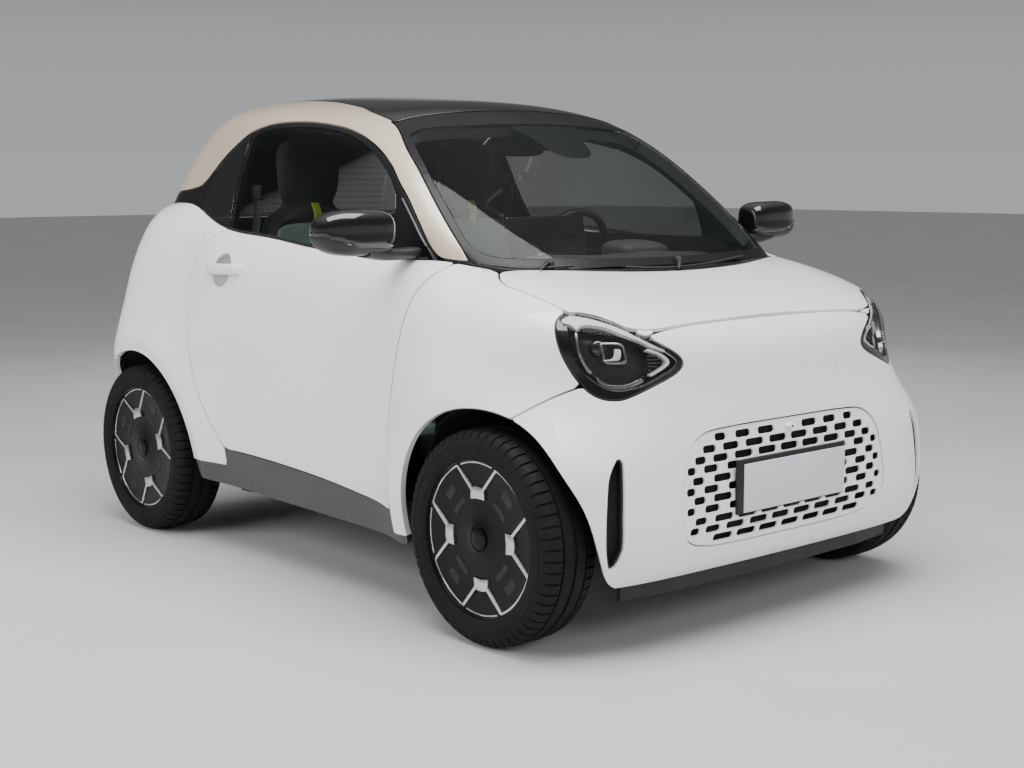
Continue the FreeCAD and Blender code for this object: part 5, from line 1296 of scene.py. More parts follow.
# ---------------------------------------------------------------- mirrors
def mirror_geo():
    nu, nv = 72, 56
    c = np.array([.893, -.503, 1.092])
    V = []
    for i in range(nu):
        u = 2 * math.pi * i / nu
        for j in range(nv + 1):
            v = math.pi * (j / nv - .5)
            e1, e2 = (.62 if v > 0 else .42), .62
            cu, su, cv, sv = math.cos(u), math.sin(u), math.cos(v), math.sin(v)
            k = abs(cv) ** e1
            y = k * math.copysign(abs(cu) ** e2, cu)
            z = k * math.copysign(abs(su) ** e2, su)
            x = math.copysign(abs(sv) ** e1, sv)
            t, ti = max(x, 0), max(-x, 0)
            if z > 0:
                zz = z * (.070 - .010 * t * t - .004 * ti)
            else:
                zz = z * (.060 - .014 * t * t - .004 * ti) + .010 * t * t * (1 + z)
            yy = y * (.060 - .012 * t * t) + .012 * t * t
            yy = min(yy, .046 + .004 * x)
            V.append((c[0] + x * .122, c[1] + yy, c[2] + zz))
    V = np.array(V)
    zs = 1.0545 + .036 * np.clip((V[:, 0] - .880) / .125, 0, 1) ** 1.3
    # the seam: a shallow step between the gloss cap and the lower shell
    d = V[:, 2] - zs
    cen = np.array([c[0], c[1], c[2] - .005])
    dirs = (V - cen) / np.maximum(np.linalg.norm(V - cen, axis=1, keepdims=True), 1e-6)
    V = V - dirs * (.0030 * np.exp(-(d / .0022) ** 2))[:, None] - dirs * np.where(d < 0, .0012, 0)[:, None]
    hi, lo = [], []
    for i in range(nu):
        for j in range(nv):
            a, b = i * (nv + 1) + j, ((i + 1) % nu) * (nv + 1) + j
            f = [a, a + 1, b + 1, b]
            (lo if d[f].mean() < 0 else hi).append(f)
    g = [(V, hi, 0), (V, lo, 1)]
    # glass, set just into the flat rear face
    pl = []
    for i in range(48):
        u = 2 * math.pi * i / 48
        x = .098 * math.copysign(abs(math.cos(u)) ** .55, math.cos(u))
        z = .052 * math.copysign(abs(math.sin(u)) ** .55, math.sin(u)) * (1 - .14 * max(x, 0) / .098)
        pl.append((x, z))
    ring = [[(c[0] + x * k, c[1] + .0470 + .004 * (x * k) / .117 + d_, c[2] + .004 + z * k) for x, z in pl] for k, d_ in ((1.02, -.004), (1.0, .0), (.97, .0012), (.5, .0016), (.02, .0018))]
    g.append(rings_geo(ring, True, False, False, 2))
    # foot down to the door
    path = [(.660, -.497, 1.036), (.710, -.502, 1.034), (.755, -.508, 1.034), (.805, -.512, 1.037), (.865, -.510, 1.050)]
    w = [.030, .030, .030, .034, .040]
    h = [.017, .017, .017, .019, .022]
    p_, w_, h_ = np.array(path), Curve(range(5), w), Curve(range(5), h)
    rings = []
    for t in np.linspace(0, 4, 26):
        q = [float(Curve(range(5), p_[:, k])(t)) for k in range(3)]
        a, b = float(w_(t)), float(h_(t))
        rings.append([(q[0], q[1] + a * math.copysign(abs(math.cos(r_)) ** .65, math.cos(r_)), q[2] + b * math.copysign(abs(math.sin(r_)) ** .65, math.sin(r_))) for r_ in np.linspace(0, 2 * math.pi, 32, endpoint=False)])
    g.append(rings_geo(rings, mat=1))
    # side repeater along the outer edge
    rr_ = []
    for t in np.linspace(0, 1, 12):
        x = .925 + .068 * t
        rr_.append((x, -.553 + .030 * t ** 2.2, 1.0635 + .022 * t))
    g.append(tube(rr_, [.0015] + [.0032] * 10 + [.0015], 8, flat=.8, mat=3))
    return g


M["mirror_low"] = plastic("mirror_lower_shell", (.020, .021, .022), .38, 600, .08)
M["mirror_glass"] = metal("mirror_glass", (.80, .82, .84), .04, None, .02)
MG = mirror_geo()
for sd, sx in (("left", 1), ("right", -1)):
    solid("door_mirror_" + sd, [g if sx > 0 else flipped(g) for g in MG], [M["gloss_black"], M["mirror_low"], M["mirror_glass"], M["light_bar"]], "door_" + sd, ["mirror_" + sd], 50)

# ---------------------------------------------------------------- door handles
HY, HZ, HR = .420, .948, .054
dish_f = lambda P: lower(P) + .0016 + .024 * np.sqrt(np.clip(1 - ((P[..., 1] - HY) ** 2 + (P[..., 2] - HZ) ** 2) / .0535 ** 2, 0, 1))
ys, zs = np.arange(HY - .062, HY + .062, .0026), np.arange(HZ - .062, HZ + .062, .0026)
O = np.empty((len(ys), len(zs), 3))
O[..., 1], O[..., 2] = np.meshgrid(ys, zs, indexing="ij")
O[..., 0] = .5
D = np.zeros(O.shape)
D[..., 0] = 1
dish_patch = Patch(dish_f, O, D)
dish = cut_panel(dish_patch, R("X", disc(HY, HZ, HR)), gap=0, r=.0004, depth=.002)
hy = np.linspace(.284, .517, 34)
surf_x = root(lower, np.stack([np.full(34, .3), hy, np.full(34, .952)], 1), np.tile([1.0, 0, 0], (34, 1))) + .3
rings = []
for y, x in zip(hy, surf_x):
    t = abs(y - .4005) / .1165
    k = max(1 - t ** 6, 0)
    grow_ = max(1 - t ** 10, .05) ** .5
    out = x - .006 + .0330 * (1 - t ** 5)
    zc = .952 - .003 * (y - .4005) / .1165
    hh, ww = .0180 * (.55 + .45 * grow_), .0098 * (.6 + .4 * k)
    rings.append([(out - ww + ww * math.copysign(abs(math.cos(a)) ** .75, math.cos(a)), y, zc + hh * math.copysign(abs(math.sin(a)) ** .75, math.sin(a))) for a in np.linspace(0, 2 * math.pi, 26, endpoint=False)])
HB = rings_geo(rings)
for sd, sx in (("left", 1), ("right", -1)):
    solid("door_handle_" + sd, [HB if sx > 0 else flipped(HB)], [M["handle"]], "door_" + sd, ["handle_" + sd], 50)
    d = dish if sx > 0 else flip_x(*dish)
    # the recess mesh carries the darkened white: painted shade
    put(make_mesh("handle_dish_" + sd, d[0], d[2], d[1], [M["dish"]]), "door_" + sd)

# ---------------------------------------------------------------- wipers
def screen_pts(pts, off):
    """Points on the windscreen above (x, z) pairs, lifted by off."""
    q = np.array(pts, float)
    O = np.stack([q[:, 0], np.full(len(q), -.35), q[:, 1]], 1)
    D = np.zeros(O.shape)
    D[:, 1] = -1
    f = lambda P: upper(P) - off
    return O + D * root(f, O, D)[:, None]


g = []
for blade, pivot, arm_to in (([(-.6134, 1.0059), (-.5715, .9985), (-.5192, .9945), (-.4567, .995), (-.3868, .9981)], (-.444, -.815, 1.002), (-.50, .996)),
                             ([(-.2212, .9893), (-.1171, .9830), (.008, .9825), (.1594, .9888), (.3318, .9991)], (.0162, -.880, 1.000), (-.04, .984))):
    b = np.array(blade)
    xx = np.linspace(b[0, 0], b[-1, 0], 24)
    zz = Curve(b[:, 0], b[:, 1])(xx)
    path = screen_pts(list(zip(xx, zz + .004)), .012)
    g.append(tube(path, .0052, 8, flat=.8))
    path2 = screen_pts(list(zip(xx, zz + .004)), .005)
    g.append(tube(path2, .0022, 6, flat=1.2))
    mid = screen_pts([arm_to], .022)[0]
    pv = np.array(pivot)
    armp = np.array([pv + (0, 0, .006), pv * .6 + mid * .4 + (0, -.004, .012), pv * .2 + mid * .8 + (0, -.003, .006), mid])
    g.append(tube(armp, [.009, .0075, .006, .0045], 10, flat=.6))
    g.append(moved(lathe([(-.006, .002), (-.006, .015), (.010, .013), (.014, .009), (.015, .0)], 24), Matrix.Translation(pv) @ Matrix.Rotation(math.radians(-90), 4, "Y")))
solid("wiper_arms", g, [M["trim"]], "body", ["wipers"], 45)

# ---------------------------------------------------------------- dark strips behind the shut lines: painted shade in place of the shaded jambs
def strip(name, patch, o, axis, mir=False, mirror=True, body="body", w=.016, off=.019, extra=(), only=None, mat="dark"):
    # a near-black sheet behind the gap: painted shade where the jamb lies in shadow
    reg = AND(R(axis, o, grow=w, mir=mir), NOT(R(axis, o, grow=-w, mir=mir)), *extra)
    g = cut_panel(patch, reg, gap=0, r=.0004, depth=0, off=off, only=only)
    shaped(name, [geo3(g)], [M[mat]], body, mirror=mirror)


strip("door_gap_strips_front", front, door_leaf, "X", only=(.2, 1.2), extra=(H(1, -.44), above_cell, NOT(R("X", arch_f, grow=.012))))
strip("door_gap_strips", side, door_leaf, "X", only=(.2, 1.2), extra=(H(1, -.46, -1), above_cell))
strip("bonnet_gap_strips", hood, hood_out, "Z", mirror=False, extra=(H(1, -.80),), w=.013)
strip("front_corner_strips", front, hood_out, "Z", mirror=False, extra=(H(1, -1.0), NOT(R("Y", lamp, mir=True))), w=.016)
strip("lamp_gap_strips", front, lamp, "Y", mir=True, mirror=False, extra=(H(1, -.95),), w=.014)
strip("grille_gap_strips", front, grille, "Y", mirror=False, extra=(H(1, -1.0),), w=.012, off=.022)
seam_band = loop([[(-1.231, .753), (-1.190, .728), (-1.118, .689), (-1.03, .628), (-.95, .57)], [(-.95, .57), (-.93, .60)], [(-.93, .60), (-1.01, .660), (-1.10, .720), (-1.18, .760), (-1.222, .79)], [(-1.222, .79), (-1.231, .753)]], .004)
strip("bumper_seam_strips", front, seam_band, "X", only=(.2, 1.2), extra=(NOT(R("Y", lamp, mir=True)), NOT(R("X", arch_f, grow=.012))), w=.014)
strip("gate_gap_strips", rear, gate, "Y", mirror=False, extra=(H(1, .9, -1), above_cell), w=.018)
strip("tail_lamp_strips", rear, lamp_r, "Y", mir=True, mirror=False, extra=(H(1, 1.0, -1), above_cell), w=.014)
rear_seam = loop([[(1.50, .625), (1.17, .625), (1.10, .611), (.95, .571)], [(.95, .571), (.95, .549)], [(.95, .549), (1.10, .589), (1.17, .603), (1.50, .603)], [(1.50, .603), (1.50, .625)]], .003)
strip("rear_seam_strips", rear, rear_seam, "X", only=(.2, 1.2), extra=(NOT(R("X", arch_r)),), w=.010)


# ---------------------------------------------------------------- cabin materials
def weave(name, color, accent=None, scale=520, rough=.88, sheen=.35, depth=.35):
    """Woven cloth: crossed threads from two waves, flecks of a second yarn, faint wear."""
    m, nt, bs, tc = nodes_of(name)
    waves = []
    for ax in ("X", "Z", "Y"):
        w = nt.nodes.new("ShaderNodeTexWave")
        w.bands_direction = ax
        w.inputs["Scale"].default_value = scale / 6.283
        w.inputs["Distortion"].default_value = 1.2
        w.inputs["Detail"].default_value = 1
        nt.links.new(tc.outputs["Object"], w.inputs["Vector"])
        waves.append(w)
    a = nt.nodes.new("ShaderNodeMath")
    a.operation = "MULTIPLY"
    nt.links.new(waves[0].outputs["Fac"], a.inputs[0])
    nt.links.new(waves[1].outputs["Fac"], a.inputs[1])
    b = nt.nodes.new("ShaderNodeMath")
    b.operation = "ADD"
    nt.links.new(a.outputs[0], b.inputs[0])
    nt.links.new(waves[2].outputs["Fac"], b.inputs[1])
    n1 = noise(nt, tc, 16, 5)
    r = ramp(nt, n1.outputs[0], [(.25, vary(color, .80)), (.55, color), (.8, vary(color, 1.18))])
    fl = nt.nodes.new("ShaderNodeTexVoronoi")
    fl.inputs["Scale"].default_value = 620
    nt.links.new(tc.outputs["Object"], fl.inputs["Vector"])
    fr = ramp(nt, fl.outputs["Distance"], [(.10, (1, 1, 1)), (.22, (0, 0, 0))])
    mx = nt.nodes.new("ShaderNodeMix")
    mx.data_type = "RGBA"
    mx.inputs[7].default_value = rgb(accent or vary(color, 1.9))
    k = nt.nodes.new("ShaderNodeMath")
    k.operation = "MULTIPLY"
    k.inputs[1].default_value = .35
    nt.links.new(fr.outputs[0], k.inputs[0])
    nt.links.new(k.outputs[0], mx.inputs[0])
    nt.links.new(r.outputs[0], mx.inputs[6])
    nt.links.new(mx.outputs[2], bs.inputs["Base Color"])
    n2 = noise(nt, tc, 40, 3)
    rr = ramp(nt, n2.outputs[0], [(.3, (rough * .94,) * 3), (.7, (min(1, rough * 1.06),) * 3)])
    nt.links.new(rr.outputs[0], bs.inputs["Roughness"])
    bs.inputs["Sheen Weight"].default_value = sheen
    bs.inputs["Sheen Roughness"].default_value = .45
    bump(nt, bs, b.outputs[0], depth, .0006)
    return m


def hide(name, color, rough=.5):
    """Grained artificial leather."""
    m, nt, bs, tc = nodes_of(name)
    n1 = noise(nt, tc, 12, 5)
    r = ramp(nt, n1.outputs[0], [(.25, vary(color, .85)), (.75, vary(color, 1.15))])
    nt.links.new(r.outputs[0], bs.inputs["Base Color"])
    v = nt.nodes.new("ShaderNodeTexVoronoi")
    v.inputs["Scale"].default_value = 330
    nt.links.new(tc.outputs["Object"], v.inputs["Vector"])
    rr = ramp(nt, v.outputs["Distance"], [(.1, (rough * .85,) * 3), (.6, (rough * 1.15,) * 3)])
    nt.links.new(rr.outputs[0], bs.inputs["Roughness"])
    n3 = noise(nt, tc, 900, 3)
    ad = nt.nodes.new("ShaderNodeMath")
    ad.operation = "ADD"
    nt.links.new(v.outputs["Distance"], ad.inputs[0])
    nt.links.new(n3.outputs[0], ad.inputs[1])
    bump(nt, bs, ad.outputs[0], .30, .0006)
    return m


M["charcoal"] = weave("charcoal_cloth", (.020, .021, .022), (.060, .064, .060))
M["mint"] = weave("mint_cloth", (.15, .25, .195), (.26, .38, .31))
M["lime"] = weave("lime_webbing", (.44, .55, .045), (.60, .70, .12), 900, .7, .2)
M["piping"] = weave("pale_piping", (.34, .36, .22), (.5, .52, .34), 1200, .7, .2)
M["belt"] = weave("belt_webbing", (.055, .057, .058), (.10, .10, .10), 1400, .6, .2)
M["carpet"] = weave("floor_carpet", (.014, .014, .015), (.03, .03, .03), 260, 1.0, .5, .8)
M["lining"] = weave("roof_lining", (.045, .046, .047), (.075, .075, .076), 700, .95, .3)
M["softpad"] = hide("soft_dash_skin", (.022, .023, .024), .62)
M["leather"] = hide("wheel_leather", (.014, .014, .015), .46)
M["hard"] = plastic("hard_trim", (.030, .031, .033), .58, 520, .25)
M["visor"] = hide("visor_skin", (.16, .155, .15), .75)
M["display"] = paint("display_glass", (.004, .005, .007), 0.0, .07, .6, 0, .2)


# ---------------------------------------------------------------- padding
def table(rows):
    a = np.array(rows, float)
    return [Curve(a[:, 0], a[:, k]) for k in range(1, a.shape[1])]


def mesh_arrays(me):
    V = np.empty(len(me.vertices) * 3)
    me.vertices.foreach_get("co", V)
    return V.reshape(-1, 3), [list(p.vertices) for p in me.polygons]


def padding(name, g, voxel, pressure, cap, pinned, grow=0, steps=20):
    """Even mesh over a closed form, blown up as cloth with its seams held, then smoothed once."""
    me = bpy.data.meshes.new(name)
    me.from_pydata([tuple(v) for v in g[0]], [], g[1])
    ob = bpy.data.objects.new(name, me)
    sc = bpy.context.scene
    sc.collection.objects.link(ob)
    md = ob.modifiers.new("even", "REMESH")
    md.mode = "VOXEL"
    md.voxel_size = voxel
    even = bpy.data.meshes.new_from_object(ob.evaluated_get(bpy.context.evaluated_depsgraph_get()))
    ob.modifiers.clear()
    ob.data = even
    V0, Fc = mesh_arrays(even)
    hold = pinned(V0)
    vg = ob.vertex_groups.new(name="seams")
    for i in np.where(hold > .02)[0]:
        vg.add([int(i)], float(hold[i]), "REPLACE")
    cl = ob.modifiers.new("fill", "CLOTH")
    st = cl.settings
    st.quality = 6
    st.mass = .25
    st.tension_stiffness = st.compression_stiffness = 12
    st.shear_stiffness = 4
    st.bending_stiffness = .4
    st.use_pressure = True
    st.uniform_pressure_force = pressure
    st.effector_weights.gravity = 0
    st.vertex_group_mass = "seams"
    cl.collision_settings.use_collision = False
    cl.collision_settings.use_self_collision = False
    cl.point_cache.frame_start, cl.point_cache.frame_end = 1, steps
    for f in range(1, steps + 1):
        sc.frame_set(f)
    out = bpy.data.meshes.new_from_object(ob.evaluated_get(bpy.context.evaluated_depsgraph_get()))
    V1, _ = mesh_arrays(out)
    d = V1 - V0
    L = np.maximum(np.linalg.norm(d, axis=1, keepdims=True), 1e-9)
    V1 = V0 + d / L * cap * np.tanh(L / cap)
    even.vertices.foreach_set("co", V1.ravel())
    even.update()
    ob.modifiers.clear()
    sc.frame_set(1)
    sub = ob.modifiers.new("smooth", "SUBSURF")
    sub.levels = sub.render_levels = 1
    fin = bpy.data.meshes.new_from_object(ob.evaluated_get(bpy.context.evaluated_depsgraph_get()))
    V, Fc = mesh_arrays(fin)
    N = np.empty(len(V) * 3)
    fin.vertices.foreach_get("normal", N)
    bpy.data.objects.remove(ob)
    return V, Fc, N.reshape(-1, 3)


def line_dist(P, line, closed_=False):
    """Distance from 2-D points to a polyline."""
    a = np.array(line, float)
    b = np.roll(a, -1, 0) if closed_ else a[1:]
    a = a if closed_ else a[:-1]
    best = np.full(len(P), 9.0)
    for p, q in zip(a, b):
        e = q - p
        t = np.clip(((P - p) @ e) / max(e @ e, 1e-12), 0, 1)
        best = np.minimum(best, np.linalg.norm(P - p - t[:, None] * e, axis=1))
    return best


from mathutils.bvhtree import BVHTree

SEAT_X = .350
back_tab = table([(.418, .300, .440, .200), (.445, .309, .462, .216), (.55, .335, .482, .218), (.64, .352, .496, .219), (.78, .378, .517, .220), (.90, .405, .535, .220),
                  (1.00, .432, .546, .211), (1.06, .452, .549, .200), (1.10, .465, .549, .184), (1.13, .474, .547, .157), (1.150, .480, .543, .124), (1.166, .484, .540, .106),
                  (1.19, .478, .541, .112), (1.23, .470, .544, .120), (1.29, .469, .545, .122), (1.33, .477, .540, .112), (1.352, .490, .532, .088)])
ins_b = loop([[(-.168, .455), (-.172, .70), (-.176, 1.035)], [(-.176, 1.035), (-.150, 1.078), (0, 1.096), (.150, 1.078), (.176, 1.035)], [(.176, 1.035), (.172, .70), (.168, .455)], [(.168, .455), (-.168, .455)]], .022)
chan_b = [[(-.170, z), (.170, z)] for z in (.600, .740, .880)]
ins_c = loop([[(-.165, -.098), (-.168, .10), (-.165, .285)], [(-.165, .285), (.165, .285)], [(.165, .285), (.168, .10), (.165, -.098)], [(.165, -.098), (-.165, -.098)]], .025)
chan_c = [[(-.165, y), (.165, y)] for y in (-.005, .100, .205)]


def seat_back_form():
    rings = []
    zs = np.concatenate([[.4185, .423, .432], np.linspace(.445, 1.33, 74), [1.338, 1.345, 1.350, 1.352]])
    for z in zs:
        yf, yb, w = (float(c(z)) for c in back_tab)
        lo = max(0.0, 1 - (z - .418) / .030)
        hi = max(0.0, 1 - (1.353 - z) / .040)
        k = math.sqrt(max(1 - lo * lo, .02)) * math.sqrt(max(1 - hi * hi, .02))
        yc, hy_ = (yf + yb) / 2, (yb - yf) / 2 * (.35 + .65 * k)
        w = w * (.72 + .28 * k)
        bol = .026 * float(ease((z - .43) / .10) * ease((1.10 - z) / .12))
        ring = []
        for t in np.linspace(0, 2 * math.pi, 96, endpoint=False):
            c, s = math.cos(t), math.sin(t)
            x = w * math.copysign(abs(c) ** .42, c)
            y = yc + hy_ * math.copysign(abs(s) ** .55, s)
            if s < 0:
                y -= bol * math.exp(-((abs(x) / w - .93) / .16) ** 2) * abs(s) ** .3 - .010 * math.exp(-(x / .12) ** 2) * float(ease((.62 - z) / .2))
            ring.append((x, y, z + .24 * max(z - 1.18, 0)))
        rings.append(ring)
    return rings_geo(rings)


def seat_pan_form():
    rings = []
    ys = np.concatenate([[-.128, -.126, -.121, -.112], np.linspace(-.10, .36, 42), [.372, .380, .384]])
    top = Curve([-.13, -.10, .0, .06, .30, .40], [.400, .424, .428, .423, .415, .412])
    for y in ys:
        a = max(0.0, 1 - (y + .129) / .030)
        b = max(0.0, 1 - (.385 - y) / .022)
        k = math.sqrt(max(1 - a * a, .02)) * math.sqrt(max(1 - b * b, .02))
        zt, zb = float(top(y)), .306
        zc, hz = (zt + zb) / 2, (zt - zb) / 2 * (.55 + .45 * k)
        w = .217 * (.90 + .10 * k)
        ring = []
        for t in np.linspace(0, 2 * math.pi, 96, endpoint=False):
            c, s = math.cos(t), math.sin(t)
            x = w * math.copysign(abs(c) ** .40, c)
            z = zc + hz * math.copysign(abs(s) ** .45, s)
            if s > 0:
                z += .020 * math.exp(-((abs(x) / w - .90) / .16) ** 2) * float(ease((y + .12) / .08)) * abs(s) ** .3
            ring.append((x, y, z))
        rings.append(ring)
    return rings_geo(rings)


def seat_parts():
    """Back and pan of one seat about x = 0: meshes, materials per face, seam pipes, lime loop."""
    def hold_b(V):
        P = V[:, [0, 2]]
        front_ = V[:, 1] < (V[:, 2] - .43) * .18 + .40
        d = line_dist(P, ins_b, True)
        for c in chan_b:
            d = np.minimum(d, line_dist(P, c) * 1.2)
        w = np.where(front_, np.clip(1.5 - d / .008, 0, 1), 0)
        return np.maximum(w, np.where(V[:, 2] < .45, .8, 0))

    def hold_c(V):
        P = V[:, [0, 1]]
        up_ = V[:, 2] > .385
        d = line_dist(P, ins_c, True)
        for c in chan_c:
            d = np.minimum(d, line_dist(P, c) * 1.2)
        w = np.where(up_, np.clip(1.5 - d / .008, 0, 1), 0)
        return np.maximum(w, np.where(V[:, 2] < .315, 1.0, 0))

    B = padding("seat_back_fill", seat_back_form(), .0105, 3.2, .014, hold_b)
    C = padding("seat_pan_fill", seat_pan_form(), .0105, 3.2, .014, hold_c)

    def sewn(g, ia, ib, facing, ring, chans):
        V, Fc, N = g
        P = V[:, [ia, ib]]
        d = line_dist(P, ring, True)
        e = np.full(len(V), 9.0)
        for c in chans:
            e = np.minimum(e, line_dist(P, c))
        on = np.clip((N @ np.array(facing, float) - .15) / .3, 0, 1)
        inside = poly_sd(ring, P)[0] < 0
        depth = (.0055 * np.exp(-(d / .0048) ** 2) + .0050 * np.exp(-(e / .0050) ** 2) * inside) * on
        pucker = .0009 * np.sin(P[:, 0] * 390 + 3 * np.sin(P[:, 1] * 90)) * np.exp(-(np.minimum(d, e) / .016) ** 2) * on * inside
        V = V - N * (depth + pucker)[:, None]
        sd = poly_sd(ring, P)[0]
        mi = []
        for f in Fc:
            k = f[0]
            m = sum(sd[i] for i in f) / len(f)
            mi.append(1 if m < 0 and on[k] > .2 else 0)
        return V, Fc, mi
    B = sewn(B, 0, 2, (0, -1, 0), ins_b, chan_b)
    C = sewn(C, 0, 1, (0, 0, 1), ins_c, chan_c)
    tb = BVHTree.FromPolygons([Vector(v) for v in B[0]], B[1])
    tcn = BVHTree.FromPolygons([Vector(v) for v in C[0]], C[1])

    def on_back(x, z, lift=.0):
        h = tb.ray_cast(Vector((x, 0, z)), Vector((0, 1, 0)))
        return (x, h[0].y - lift, z) if h[0] else None

    def on_pan(x, y, lift=.0):
        h = tcn.ray_cast(Vector((x, y, .9)), Vector((0, 0, -1)))
        return (x, y, h[0].z + lift) if h[0] else None
    pipes, stitches = [], []
    pb = [on_back(x, z, -.0005) for x, z in ins_b[::3]]
    pipes.append(tube([p for p in pb if p], .0024, 6, closed_path=True, mat=0))
    pc = [on_pan(x, y, -.0005) for x, y in ins_c[::3]]
    pipes.append(tube([p for p in pc if p], .0024, 6, closed_path=True, mat=0))
    edge = dense([(-.207, .50), (-.210, .70), (-.211, .90), (-.204, 1.00), (-.192, 1.06), (-.172, 1.103), (-.140, 1.132), (-.106, 1.150)], 7)
    for sx in (1, -1):
        p = [on_back(sx * x, z, .0004) for x, z in edge]
        pipes.append(tube([q for q in p if q], .0022, 6, mat=1))
    # twin rows of stitches beside the channels
    for c in chan_b:
        for dz in (.0085, -.0085):
            for x in np.arange(-.160, .160, .0085):
                a, b = on_back(x, c[0][1] + dz, .0004), on_back(x + .0050, c[0][1] + dz, .0004)
                if a and b:
                    stitches.append(tube([a, b], .00065, 4, mat=1))
    for c in chan_c:
        for dy in (.0085, -.0085):
            for x in np.arange(-.155, .155, .0085):
                a, b = on_pan(x, c[0][1] + dy, .0004), on_pan(x + .0050, c[0][1] + dy, .0004)
                if a and b:
                    stitches.append(tube([a, b], .00065, 4, mat=1))
    strap = []
    zz = np.linspace(1.160, 1.083, 12)
    ring = [on_back(0, z, .0016) for z in zz]
    rows = []
    for i, p in enumerate(ring):
        if not p:
            continue
        lift = .006 * math.sin(math.pi * i / (len(ring) - 1)) ** 2
        rows.append([(sx_ * .0155, p[1] - lift - t_, p[2]) for sx_, t_ in ((-1, -.0012), (-.9, .0014), (0, .0018), (.9, .0014), (1, -.0012))] + [(.9, p[1] - lift + .0030, p[2]), (-.9, p[1] - lift + .0030, p[2])])
        rows[-1][5] = (.0140, rows[-1][5][1], p[2])
        rows[-1][6] = (-.0140, rows[-1][6][1], p[2])
    strap.append(rings_geo(rows, mat=0))
    return B, C, pipes, stitches, strap


SB, SC, PIPES, STITCH, STRAP = seat_parts()
for sd, sx in (("left", 1), ("right", -1)):
    off = np.array([sx * SEAT_X, 0, 0])
    for nm, (V, Fc, mi), rep_ in (("seat_back_", SB, ["seat_" + sd]), ("seat_pan_", SC, [])):
        ob = make_mesh(nm + sd, V + off, Fc, None, [M["charcoal"], M["mint"]], mi)
        put(ob, "body", rep_)
    shift = Matrix.Translation((sx * SEAT_X, 0, 0))
    solid("seat_piping_" + sd, [moved(g, shift) for g in PIPES], [M["charcoal"], M["piping"]], "body", angle=60)
    solid("seat_stitching_" + sd, [moved(g, shift) for g in STITCH], [M["charcoal"], M["piping"]], "body", angle=60)
    solid("seat_lime_loop_" + sd, [moved(g, shift) for g in STRAP], [M["lime"]], "body", angle=50)
    g = []
    # recliner covers, runners and the buckle stalk
    for s2 in (1, -1):
        poly = closed([(.08, .300), (.20, .296), (.34, .300), (.415, .330), (.425, .40), (.400, .455), (.365, .460), (.335, .40), (.25, .352), (.12, .345), (.06, .325)], 5)
        c = relief([(y, z) for y, z in poly], 0, .018, .004, 0)
        mt = Matrix.Translation((sx * SEAT_X + s2 * .2165, 0, 0)) @ (Matrix.Identity(4) if s2 > 0 else Matrix.Scale(-1, 4, (1, 0, 0)))
        c = moved(c, mt)
        g.append(c if s2 > 0 else (c[0], [f[::-1] for f in c[1]], c[2]))
        g.append(rbox((.034, .50, .022), (sx * SEAT_X + s2 * .13, .150, .257), .004, 2, 1))
    bx = sx * (SEAT_X - .238)
    g.append(tube([(bx, .345, .30), (bx, .338, .38), (bx, .325, .452)], [.011, .011, .013], 10, flat=.55, up=(0, 1, 0)))
    g.append(rbox((.026, .034, .058), (bx, .318, .478), .006, 3, 0))
    g.append(rbox((.018, .012, .006), (bx, .312, .508), .002, 2, 2))
    solid("seat_fittings_" + sd, g, [M["hard"], M["steel"], M["red_lens"]], "body", angle=40)

# ---------------------------------------------------------------- dashboard
dash_pts = [(-.600, .935), (-.560, .975), (-.50, .9925), (-.42, .9945), (-.35, .984), (-.303, .962), (-.280, .925), (-.279, .900), (-.292, .872), (-.318, .845), (-.336, .800), (-.352, .745),
            (-.400, .690), (-.452, .640), (-.522, .625), (-.534, .70), (-.537, .85)]
dl = closed(dash_pts, 6)
rings = []
for x in np.concatenate([[-.598, -.596, -.590, -.580], np.linspace(-.565, .565, 47), [.580, .590, .596, .598]]):
    e = max(0.0, 1 - (.599 - abs(x)) / .030)
    k = math.sqrt(max(1 - e * e, .0))
    cy_, cz_ = -.42, .86
    hump = .010 * math.exp(-((x + .08) / .14) ** 2) + .012 * math.exp(-((x - .33) / .12) ** 2)
    ring = []
    for y, z in dl:
        y2, z2 = cy_ + (y - cy_) * (.93 + .07 * k), cz_ + (z - cz_) * (.90 + .10 * k)
        z2 += hump * float(ease((z - .93) / .05)) * math.exp(-((y + .42) / .09) ** 2)
        y2 += .020 * (abs(x) / .6) ** 4 * float(ease((y + .40) / .1)) * -1
        ring.append((x, y2, z2))
    rings.append(ring)
g = rings_geo(rings)
nl = len(dl)
mats_i = []
for f in g[1]:
    c = g[0][f].mean(0)
    mats_i.append(1 if (.842 < c[2] < .930 and c[1] > -.345 and not (.16 < c[0] < .50)) else 0)
ob = make_mesh("dash_pad", g[0], g[1], None, [M["softpad"], M["mint"]], mats_i)
ob.data.set_sharp_from_angle(angle=math.radians(60))
put(ob, "body", ["dashboard"])
g = []
# wide centre screen, leaning back on its foot
sc_c = Vector((-.080, -.412, 1.050))
mt = Matrix.Translation(sc_c) @ Matrix.Rotation(math.radians(-9), 4, "X")
g.append(moved(rbox((.330, .011, .152), (0, 0, 0), .005, 3, 0), mt))
g.append(moved(rbox((.316, .002, .138), (0, .0058, 0), .0008, 1, 1), mt))
g.append(rbox((.120, .050, .045), (-.080, -.418, .990), .012, 3, 0))
# driver's display under a small hood
rings = []
for y, w, h in ((-.462, .085, .020), (-.450, .104, .034), (-.42, .110, .041), (-.375, .112, .045), (-.352, .112, .045), (-.350, .108, .041), (-.372, .104, .036), (-.380, .10, .034)):
    rings.append([(.330 + w * math.copysign(abs(math.cos(t)) ** .55, math.cos(t)), y, .994 + h * math.copysign(abs(math.sin(t)) ** .55, math.sin(t))) for t in np.linspace(0, 2 * math.pi, 48, endpoint=False)])
g.append(rings_geo(rings, mat=2))
g.append(rbox((.190, .003, .056), (.330, -.3795, .996), .001, 1, 1))
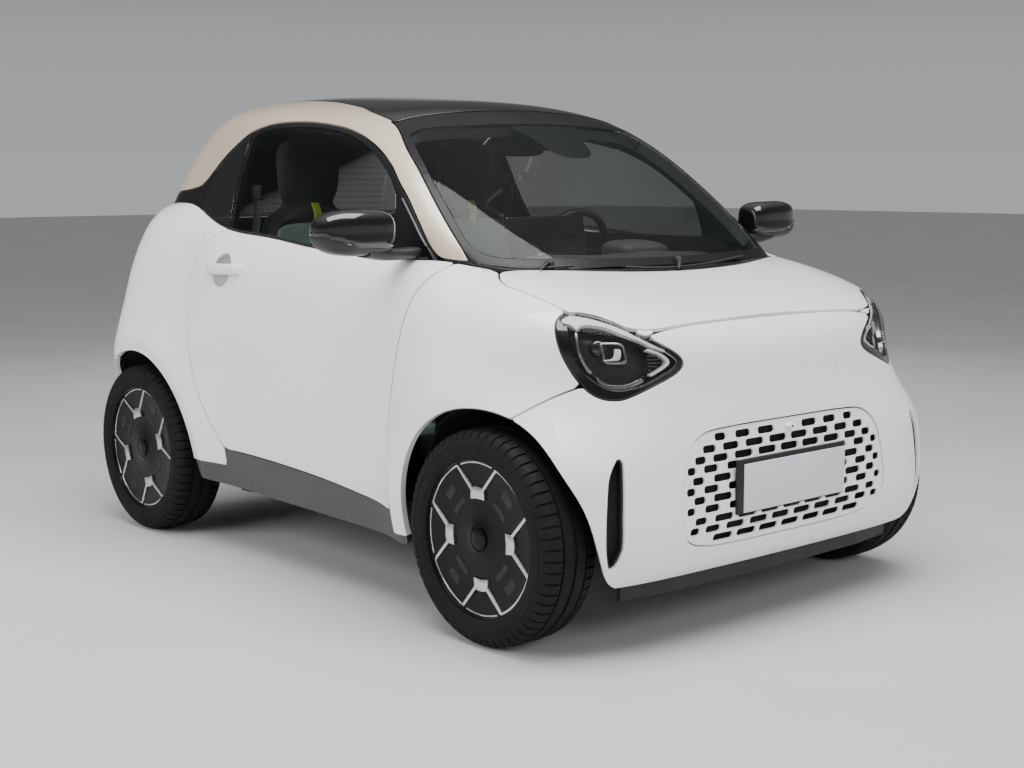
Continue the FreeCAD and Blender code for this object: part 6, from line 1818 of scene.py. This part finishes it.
# round air outlets with fins
for vx in (-.525, .525, -.150, -.010):
    big = abs(vx) > .3
    rr_, y0, z0 = (.040, -.300, .905) if big else (.031, -.292, .898)
    ring = lathe([(-.010, rr_ * .80), (-.002, rr_ * .84), (.002, rr_ * .93), (.006, rr_), (.010, rr_ * 1.04), (.006, rr_ * 1.10), (-.006, rr_ * 1.12)], 40, 0)
    turn = Matrix.Translation((vx, y0, z0)) @ Matrix.Rotation(math.radians(90), 4, "Z") @ Matrix.Rotation(math.radians(0), 4, "Y")
    g.append(moved(ring, turn))
    g.append(moved(lathe([(-.010, rr_ * .82), (-.0102, .0001)], 32, 3), turn))
    for k in (-2, -1, 0, 1, 2):
        hw = math.sqrt(max(rr_ ** 2 * .64 - (k * rr_ * .30) ** 2, 0))
        g.append(rbox((hw * 2, .010, .0022), (vx, y0 - .001, z0 + k * rr_ * .30), .0008, 1, 0))
    g.append(rbox((.006, .012, rr_ * 1.5), (vx, y0 - .003, z0), .001, 1, 0))
# switch row, glovebox edge, centre stack and tray
for k in range(6):
    g.append(rbox((.022, .008, .013), (-.080 + (k - 2.5) * .026, -.327, .838), .003, 2, 3))
g.append(rbox((.340, .006, .004), (-.330, -.3335, .800), .0015, 1, 3))
g.append(rbox((.060, .010, .012), (-.330, -.334, .782), .004, 2, 2))
solid("dash_fittings", g, [M["gloss_black"], M["display"], M["softpad"], M["hard"]], "body", angle=40)
# console between the seats
rings = []
for y, w, z1, z0 in ((-.47, .085, .62, .26), (-.40, .092, .60, .25), (-.30, .094, .50, .25), (-.20, .092, .405, .25), (-.05, .088, .375, .25), (.10, .086, .372, .25), (.20, .084, .385, .25), (.31, .080, .392, .25), (.35, .072, .370, .25)):
    hz, zc_ = (z1 - z0) / 2, (z1 + z0) / 2
    rings.append([(w * math.copysign(abs(math.cos(t)) ** .4, math.cos(t)), y, zc_ + hz * math.copysign(abs(math.sin(t)) ** .4, math.sin(t))) for t in np.linspace(0, 2 * math.pi, 40, endpoint=False)])
g = [rings_geo(rings, mat=0)]
for y in (-.06, .03):
    g.append(moved(lathe([(-.02, .0), (-.02, .033), (.0, .036), (.003, .037), (.004, .040), (.001, .042)], 36, 1), Matrix.Translation((0, y, .378)) @ Matrix.Rotation(math.radians(-90), 4, "Y")))
g.append(rbox((.10, .17, .028), (0, .245, .402), .012, 4, 2))
solid("centre_console", g, [M["hard"], M["gloss_black"], M["softpad"]], "body", angle=45)

# ---------------------------------------------------------------- steering wheel and column
th = math.radians(25)
SWC = np.array([.330, -.060, .965])
SWM = Matrix.Translation(SWC) @ Matrix(((1, 0, 0, 0), (0, -math.sin(th), -math.cos(th), 0), (0, math.cos(th), -math.sin(th), 0), (0, 0, 0, 1)))
# local frame: x across, y up in the wheel's plane, z away from the driver
rim = []
for t in np.linspace(0, 2 * math.pi, 120, endpoint=False):
    y = .178 * math.sin(t)
    rim.append((.178 * math.cos(t), max(y, -.170 + (y + .178) * .25) if y < -.168 else y, 0))
g = [tube(rim, [.0138 + .0016 * math.exp(-(abs(abs(math.atan2(p[1], p[0])) - .5) / .35) ** 2) for p in rim], 16, closed_path=True, mat=0)]
rings = []
for k, (z, s_) in enumerate(((.050, .050), (.046, .058), (.020, .066), (.002, .068), (-.010, .066), (-.018, .060), (-.0225, .050), (-.0245, .030), (-.025, .002))):
    rings.append([(s_ * 1.12 * math.copysign(abs(math.cos(t)) ** .72, math.cos(t)), s_ * .92 * math.copysign(abs(math.sin(t)) ** .72, math.sin(t)) - .004, z) for t in np.linspace(0, 2 * math.pi, 56, endpoint=False)])
g.append(rings_geo(rings, mat=1))
for s_ in (1, -1):
    rings = []
    for x, h, t_, z in ((.060, .034, .012, .010), (.090, .028, .010, .009), (.125, .021, .009, .006), (.155, .016, .009, .003), (.172, .014, .010, .0)):
        rings.append([(s_ * x, .008 + h * math.copysign(abs(math.cos(t)) ** .6, math.cos(t)), z + t_ * math.copysign(abs(math.sin(t)) ** .6, math.sin(t))) for t in np.linspace(0, 2 * math.pi, 28, endpoint=False)])
    if s_ < 0:
        rings = rings[::-1]
    g.append(rings_geo(rings, mat=2))
    for k in range(3):
        g.append(rbox((.012, .010, .006), (s_ * (.086 + .016 * k), .010, -.002), .002, 2, 3))
rings = []
for y, h, t_, z in ((-.052, .026, .010, .010), (-.085, .019, .009, .009), (-.125, .015, .008, .006), (-.160, .015, .009, .001)):
    rings.append([(h * math.copysign(abs(math.cos(t)) ** .6, math.cos(t)), y, z + t_ * math.copysign(abs(math.sin(t)) ** .6, math.sin(t))) for t in np.linspace(0, 2 * math.pi, 28, endpoint=False)][::-1])
g.append(rings_geo(rings[::-1], mat=2))
solid("steering_wheel_trim", [moved(q_, SWM) for q_ in g], [M["leather"], M["softpad"], M["gloss_black"], M["hard"]], "steering_wheel", ["steering_wheel"], 45)
g = []
rings = []
for z, a_, b_ in ((.064, .030, .030), (.066, .040, .040), (.100, .046, .046), (.160, .050, .055), (.220, .054, .066), (.300, .056, .075), (.330, .050, .07)):
    rings.append([(a_ * math.copysign(abs(math.cos(t)) ** .7, math.cos(t)), -.010 + b_ * math.copysign(abs(math.sin(t)) ** .7, math.sin(t)) * .92, z) for t in np.linspace(0, 2 * math.pi, 40, endpoint=False)])
g.append(rings_geo(rings, mat=0))
for s_, bend in ((1, .02), (-1, -.01)):
    g.append(tube([(s_ * .035, .006, .088), (s_ * .085, .012, .080), (s_ * .125, .018 + bend, .070), (s_ * .150, .022 + bend, .064)], [.006, .0065, .009, .007], 10, flat=.7, mat=1))
solid("column_shroud", [moved(q_, SWM) for q_ in g], [M["hard"], M["gloss_black"]], "body", ["steering_column"], 45)

# ---------------------------------------------------------------- interior mirror, visors, belts
g = []
rings = []
mc = np.array([0, -.195, 1.345])
for y, s_ in ((-.014, .80), (-.012, .90), (-.006, .97), (.004, 1.0), (.010, .99), (.0125, .965)):
    rings.append([(mc[0] + .109 * s_ * math.copysign(abs(math.cos(t)) ** .6, math.cos(t)), mc[1] + y, mc[2] + .033 * s_ * math.copysign(abs(math.sin(t)) ** .7, math.sin(t))) for t in np.linspace(0, 2 * math.pi, 56, endpoint=False)])
g.append(rings_geo(rings, mat=0))
g.append(rings_geo([[(mc[0] + (p[0] - mc[0]) * k, mc[1] + .0130, mc[2] + (p[2] - mc[2]) * k) for p in rings[-1]] for k in (.96, .5, .02)], True, False, False, 1))
g.append(tube([(0, -.205, 1.352), (0, -.222, 1.372), (0, -.236, 1.398)], [.014, .010, .013], 14, mat=0))
g = [moved(q_, Matrix.Translation(mc.tolist()) @ Matrix.Rotation(math.radians(8), 4, "X") @ Matrix.Translation((-mc).tolist())) for q_ in g[:2]] + g[2:]
solid("cabin_mirror", g, [M["hard"], M["mirror_glass"]], "body", ["interior_mirror"], 45)

g = []
for s_ in (1, -1):
    path = []
    for x, wy, t_ in ((.105, .050, .006), (.112, .066, .009), (.14, .078, .011), (.30, .082, .0115), (.42, .078, .011), (.455, .062, .009), (.462, .045, .006)):
        yc = -.135 + .010 * (x / .46) ** 2
        zc_ = 1.4085 - .030 * (x / .46) ** 2 - .006
        path.append([(s_ * x, yc + wy * math.copysign(abs(math.cos(t)) ** .6, math.cos(t)), zc_ + t_ * math.sin(t) + .42 * wy * math.cos(t) * .6) for t in np.linspace(0, 2 * math.pi, 32, endpoint=False)])
    g.append(rings_geo(path if s_ < 0 else path[::-1], mat=0))
    g.append(tube([(s_ * .40, -.185, 1.384), (s_ * .45, -.188, 1.378), (s_ * .475, -.186, 1.377)], .004, 8, mat=1))
solid("sun_visors", g, [M["visor"], M["hard"]], "body", angle=50)
g = [rbox((.150, .090, .034), (0, -.262, 1.392), .012, 3, 0), rbox((.060, .040, .03), (0, -.318, 1.366), .008, 3, 0)]
solid("camera_housing", [moved(q_, Matrix.Translation((0, -.27, 1.39)) @ Matrix.Rotation(math.radians(24), 4, "X") @ Matrix.Translation((0, .27, -1.39))) for q_ in g], [M["hard"]], "body")
pod = loop([[(-.150, 1.412), (.150, 1.412)], [(.150, 1.412), (.105, 1.372), (.085, 1.325)], [(.085, 1.325), (.04, 1.312), (-.04, 1.312), (-.085, 1.325)], [(-.085, 1.325), (-.105, 1.372), (-.150, 1.412)]], .015)
panel("screen_shade", canopy, AND(R("Y", pod), H(1, -.08)), M["band"], "body", "gloss_black", [], off=.006, r=.0004, gap=0, depth=0)

g = []
for s_ in (1, -1):
    run = [(s_ * .566, .505, 1.190), (s_ * .572, .507, 1.10), (s_ * .589, .500, 1.00), (s_ * .598, .492, .90), (s_ * .602, .485, .70), (s_ * .603, .480, .50), (s_ * .600, .47, .36)]
    p = np.array(run)
    q_ = np.stack([Curve(np.arange(len(p)), p[:, k])(np.linspace(0, len(p) - 1, 60)) for k in range(3)], 1)
    rows = []
    for a in q_:
        rows.append([(a[0] - s_ * .010 + s_ * dx, a[1] + dy, a[2]) for dx, dy in ((0, -.023), (.0016, -.0232), (.0016, .0232), (0, .023))])
    g.append(rings_geo(rows if s_ > 0 else [r_[::-1] for r_ in rows], mat=0))
    g.append(moved(rbox((.016, .052, .050), (0, 0, 0), .007, 3, 1), Matrix.Translation((s_ * .561, .505, 1.196))))
    g.append(rbox((.008, .050, .012), (s_ * .553, .505, 1.176), .003, 2, 1))
    g.append(rbox((.014, .030, .052), (s_ * .583, .478, .52), .005, 3, 1))
solid("seat_belts", g, [M["belt"], M["hard"]], "body", angle=40)

# ---------------------------------------------------------------- linings
lin = AND(NOT(R("X", aperture)), NOT(R("X", quarter_o)), OR(NOT(R("Y", ws_in)), H(1, -.10, -1)), OR(NOT(R("Y", rg_in)), H(1, .985)), H(2, 1.045, -1))
lin.bounds = None
g1 = cut_panel(canopy, AND(lin, H(2, 1.375, -1)), off=.046, gap=0, r=.0006, depth=-.034)
shaped("roof_lining", [geo3(g1)], [M["lining"]], "body")
g2 = cut_panel(canopy, AND(lin, H(2, 1.375)), off=.044, gap=0, r=.0006, depth=-.032)
shaped("pillar_linings", [geo3(g2)], [M["hard"]], "body")

# door inner trims
def trim_x(P):
    y, z = P[..., 1], P[..., 2]
    x = .668 - .022 * ease((-.38 - y) / .14) - .012 * ease((z - .97) / .07)
    arm = ease((z - .560) / .045) * ease((.700 - z) / .018) * ease((y + .40) / .12) * ease((.38 - y) / .10)
    pocket = ease((z - .385) / .03) * ease((.520 - z) / .05) * ease((y + .42) / .06) * ease((.34 - y) / .06)
    dish = ease((z - .725) / .025) * ease((.935 - z) / .025) * ease((y + .40) / .06) * ease((.36 - y) / .06)
    return x - .040 * arm - .018 * pocket + .008 * dish


ys, zs = np.arange(-.56, .62, .0072), np.arange(.32, 1.050, .0072)
O = np.empty((len(ys), len(zs), 3))
O[..., 1], O[..., 2] = np.meshgrid(ys, zs, indexing="ij")
O[..., 0] = .45
D = np.zeros(O.shape)
D[..., 0] = 1
trim_patch = Patch(lambda P: P[..., 0] - trim_x(P), O, D)
trim_o = loop([[(-.480, .355), (-.490, .70), (-.520, .90), (-.545, 1.018)], [(-.545, 1.018), (-.47, 1.036), (-.20, 1.040), (.10, 1.044), (.46, 1.046)], [(.46, 1.046), (.50, .95), (.465, .70), (.440, .55), (.40, .44), (.385, .385)],
                [(.385, .385), (.10, .372), (-.25, .355), (-.480, .355)]], [.02, .02, .02, .03])
mint_o = loop([[(-.385, .748), (-.392, .83), (-.380, .915)], [(-.380, .915), (.345, .925)], [(.345, .925), (.350, .84), (.335, .755)], [(.335, .755), (-.385, .748)]], .03)
tr1 = cut_panel(trim_patch, AND(R("X", trim_o), NOT(R("X", mint_o))), gap=.002, r=.0025, depth=-.0)
tr2 = cut_panel(trim_patch, R("X", mint_o), gap=.002, r=.0035, depth=.004)
tr3 = cut_panel(trim_patch, AND(R("X", trim_o, grow=.001), NOT(R("X", trim_o, grow=-.004))), gap=0, r=.0006, depth=-.020, off=.001)
extra = []
ring = lathe([(-.004, .066), (-.0075, .070), (-.0055, .0745), (.002, .0765)], 56, 0)
extra.append(moved((ring[0], ring[1], 3), Matrix.Translation((.6640, -.395, .452))))
for rr_ in (.012, .024, .036, .048, .059):
    n = max(6, int(rr_ / .0019))
    for k in range(0, n, 2):
        a = 2 * math.pi * k / n
        extra.append(rbox((.003, .0034, .0034), (.6630, -.395 + rr_ * math.cos(a), .452 + rr_ * math.sin(a)), .0008, 1, 3))
hd = [(.640, .050, .862), (.628, .090, .862), (.626, .14, .862), (.636, .185, .862)]
extra_h = [rbox((.012, .150, .030), (.659, .095, .862), .005, 3, 4), tube(hd, [.006, .0075, .0075, .006], 10, flat=1.4, mat=5)]
for sd, sx in (("left", 1), ("right", -1)):
    geos = [tr1 + (0,), tr2 + (1,), tr3 + (2,)]
    if sx < 0:
        geos = [flip_x(q_[0], q_[1], q_[2]) + (q_[3],) for q_ in geos]
    V, N, Fc, Mi = join_geo(geos)
    # the visible side looks into the cabin
    Fc = [f[::-1] for f in Fc]
    put(make_mesh("door_trim_" + sd, V, Fc, -N, [M["softpad"], M["mint"], M["hard"]], Mi), "door_" + sd)
    g = [(q_[0], q_[1], {3: 0, 4: 1, 5: 2}[q_[2]]) for q_ in extra + extra_h]
    solid("door_trim_fittings_" + sd, [q_ if sx > 0 else flipped(q_) for q_ in g], [M["hard"], M["gloss_black"], M["satin_silver"]], "door_" + sd, angle=40)

# floor and boot carpets, rear bulkhead carpet
def lofted_sheet(xs, ys, fz_, thick=.006, mat=0):
    xs, ys = np.array(xs), np.array(ys)
    top = np.array([[(x, y, fz_(x, y)) for y in ys] for x in xs])
    n, m = top.shape[:2]
    V = np.vstack([top.reshape(-1, 3), top.reshape(-1, 3) - np.array([0, 0, thick])])
    Fc = []
    for i in range(n - 1):
        for j in range(m - 1):
            a, b, c, d = i * m + j, (i + 1) * m + j, (i + 1) * m + j + 1, i * m + j + 1
            Fc.append([a, b, c, d])
            k = n * m
            Fc.append([d + k, c + k, b + k, a + k])
    edge = [i * m for i in range(n)] + [(n - 1) * m + j for j in range(1, m)] + [i * m + m - 1 for i in range(n - 2, -1, -1)] + [j for j in range(m - 2, 0, -1)]
    for p, q_ in zip(edge, edge[1:] + edge[:1]):
        Fc.append([p, p + n * m, q_ + n * m, q_])
    return to_geo(V, Fc, mat)


def floor_z(x, y):
    z = .2525 + .004 * math.sin(x * 9) * math.sin(y * 7)
    z += .34 * float(ease((-.40 - y) / .12)) * (1 if abs(x) < .60 else 0)
    z += .045 * math.exp(-(x / .055) ** 4) * float(ease((.36 - y) / .1))
    z += .030 * float(ease((abs(x) - .515) / .03))
    return z


def boot_z(x, y):
    return .5785 + .003 * math.sin(x * 8 + 1) * math.sin(y * 9) + .10 * float(ease((abs(x) - .425) / .05)) + .05 * float(ease((y - 1.12) / .06)) - 0.0


solid("cabin_carpet", [lofted_sheet(np.linspace(-.548, .548, 90), np.linspace(-.512, .562, 84), floor_z)], [M["carpet"]], "body", angle=60)
solid("boot_carpet", [lofted_sheet(np.linspace(-.470, .470, 80), np.linspace(.588, 1.176, 50), boot_z)], [M["carpet"]], "body", angle=60)
wall = []
for k, (z, y) in enumerate(zip(np.linspace(.262, .572, 14), [.572] * 14)):
    wall.append([(x, .571 + .003 * math.sin(x * 10 + z * 20), z) for x in np.linspace(-.460, .460, 50)])
solid("rear_bulkhead_carpet", [rings_geo(wall, False, False, False)], [M["carpet"]], "body", angle=60)

# ---------------------------------------------------------------- outer details
# sensor dots on the bumpers
def dot_at(f, x, z, ysign, r=.0085, lift=.0006):
    O = np.array([[x, ysign * .9, z]])
    D = np.array([[0, float(ysign), 0]])
    P = O + D * root(f, O, D)[:, None]
    N = grad(f, P)[0]
    a = np.cross(N, (0, 0, 1.0))
    a /= np.linalg.norm(a)
    b = np.cross(N, a)
    rings = [[P[0] + N * (lift * h) + r * k * (math.cos(t) * a + math.sin(t) * b) for t in np.linspace(0, 2 * math.pi, 28, endpoint=False)] for k, h in ((1.06, -3), (1.05, .4), (1.0, 1.2), (.80, 1.4), (.74, .7), (.70, 1.5), (.05, 2.0))]
    return rings_geo(rings[::-1], mat=0)


g = [dot_at(lower, sx_ * x, z, -1) for x, z in ((.523, .502), (.250, .618)) for sx_ in (1, -1)] + [dot_at(lower, sx_ * x, z, 1) for x, z in ((.50, .430), (.19, .440)) for sx_ in (1, -1)]
solid("parking_sensors", g, [M["handle"]], "body", angle=50)
# towing cover ring round the rear socket, reflectors, rear plate place
rp = float(root(lower, np.array([[0, .9, .455]]), np.array([[0, 1.0, 0]]))[0]) + .9
g = [rbox((.460, .008, .132), (0, rp + .002, .450), .005, 3, 0), rbox((.440, .004, .112), (0, rp + .0075, .450), .002, 3, 1)]
for sx_ in (1, -1):
    g.append(rbox((.020, .012, .012), (sx_ * .06, rp + .004, .534), .004, 2, 0))
solid("rear_plate_place", g, [M["trim"], M["plate"]], "body")
diff_o = loop([[(-.560, .200), (-.560, .250), (-.500, .300)], [(-.500, .300), (.500, .300)], [(.500, .300), (.560, .250), (.560, .200)], [(.560, .200), (-.560, .200)]], .02)
g5 = cut_panel(rear, AND(rounded_rects("Y", [(.435, .352, .048, .011, .010)]), H(1, 1.0, -1)), gap=0, r=.002, depth=.003, off=-.0012)
shaped("rear_reflectors", [geo3(g5)], [M["red_lens"]], "body")
g6 = cut_panel(rear, AND(R("Y", diff_o), H(1, 1.0, -1), NOT(R("X", arch_r, grow=.02)), NOT(R("Y", disc(.33, .30, .030, 48)))), gap=.002, r=.003, depth=.004, off=-.0035)
shaped("rear_lower_trim", [geo3(g6)], [M["sill"]], "body")
# gate: handle recess and high lamp
gr = loop([[(-.100, .655), (.100, .655)], [(.100, .655), (.100, .672)], [(.100, .672), (-.100, .672)], [(-.100, .672), (-.100, .655)]], .006)
g7 = cut_panel(rear, AND(R("Y", gr), H(1, 1.0, -1)), gap=0, r=.002, depth=.002, off=-.0008)
shaped("gate_grip", [geo3(g7)], [M["trim"]], "tailgate")
hl = loop([[(-.110, 1.402), (.110, 1.402)], [(.110, 1.402), (.108, 1.414)], [(.108, 1.414), (-.108, 1.414)], [(-.108, 1.414), (-.110, 1.402)]], .004)
g8 = cut_panel(canopy, AND(R("Y", hl), rear_side_h), gap=0, r=.001, depth=.002, off=-.0006)
shaped("high_brake_lamp", [geo3(g8)], [M["red_lens"]], "rear_window")
# heating lines inside the rear glass
g = []
for k in range(11):
    z = 1.120 + .023 * k
    xm = .480 - .26 * (z - 1.095) - .018
    xs_ = np.linspace(-xm, xm, 26)
    O = np.stack([xs_, np.full(26, .70), np.full(26, z)], 1)
    D = np.tile([0, 1.0, 0], (26, 1))
    fi = lambda P: upper(P) + .0075
    pts_ = O + D * root(fi, O, D)[:, None]
    g.append(tube(pts_, .0006, 4))
solid("heating_lines", g, [M["lamp_bar"]], "rear_window", angle=60)
# sail triangles at the window's front corner and the pale strip before them
sail_o = loop([[(-.399, 1.172), (-.470, 1.112), (-.575, 1.006)], [(-.575, 1.006), (-.396, 1.000)], [(-.396, 1.000), (-.392, 1.10), (-.399, 1.172)]], .005)
s1 = cut_panel(canopy, AND(R("X", sail_o), F(lower, -.010, -1)), only=(.3, 1.2), gap=0, r=.0015, depth=.003, off=.0042)
ep = dense([(-.404, 1.186), (-.440, 1.155), (-.482, 1.118), (-.522, 1.079), (-.561, 1.040), (-.590, 1.006)], 8)
O = np.stack([np.full(len(ep), .3), ep[:, 0], ep[:, 1]], 1)
D = np.tile([1.0, 0, 0], (len(ep), 1))
s2 = tube(O + D * root(upper, O, D)[:, None] + np.array([.0022, 0, 0]), .0032, 8, flat=1.5, up=(0, 1, 1), mat=1)
# rubber seal along the foot of the side glass
sy = np.linspace(-.560, .498, 60)
lo_, hi_ = np.full(60, .96), np.full(60, 1.14)
for _ in range(22):
    zm = (lo_ + hi_) / 2
    O = np.stack([np.full(60, .3), sy, zm], 1)
    D = np.tile([1.0, 0, 0], (60, 1))
    inside = lower(O + D * root(upper, O, D)[:, None]) < 0
    lo_, hi_ = np.where(inside, zm, lo_), np.where(inside, hi_, zm)
O = np.stack([np.full(60, .3), sy, (lo_ + hi_) / 2 + .001], 1)
sp3 = O + D * root(upper, O, D)[:, None]
seal = tube(sp3 + np.array([.0030, 0, 0]), .0036, 8, flat=1.2, up=(0, 0, 1))
for sd, sx in (("left", 1), ("right", -1)):
    geos = [s1 + (0,)]
    if sx < 0:
        geos = [flip_x(q_[0], q_[1], q_[2]) + (q_[3],) for q_ in geos]
    V, N, Fc, Mi = join_geo(geos)
    put(make_mesh("sail_trim_" + sd, V, Fc, N, [M["trim"]], Mi), "door_" + sd)
    solid("glass_foot_seal_" + sd, [g_ if sx > 0 else flipped(g_) for g_ in (seal, s2)], [M["rubber"], M["sill"]], "door_" + sd, angle=60)


# ---------------------------------------------------------------- floor, light, camera
def studio():
    sc = bpy.context.scene
    me = bpy.data.meshes.new("floor")
    s = 40
    me.from_pydata([(-s, -s, 0), (s, -s, 0), (s, s, 0), (-s, s, 0)], [], [(0, 1, 2, 3)])
    fl = bpy.data.objects.new("studio_floor", me)
    sc.collection.objects.link(fl)
    m, nt, bs, tc = nodes_of("floor_grey")
    n = noise(nt, tc, 1.2, 4)
    r = ramp(nt, n.outputs[0], [(.3, (.50, .50, .50)), (.7, (.54, .54, .54))])
    nt.links.new(r.outputs[0], bs.inputs["Base Color"])
    bs.inputs["Roughness"].default_value = .75
    me.materials.append(m)
    w = bpy.data.worlds.new("studio")
    sc.world = w
    w.use_nodes = True
    nt = w.node_tree
    nt.nodes.clear()
    out = nt.nodes.new("ShaderNodeOutputWorld")
    bg = nt.nodes.new("ShaderNodeBackground")
    tc = nt.nodes.new("ShaderNodeTexCoord")
    sp = nt.nodes.new("ShaderNodeSeparateXYZ")
    nt.links.new(tc.outputs["Generated"], sp.inputs[0])
    r = nt.nodes.new("ShaderNodeValToRGB")
    el = r.color_ramp.elements
    el[0].position, el[0].color = .0, (.50, .51, .53, 1)
    el[1].position, el[1].color = 1.0, (.85, .85, .86, 1)
    for p_, c_ in ((.09, .44), (.20, .12), (.45, .10), (.66, .36), (.82, .66)):
        e = el.new(p_)
        e.color = (c_, c_ * 1.01, c_ * 1.03, 1)
    nt.links.new(sp.outputs["Z"], r.inputs[0])
    nt.links.new(r.outputs[0], bg.inputs[0])
    bg.inputs[1].default_value = .85
    nt.links.new(bg.outputs[0], out.inputs[0])

    def area(name, loc, aim, size, power, col=(1, 1, 1)):
        li = bpy.data.lights.new(name, "AREA")
        li.shape = "RECTANGLE"
        li.size, li.size_y = size
        li.energy = power
        li.color = col
        ob = bpy.data.objects.new(name, li)
        ob.location = loc
        d = Vector(aim) - Vector(loc)
        ob.rotation_euler = d.to_track_quat("-Z", "Y").to_euler()
        sc.collection.objects.link(ob)
        return ob
    area("key_top", (-.6, -1.4, 4.6), (0, 0, .6), (4.5, 3.2), 330)
    side = area("side_left_of_view", (-5.2, .8, 2.6), (0, .1, .6), (4.0, 2.2), 230, (1, .98, .95))
    fill = area("front_fill", (-.5, -5.6, 2.4), (0, 0, .6), (4.5, 2.0), 150, (.98, .99, 1))
    fill.visible_glossy = side.visible_glossy = False
    back = area("rear_fill", (3.6, 3.8, 3.0), (0, 0, .7), (3.5, 2.2), 80)
    back.visible_glossy = False


def camera():
    cam = bpy.data.cameras.new("photo_view")
    cam.sensor_width = 36
    cam.sensor_fit = "HORIZONTAL"
    cam.lens = 54.79
    ob = bpy.data.objects.new("photo_view", cam)
    f = Vector((.65624, .74256, -.13402)).normalized()
    right = f.cross(Vector((0, 0, 1))).normalized()
    up = right.cross(f).normalized()
    roll = math.radians(-.10)
    r2 = right * math.cos(roll) + up * math.sin(roll)
    u2 = up * math.cos(roll) - right * math.sin(roll)
    mt = Matrix((r2, u2, -f)).transposed().to_4x4()
    mt.translation = Vector((-3.4133, -4.0157, 1.2587))
    ob.matrix_world = mt
    bpy.context.scene.collection.objects.link(ob)
    bpy.context.scene.camera = ob
    cam.clip_start = .05
    cam.clip_end = 200


studio()
camera()

# ---------------------------------------------------------------- finish
LEFT = {"front_grille": "white", "corner_vents": "gloss_black", "headlamps": "lens", "air_dam": "trim", "front_plate": "plate",
        "mirror_left": "gloss_black", "mirror_right": "gloss_black", "handle_left": "handle", "handle_right": "handle",
        "front_subframe": "steel", "front_struts": "steel", "front_rails": "steel", "rear_axle": "steel", "arch_liners": "dark",
        "floor_pan": "steel", "bulkhead": "steel", "cowl": "trim", "battery_case": "alloy", "drive_motor": "alloy",
        "seat_left": "trim", "seat_right": "trim", "seat_bases": "steel", "dashboard": "trim", "steering_column": "trim",
        "towing_socket": "steel", "steering_wheel": "trim", "interior_mirror": "trim", "wipers": "trim", "knuckle_front_left": "cast", "knuckle_front_right": "cast"}
for n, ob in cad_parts.items():
    key = LEFT.get(n) or ("tyre" if n.startswith("tyre") else "alloy" if n.startswith("rim") else None)
    if key and n not in DONE:
        if not ob.material_slots:
            ob.data.materials.append(M[key])
        for s in ob.material_slots:
            s.material = M[key]

# fine meshes thinned to what shows; the outer skins keep theirs, with the normals given
THIN = [("seat_back_%s", .38, 60), ("seat_pan_%s", .38, 60), ("treaded_tyre_front_%s", .5, 32), ("treaded_tyre_rear_%s", .5, 32), ("door_trim_%s", .38, 50)]
THIN = [(n % sd, k, a) for n, k, a in THIN for sd in ("left", "right")]
THIN += [("cabin_carpet", .30, 60), ("boot_carpet", .30, 60), ("roof_lining", .38, 60), ("pillar_linings", .45, 60), ("corner_slot_liners", .45, 50), ("headlamp_inner", .55, 45), ("grille_panel", .55, 40)]
for name, keep, sharp in THIN:
    ob = bpy.data.objects[name]
    if ob.data.has_custom_normals:
        ob.data.attributes.remove(ob.data.attributes["custom_normal"])
    thin = ob.modifiers.new("thin", "DECIMATE")
    thin.ratio = keep
    me = bpy.data.meshes.new_from_object(ob.evaluated_get(bpy.context.evaluated_depsgraph_get()))
    ob.modifiers.clear()
    ob.data = me
    me.set_sharp_from_angle(angle=math.radians(sharp))
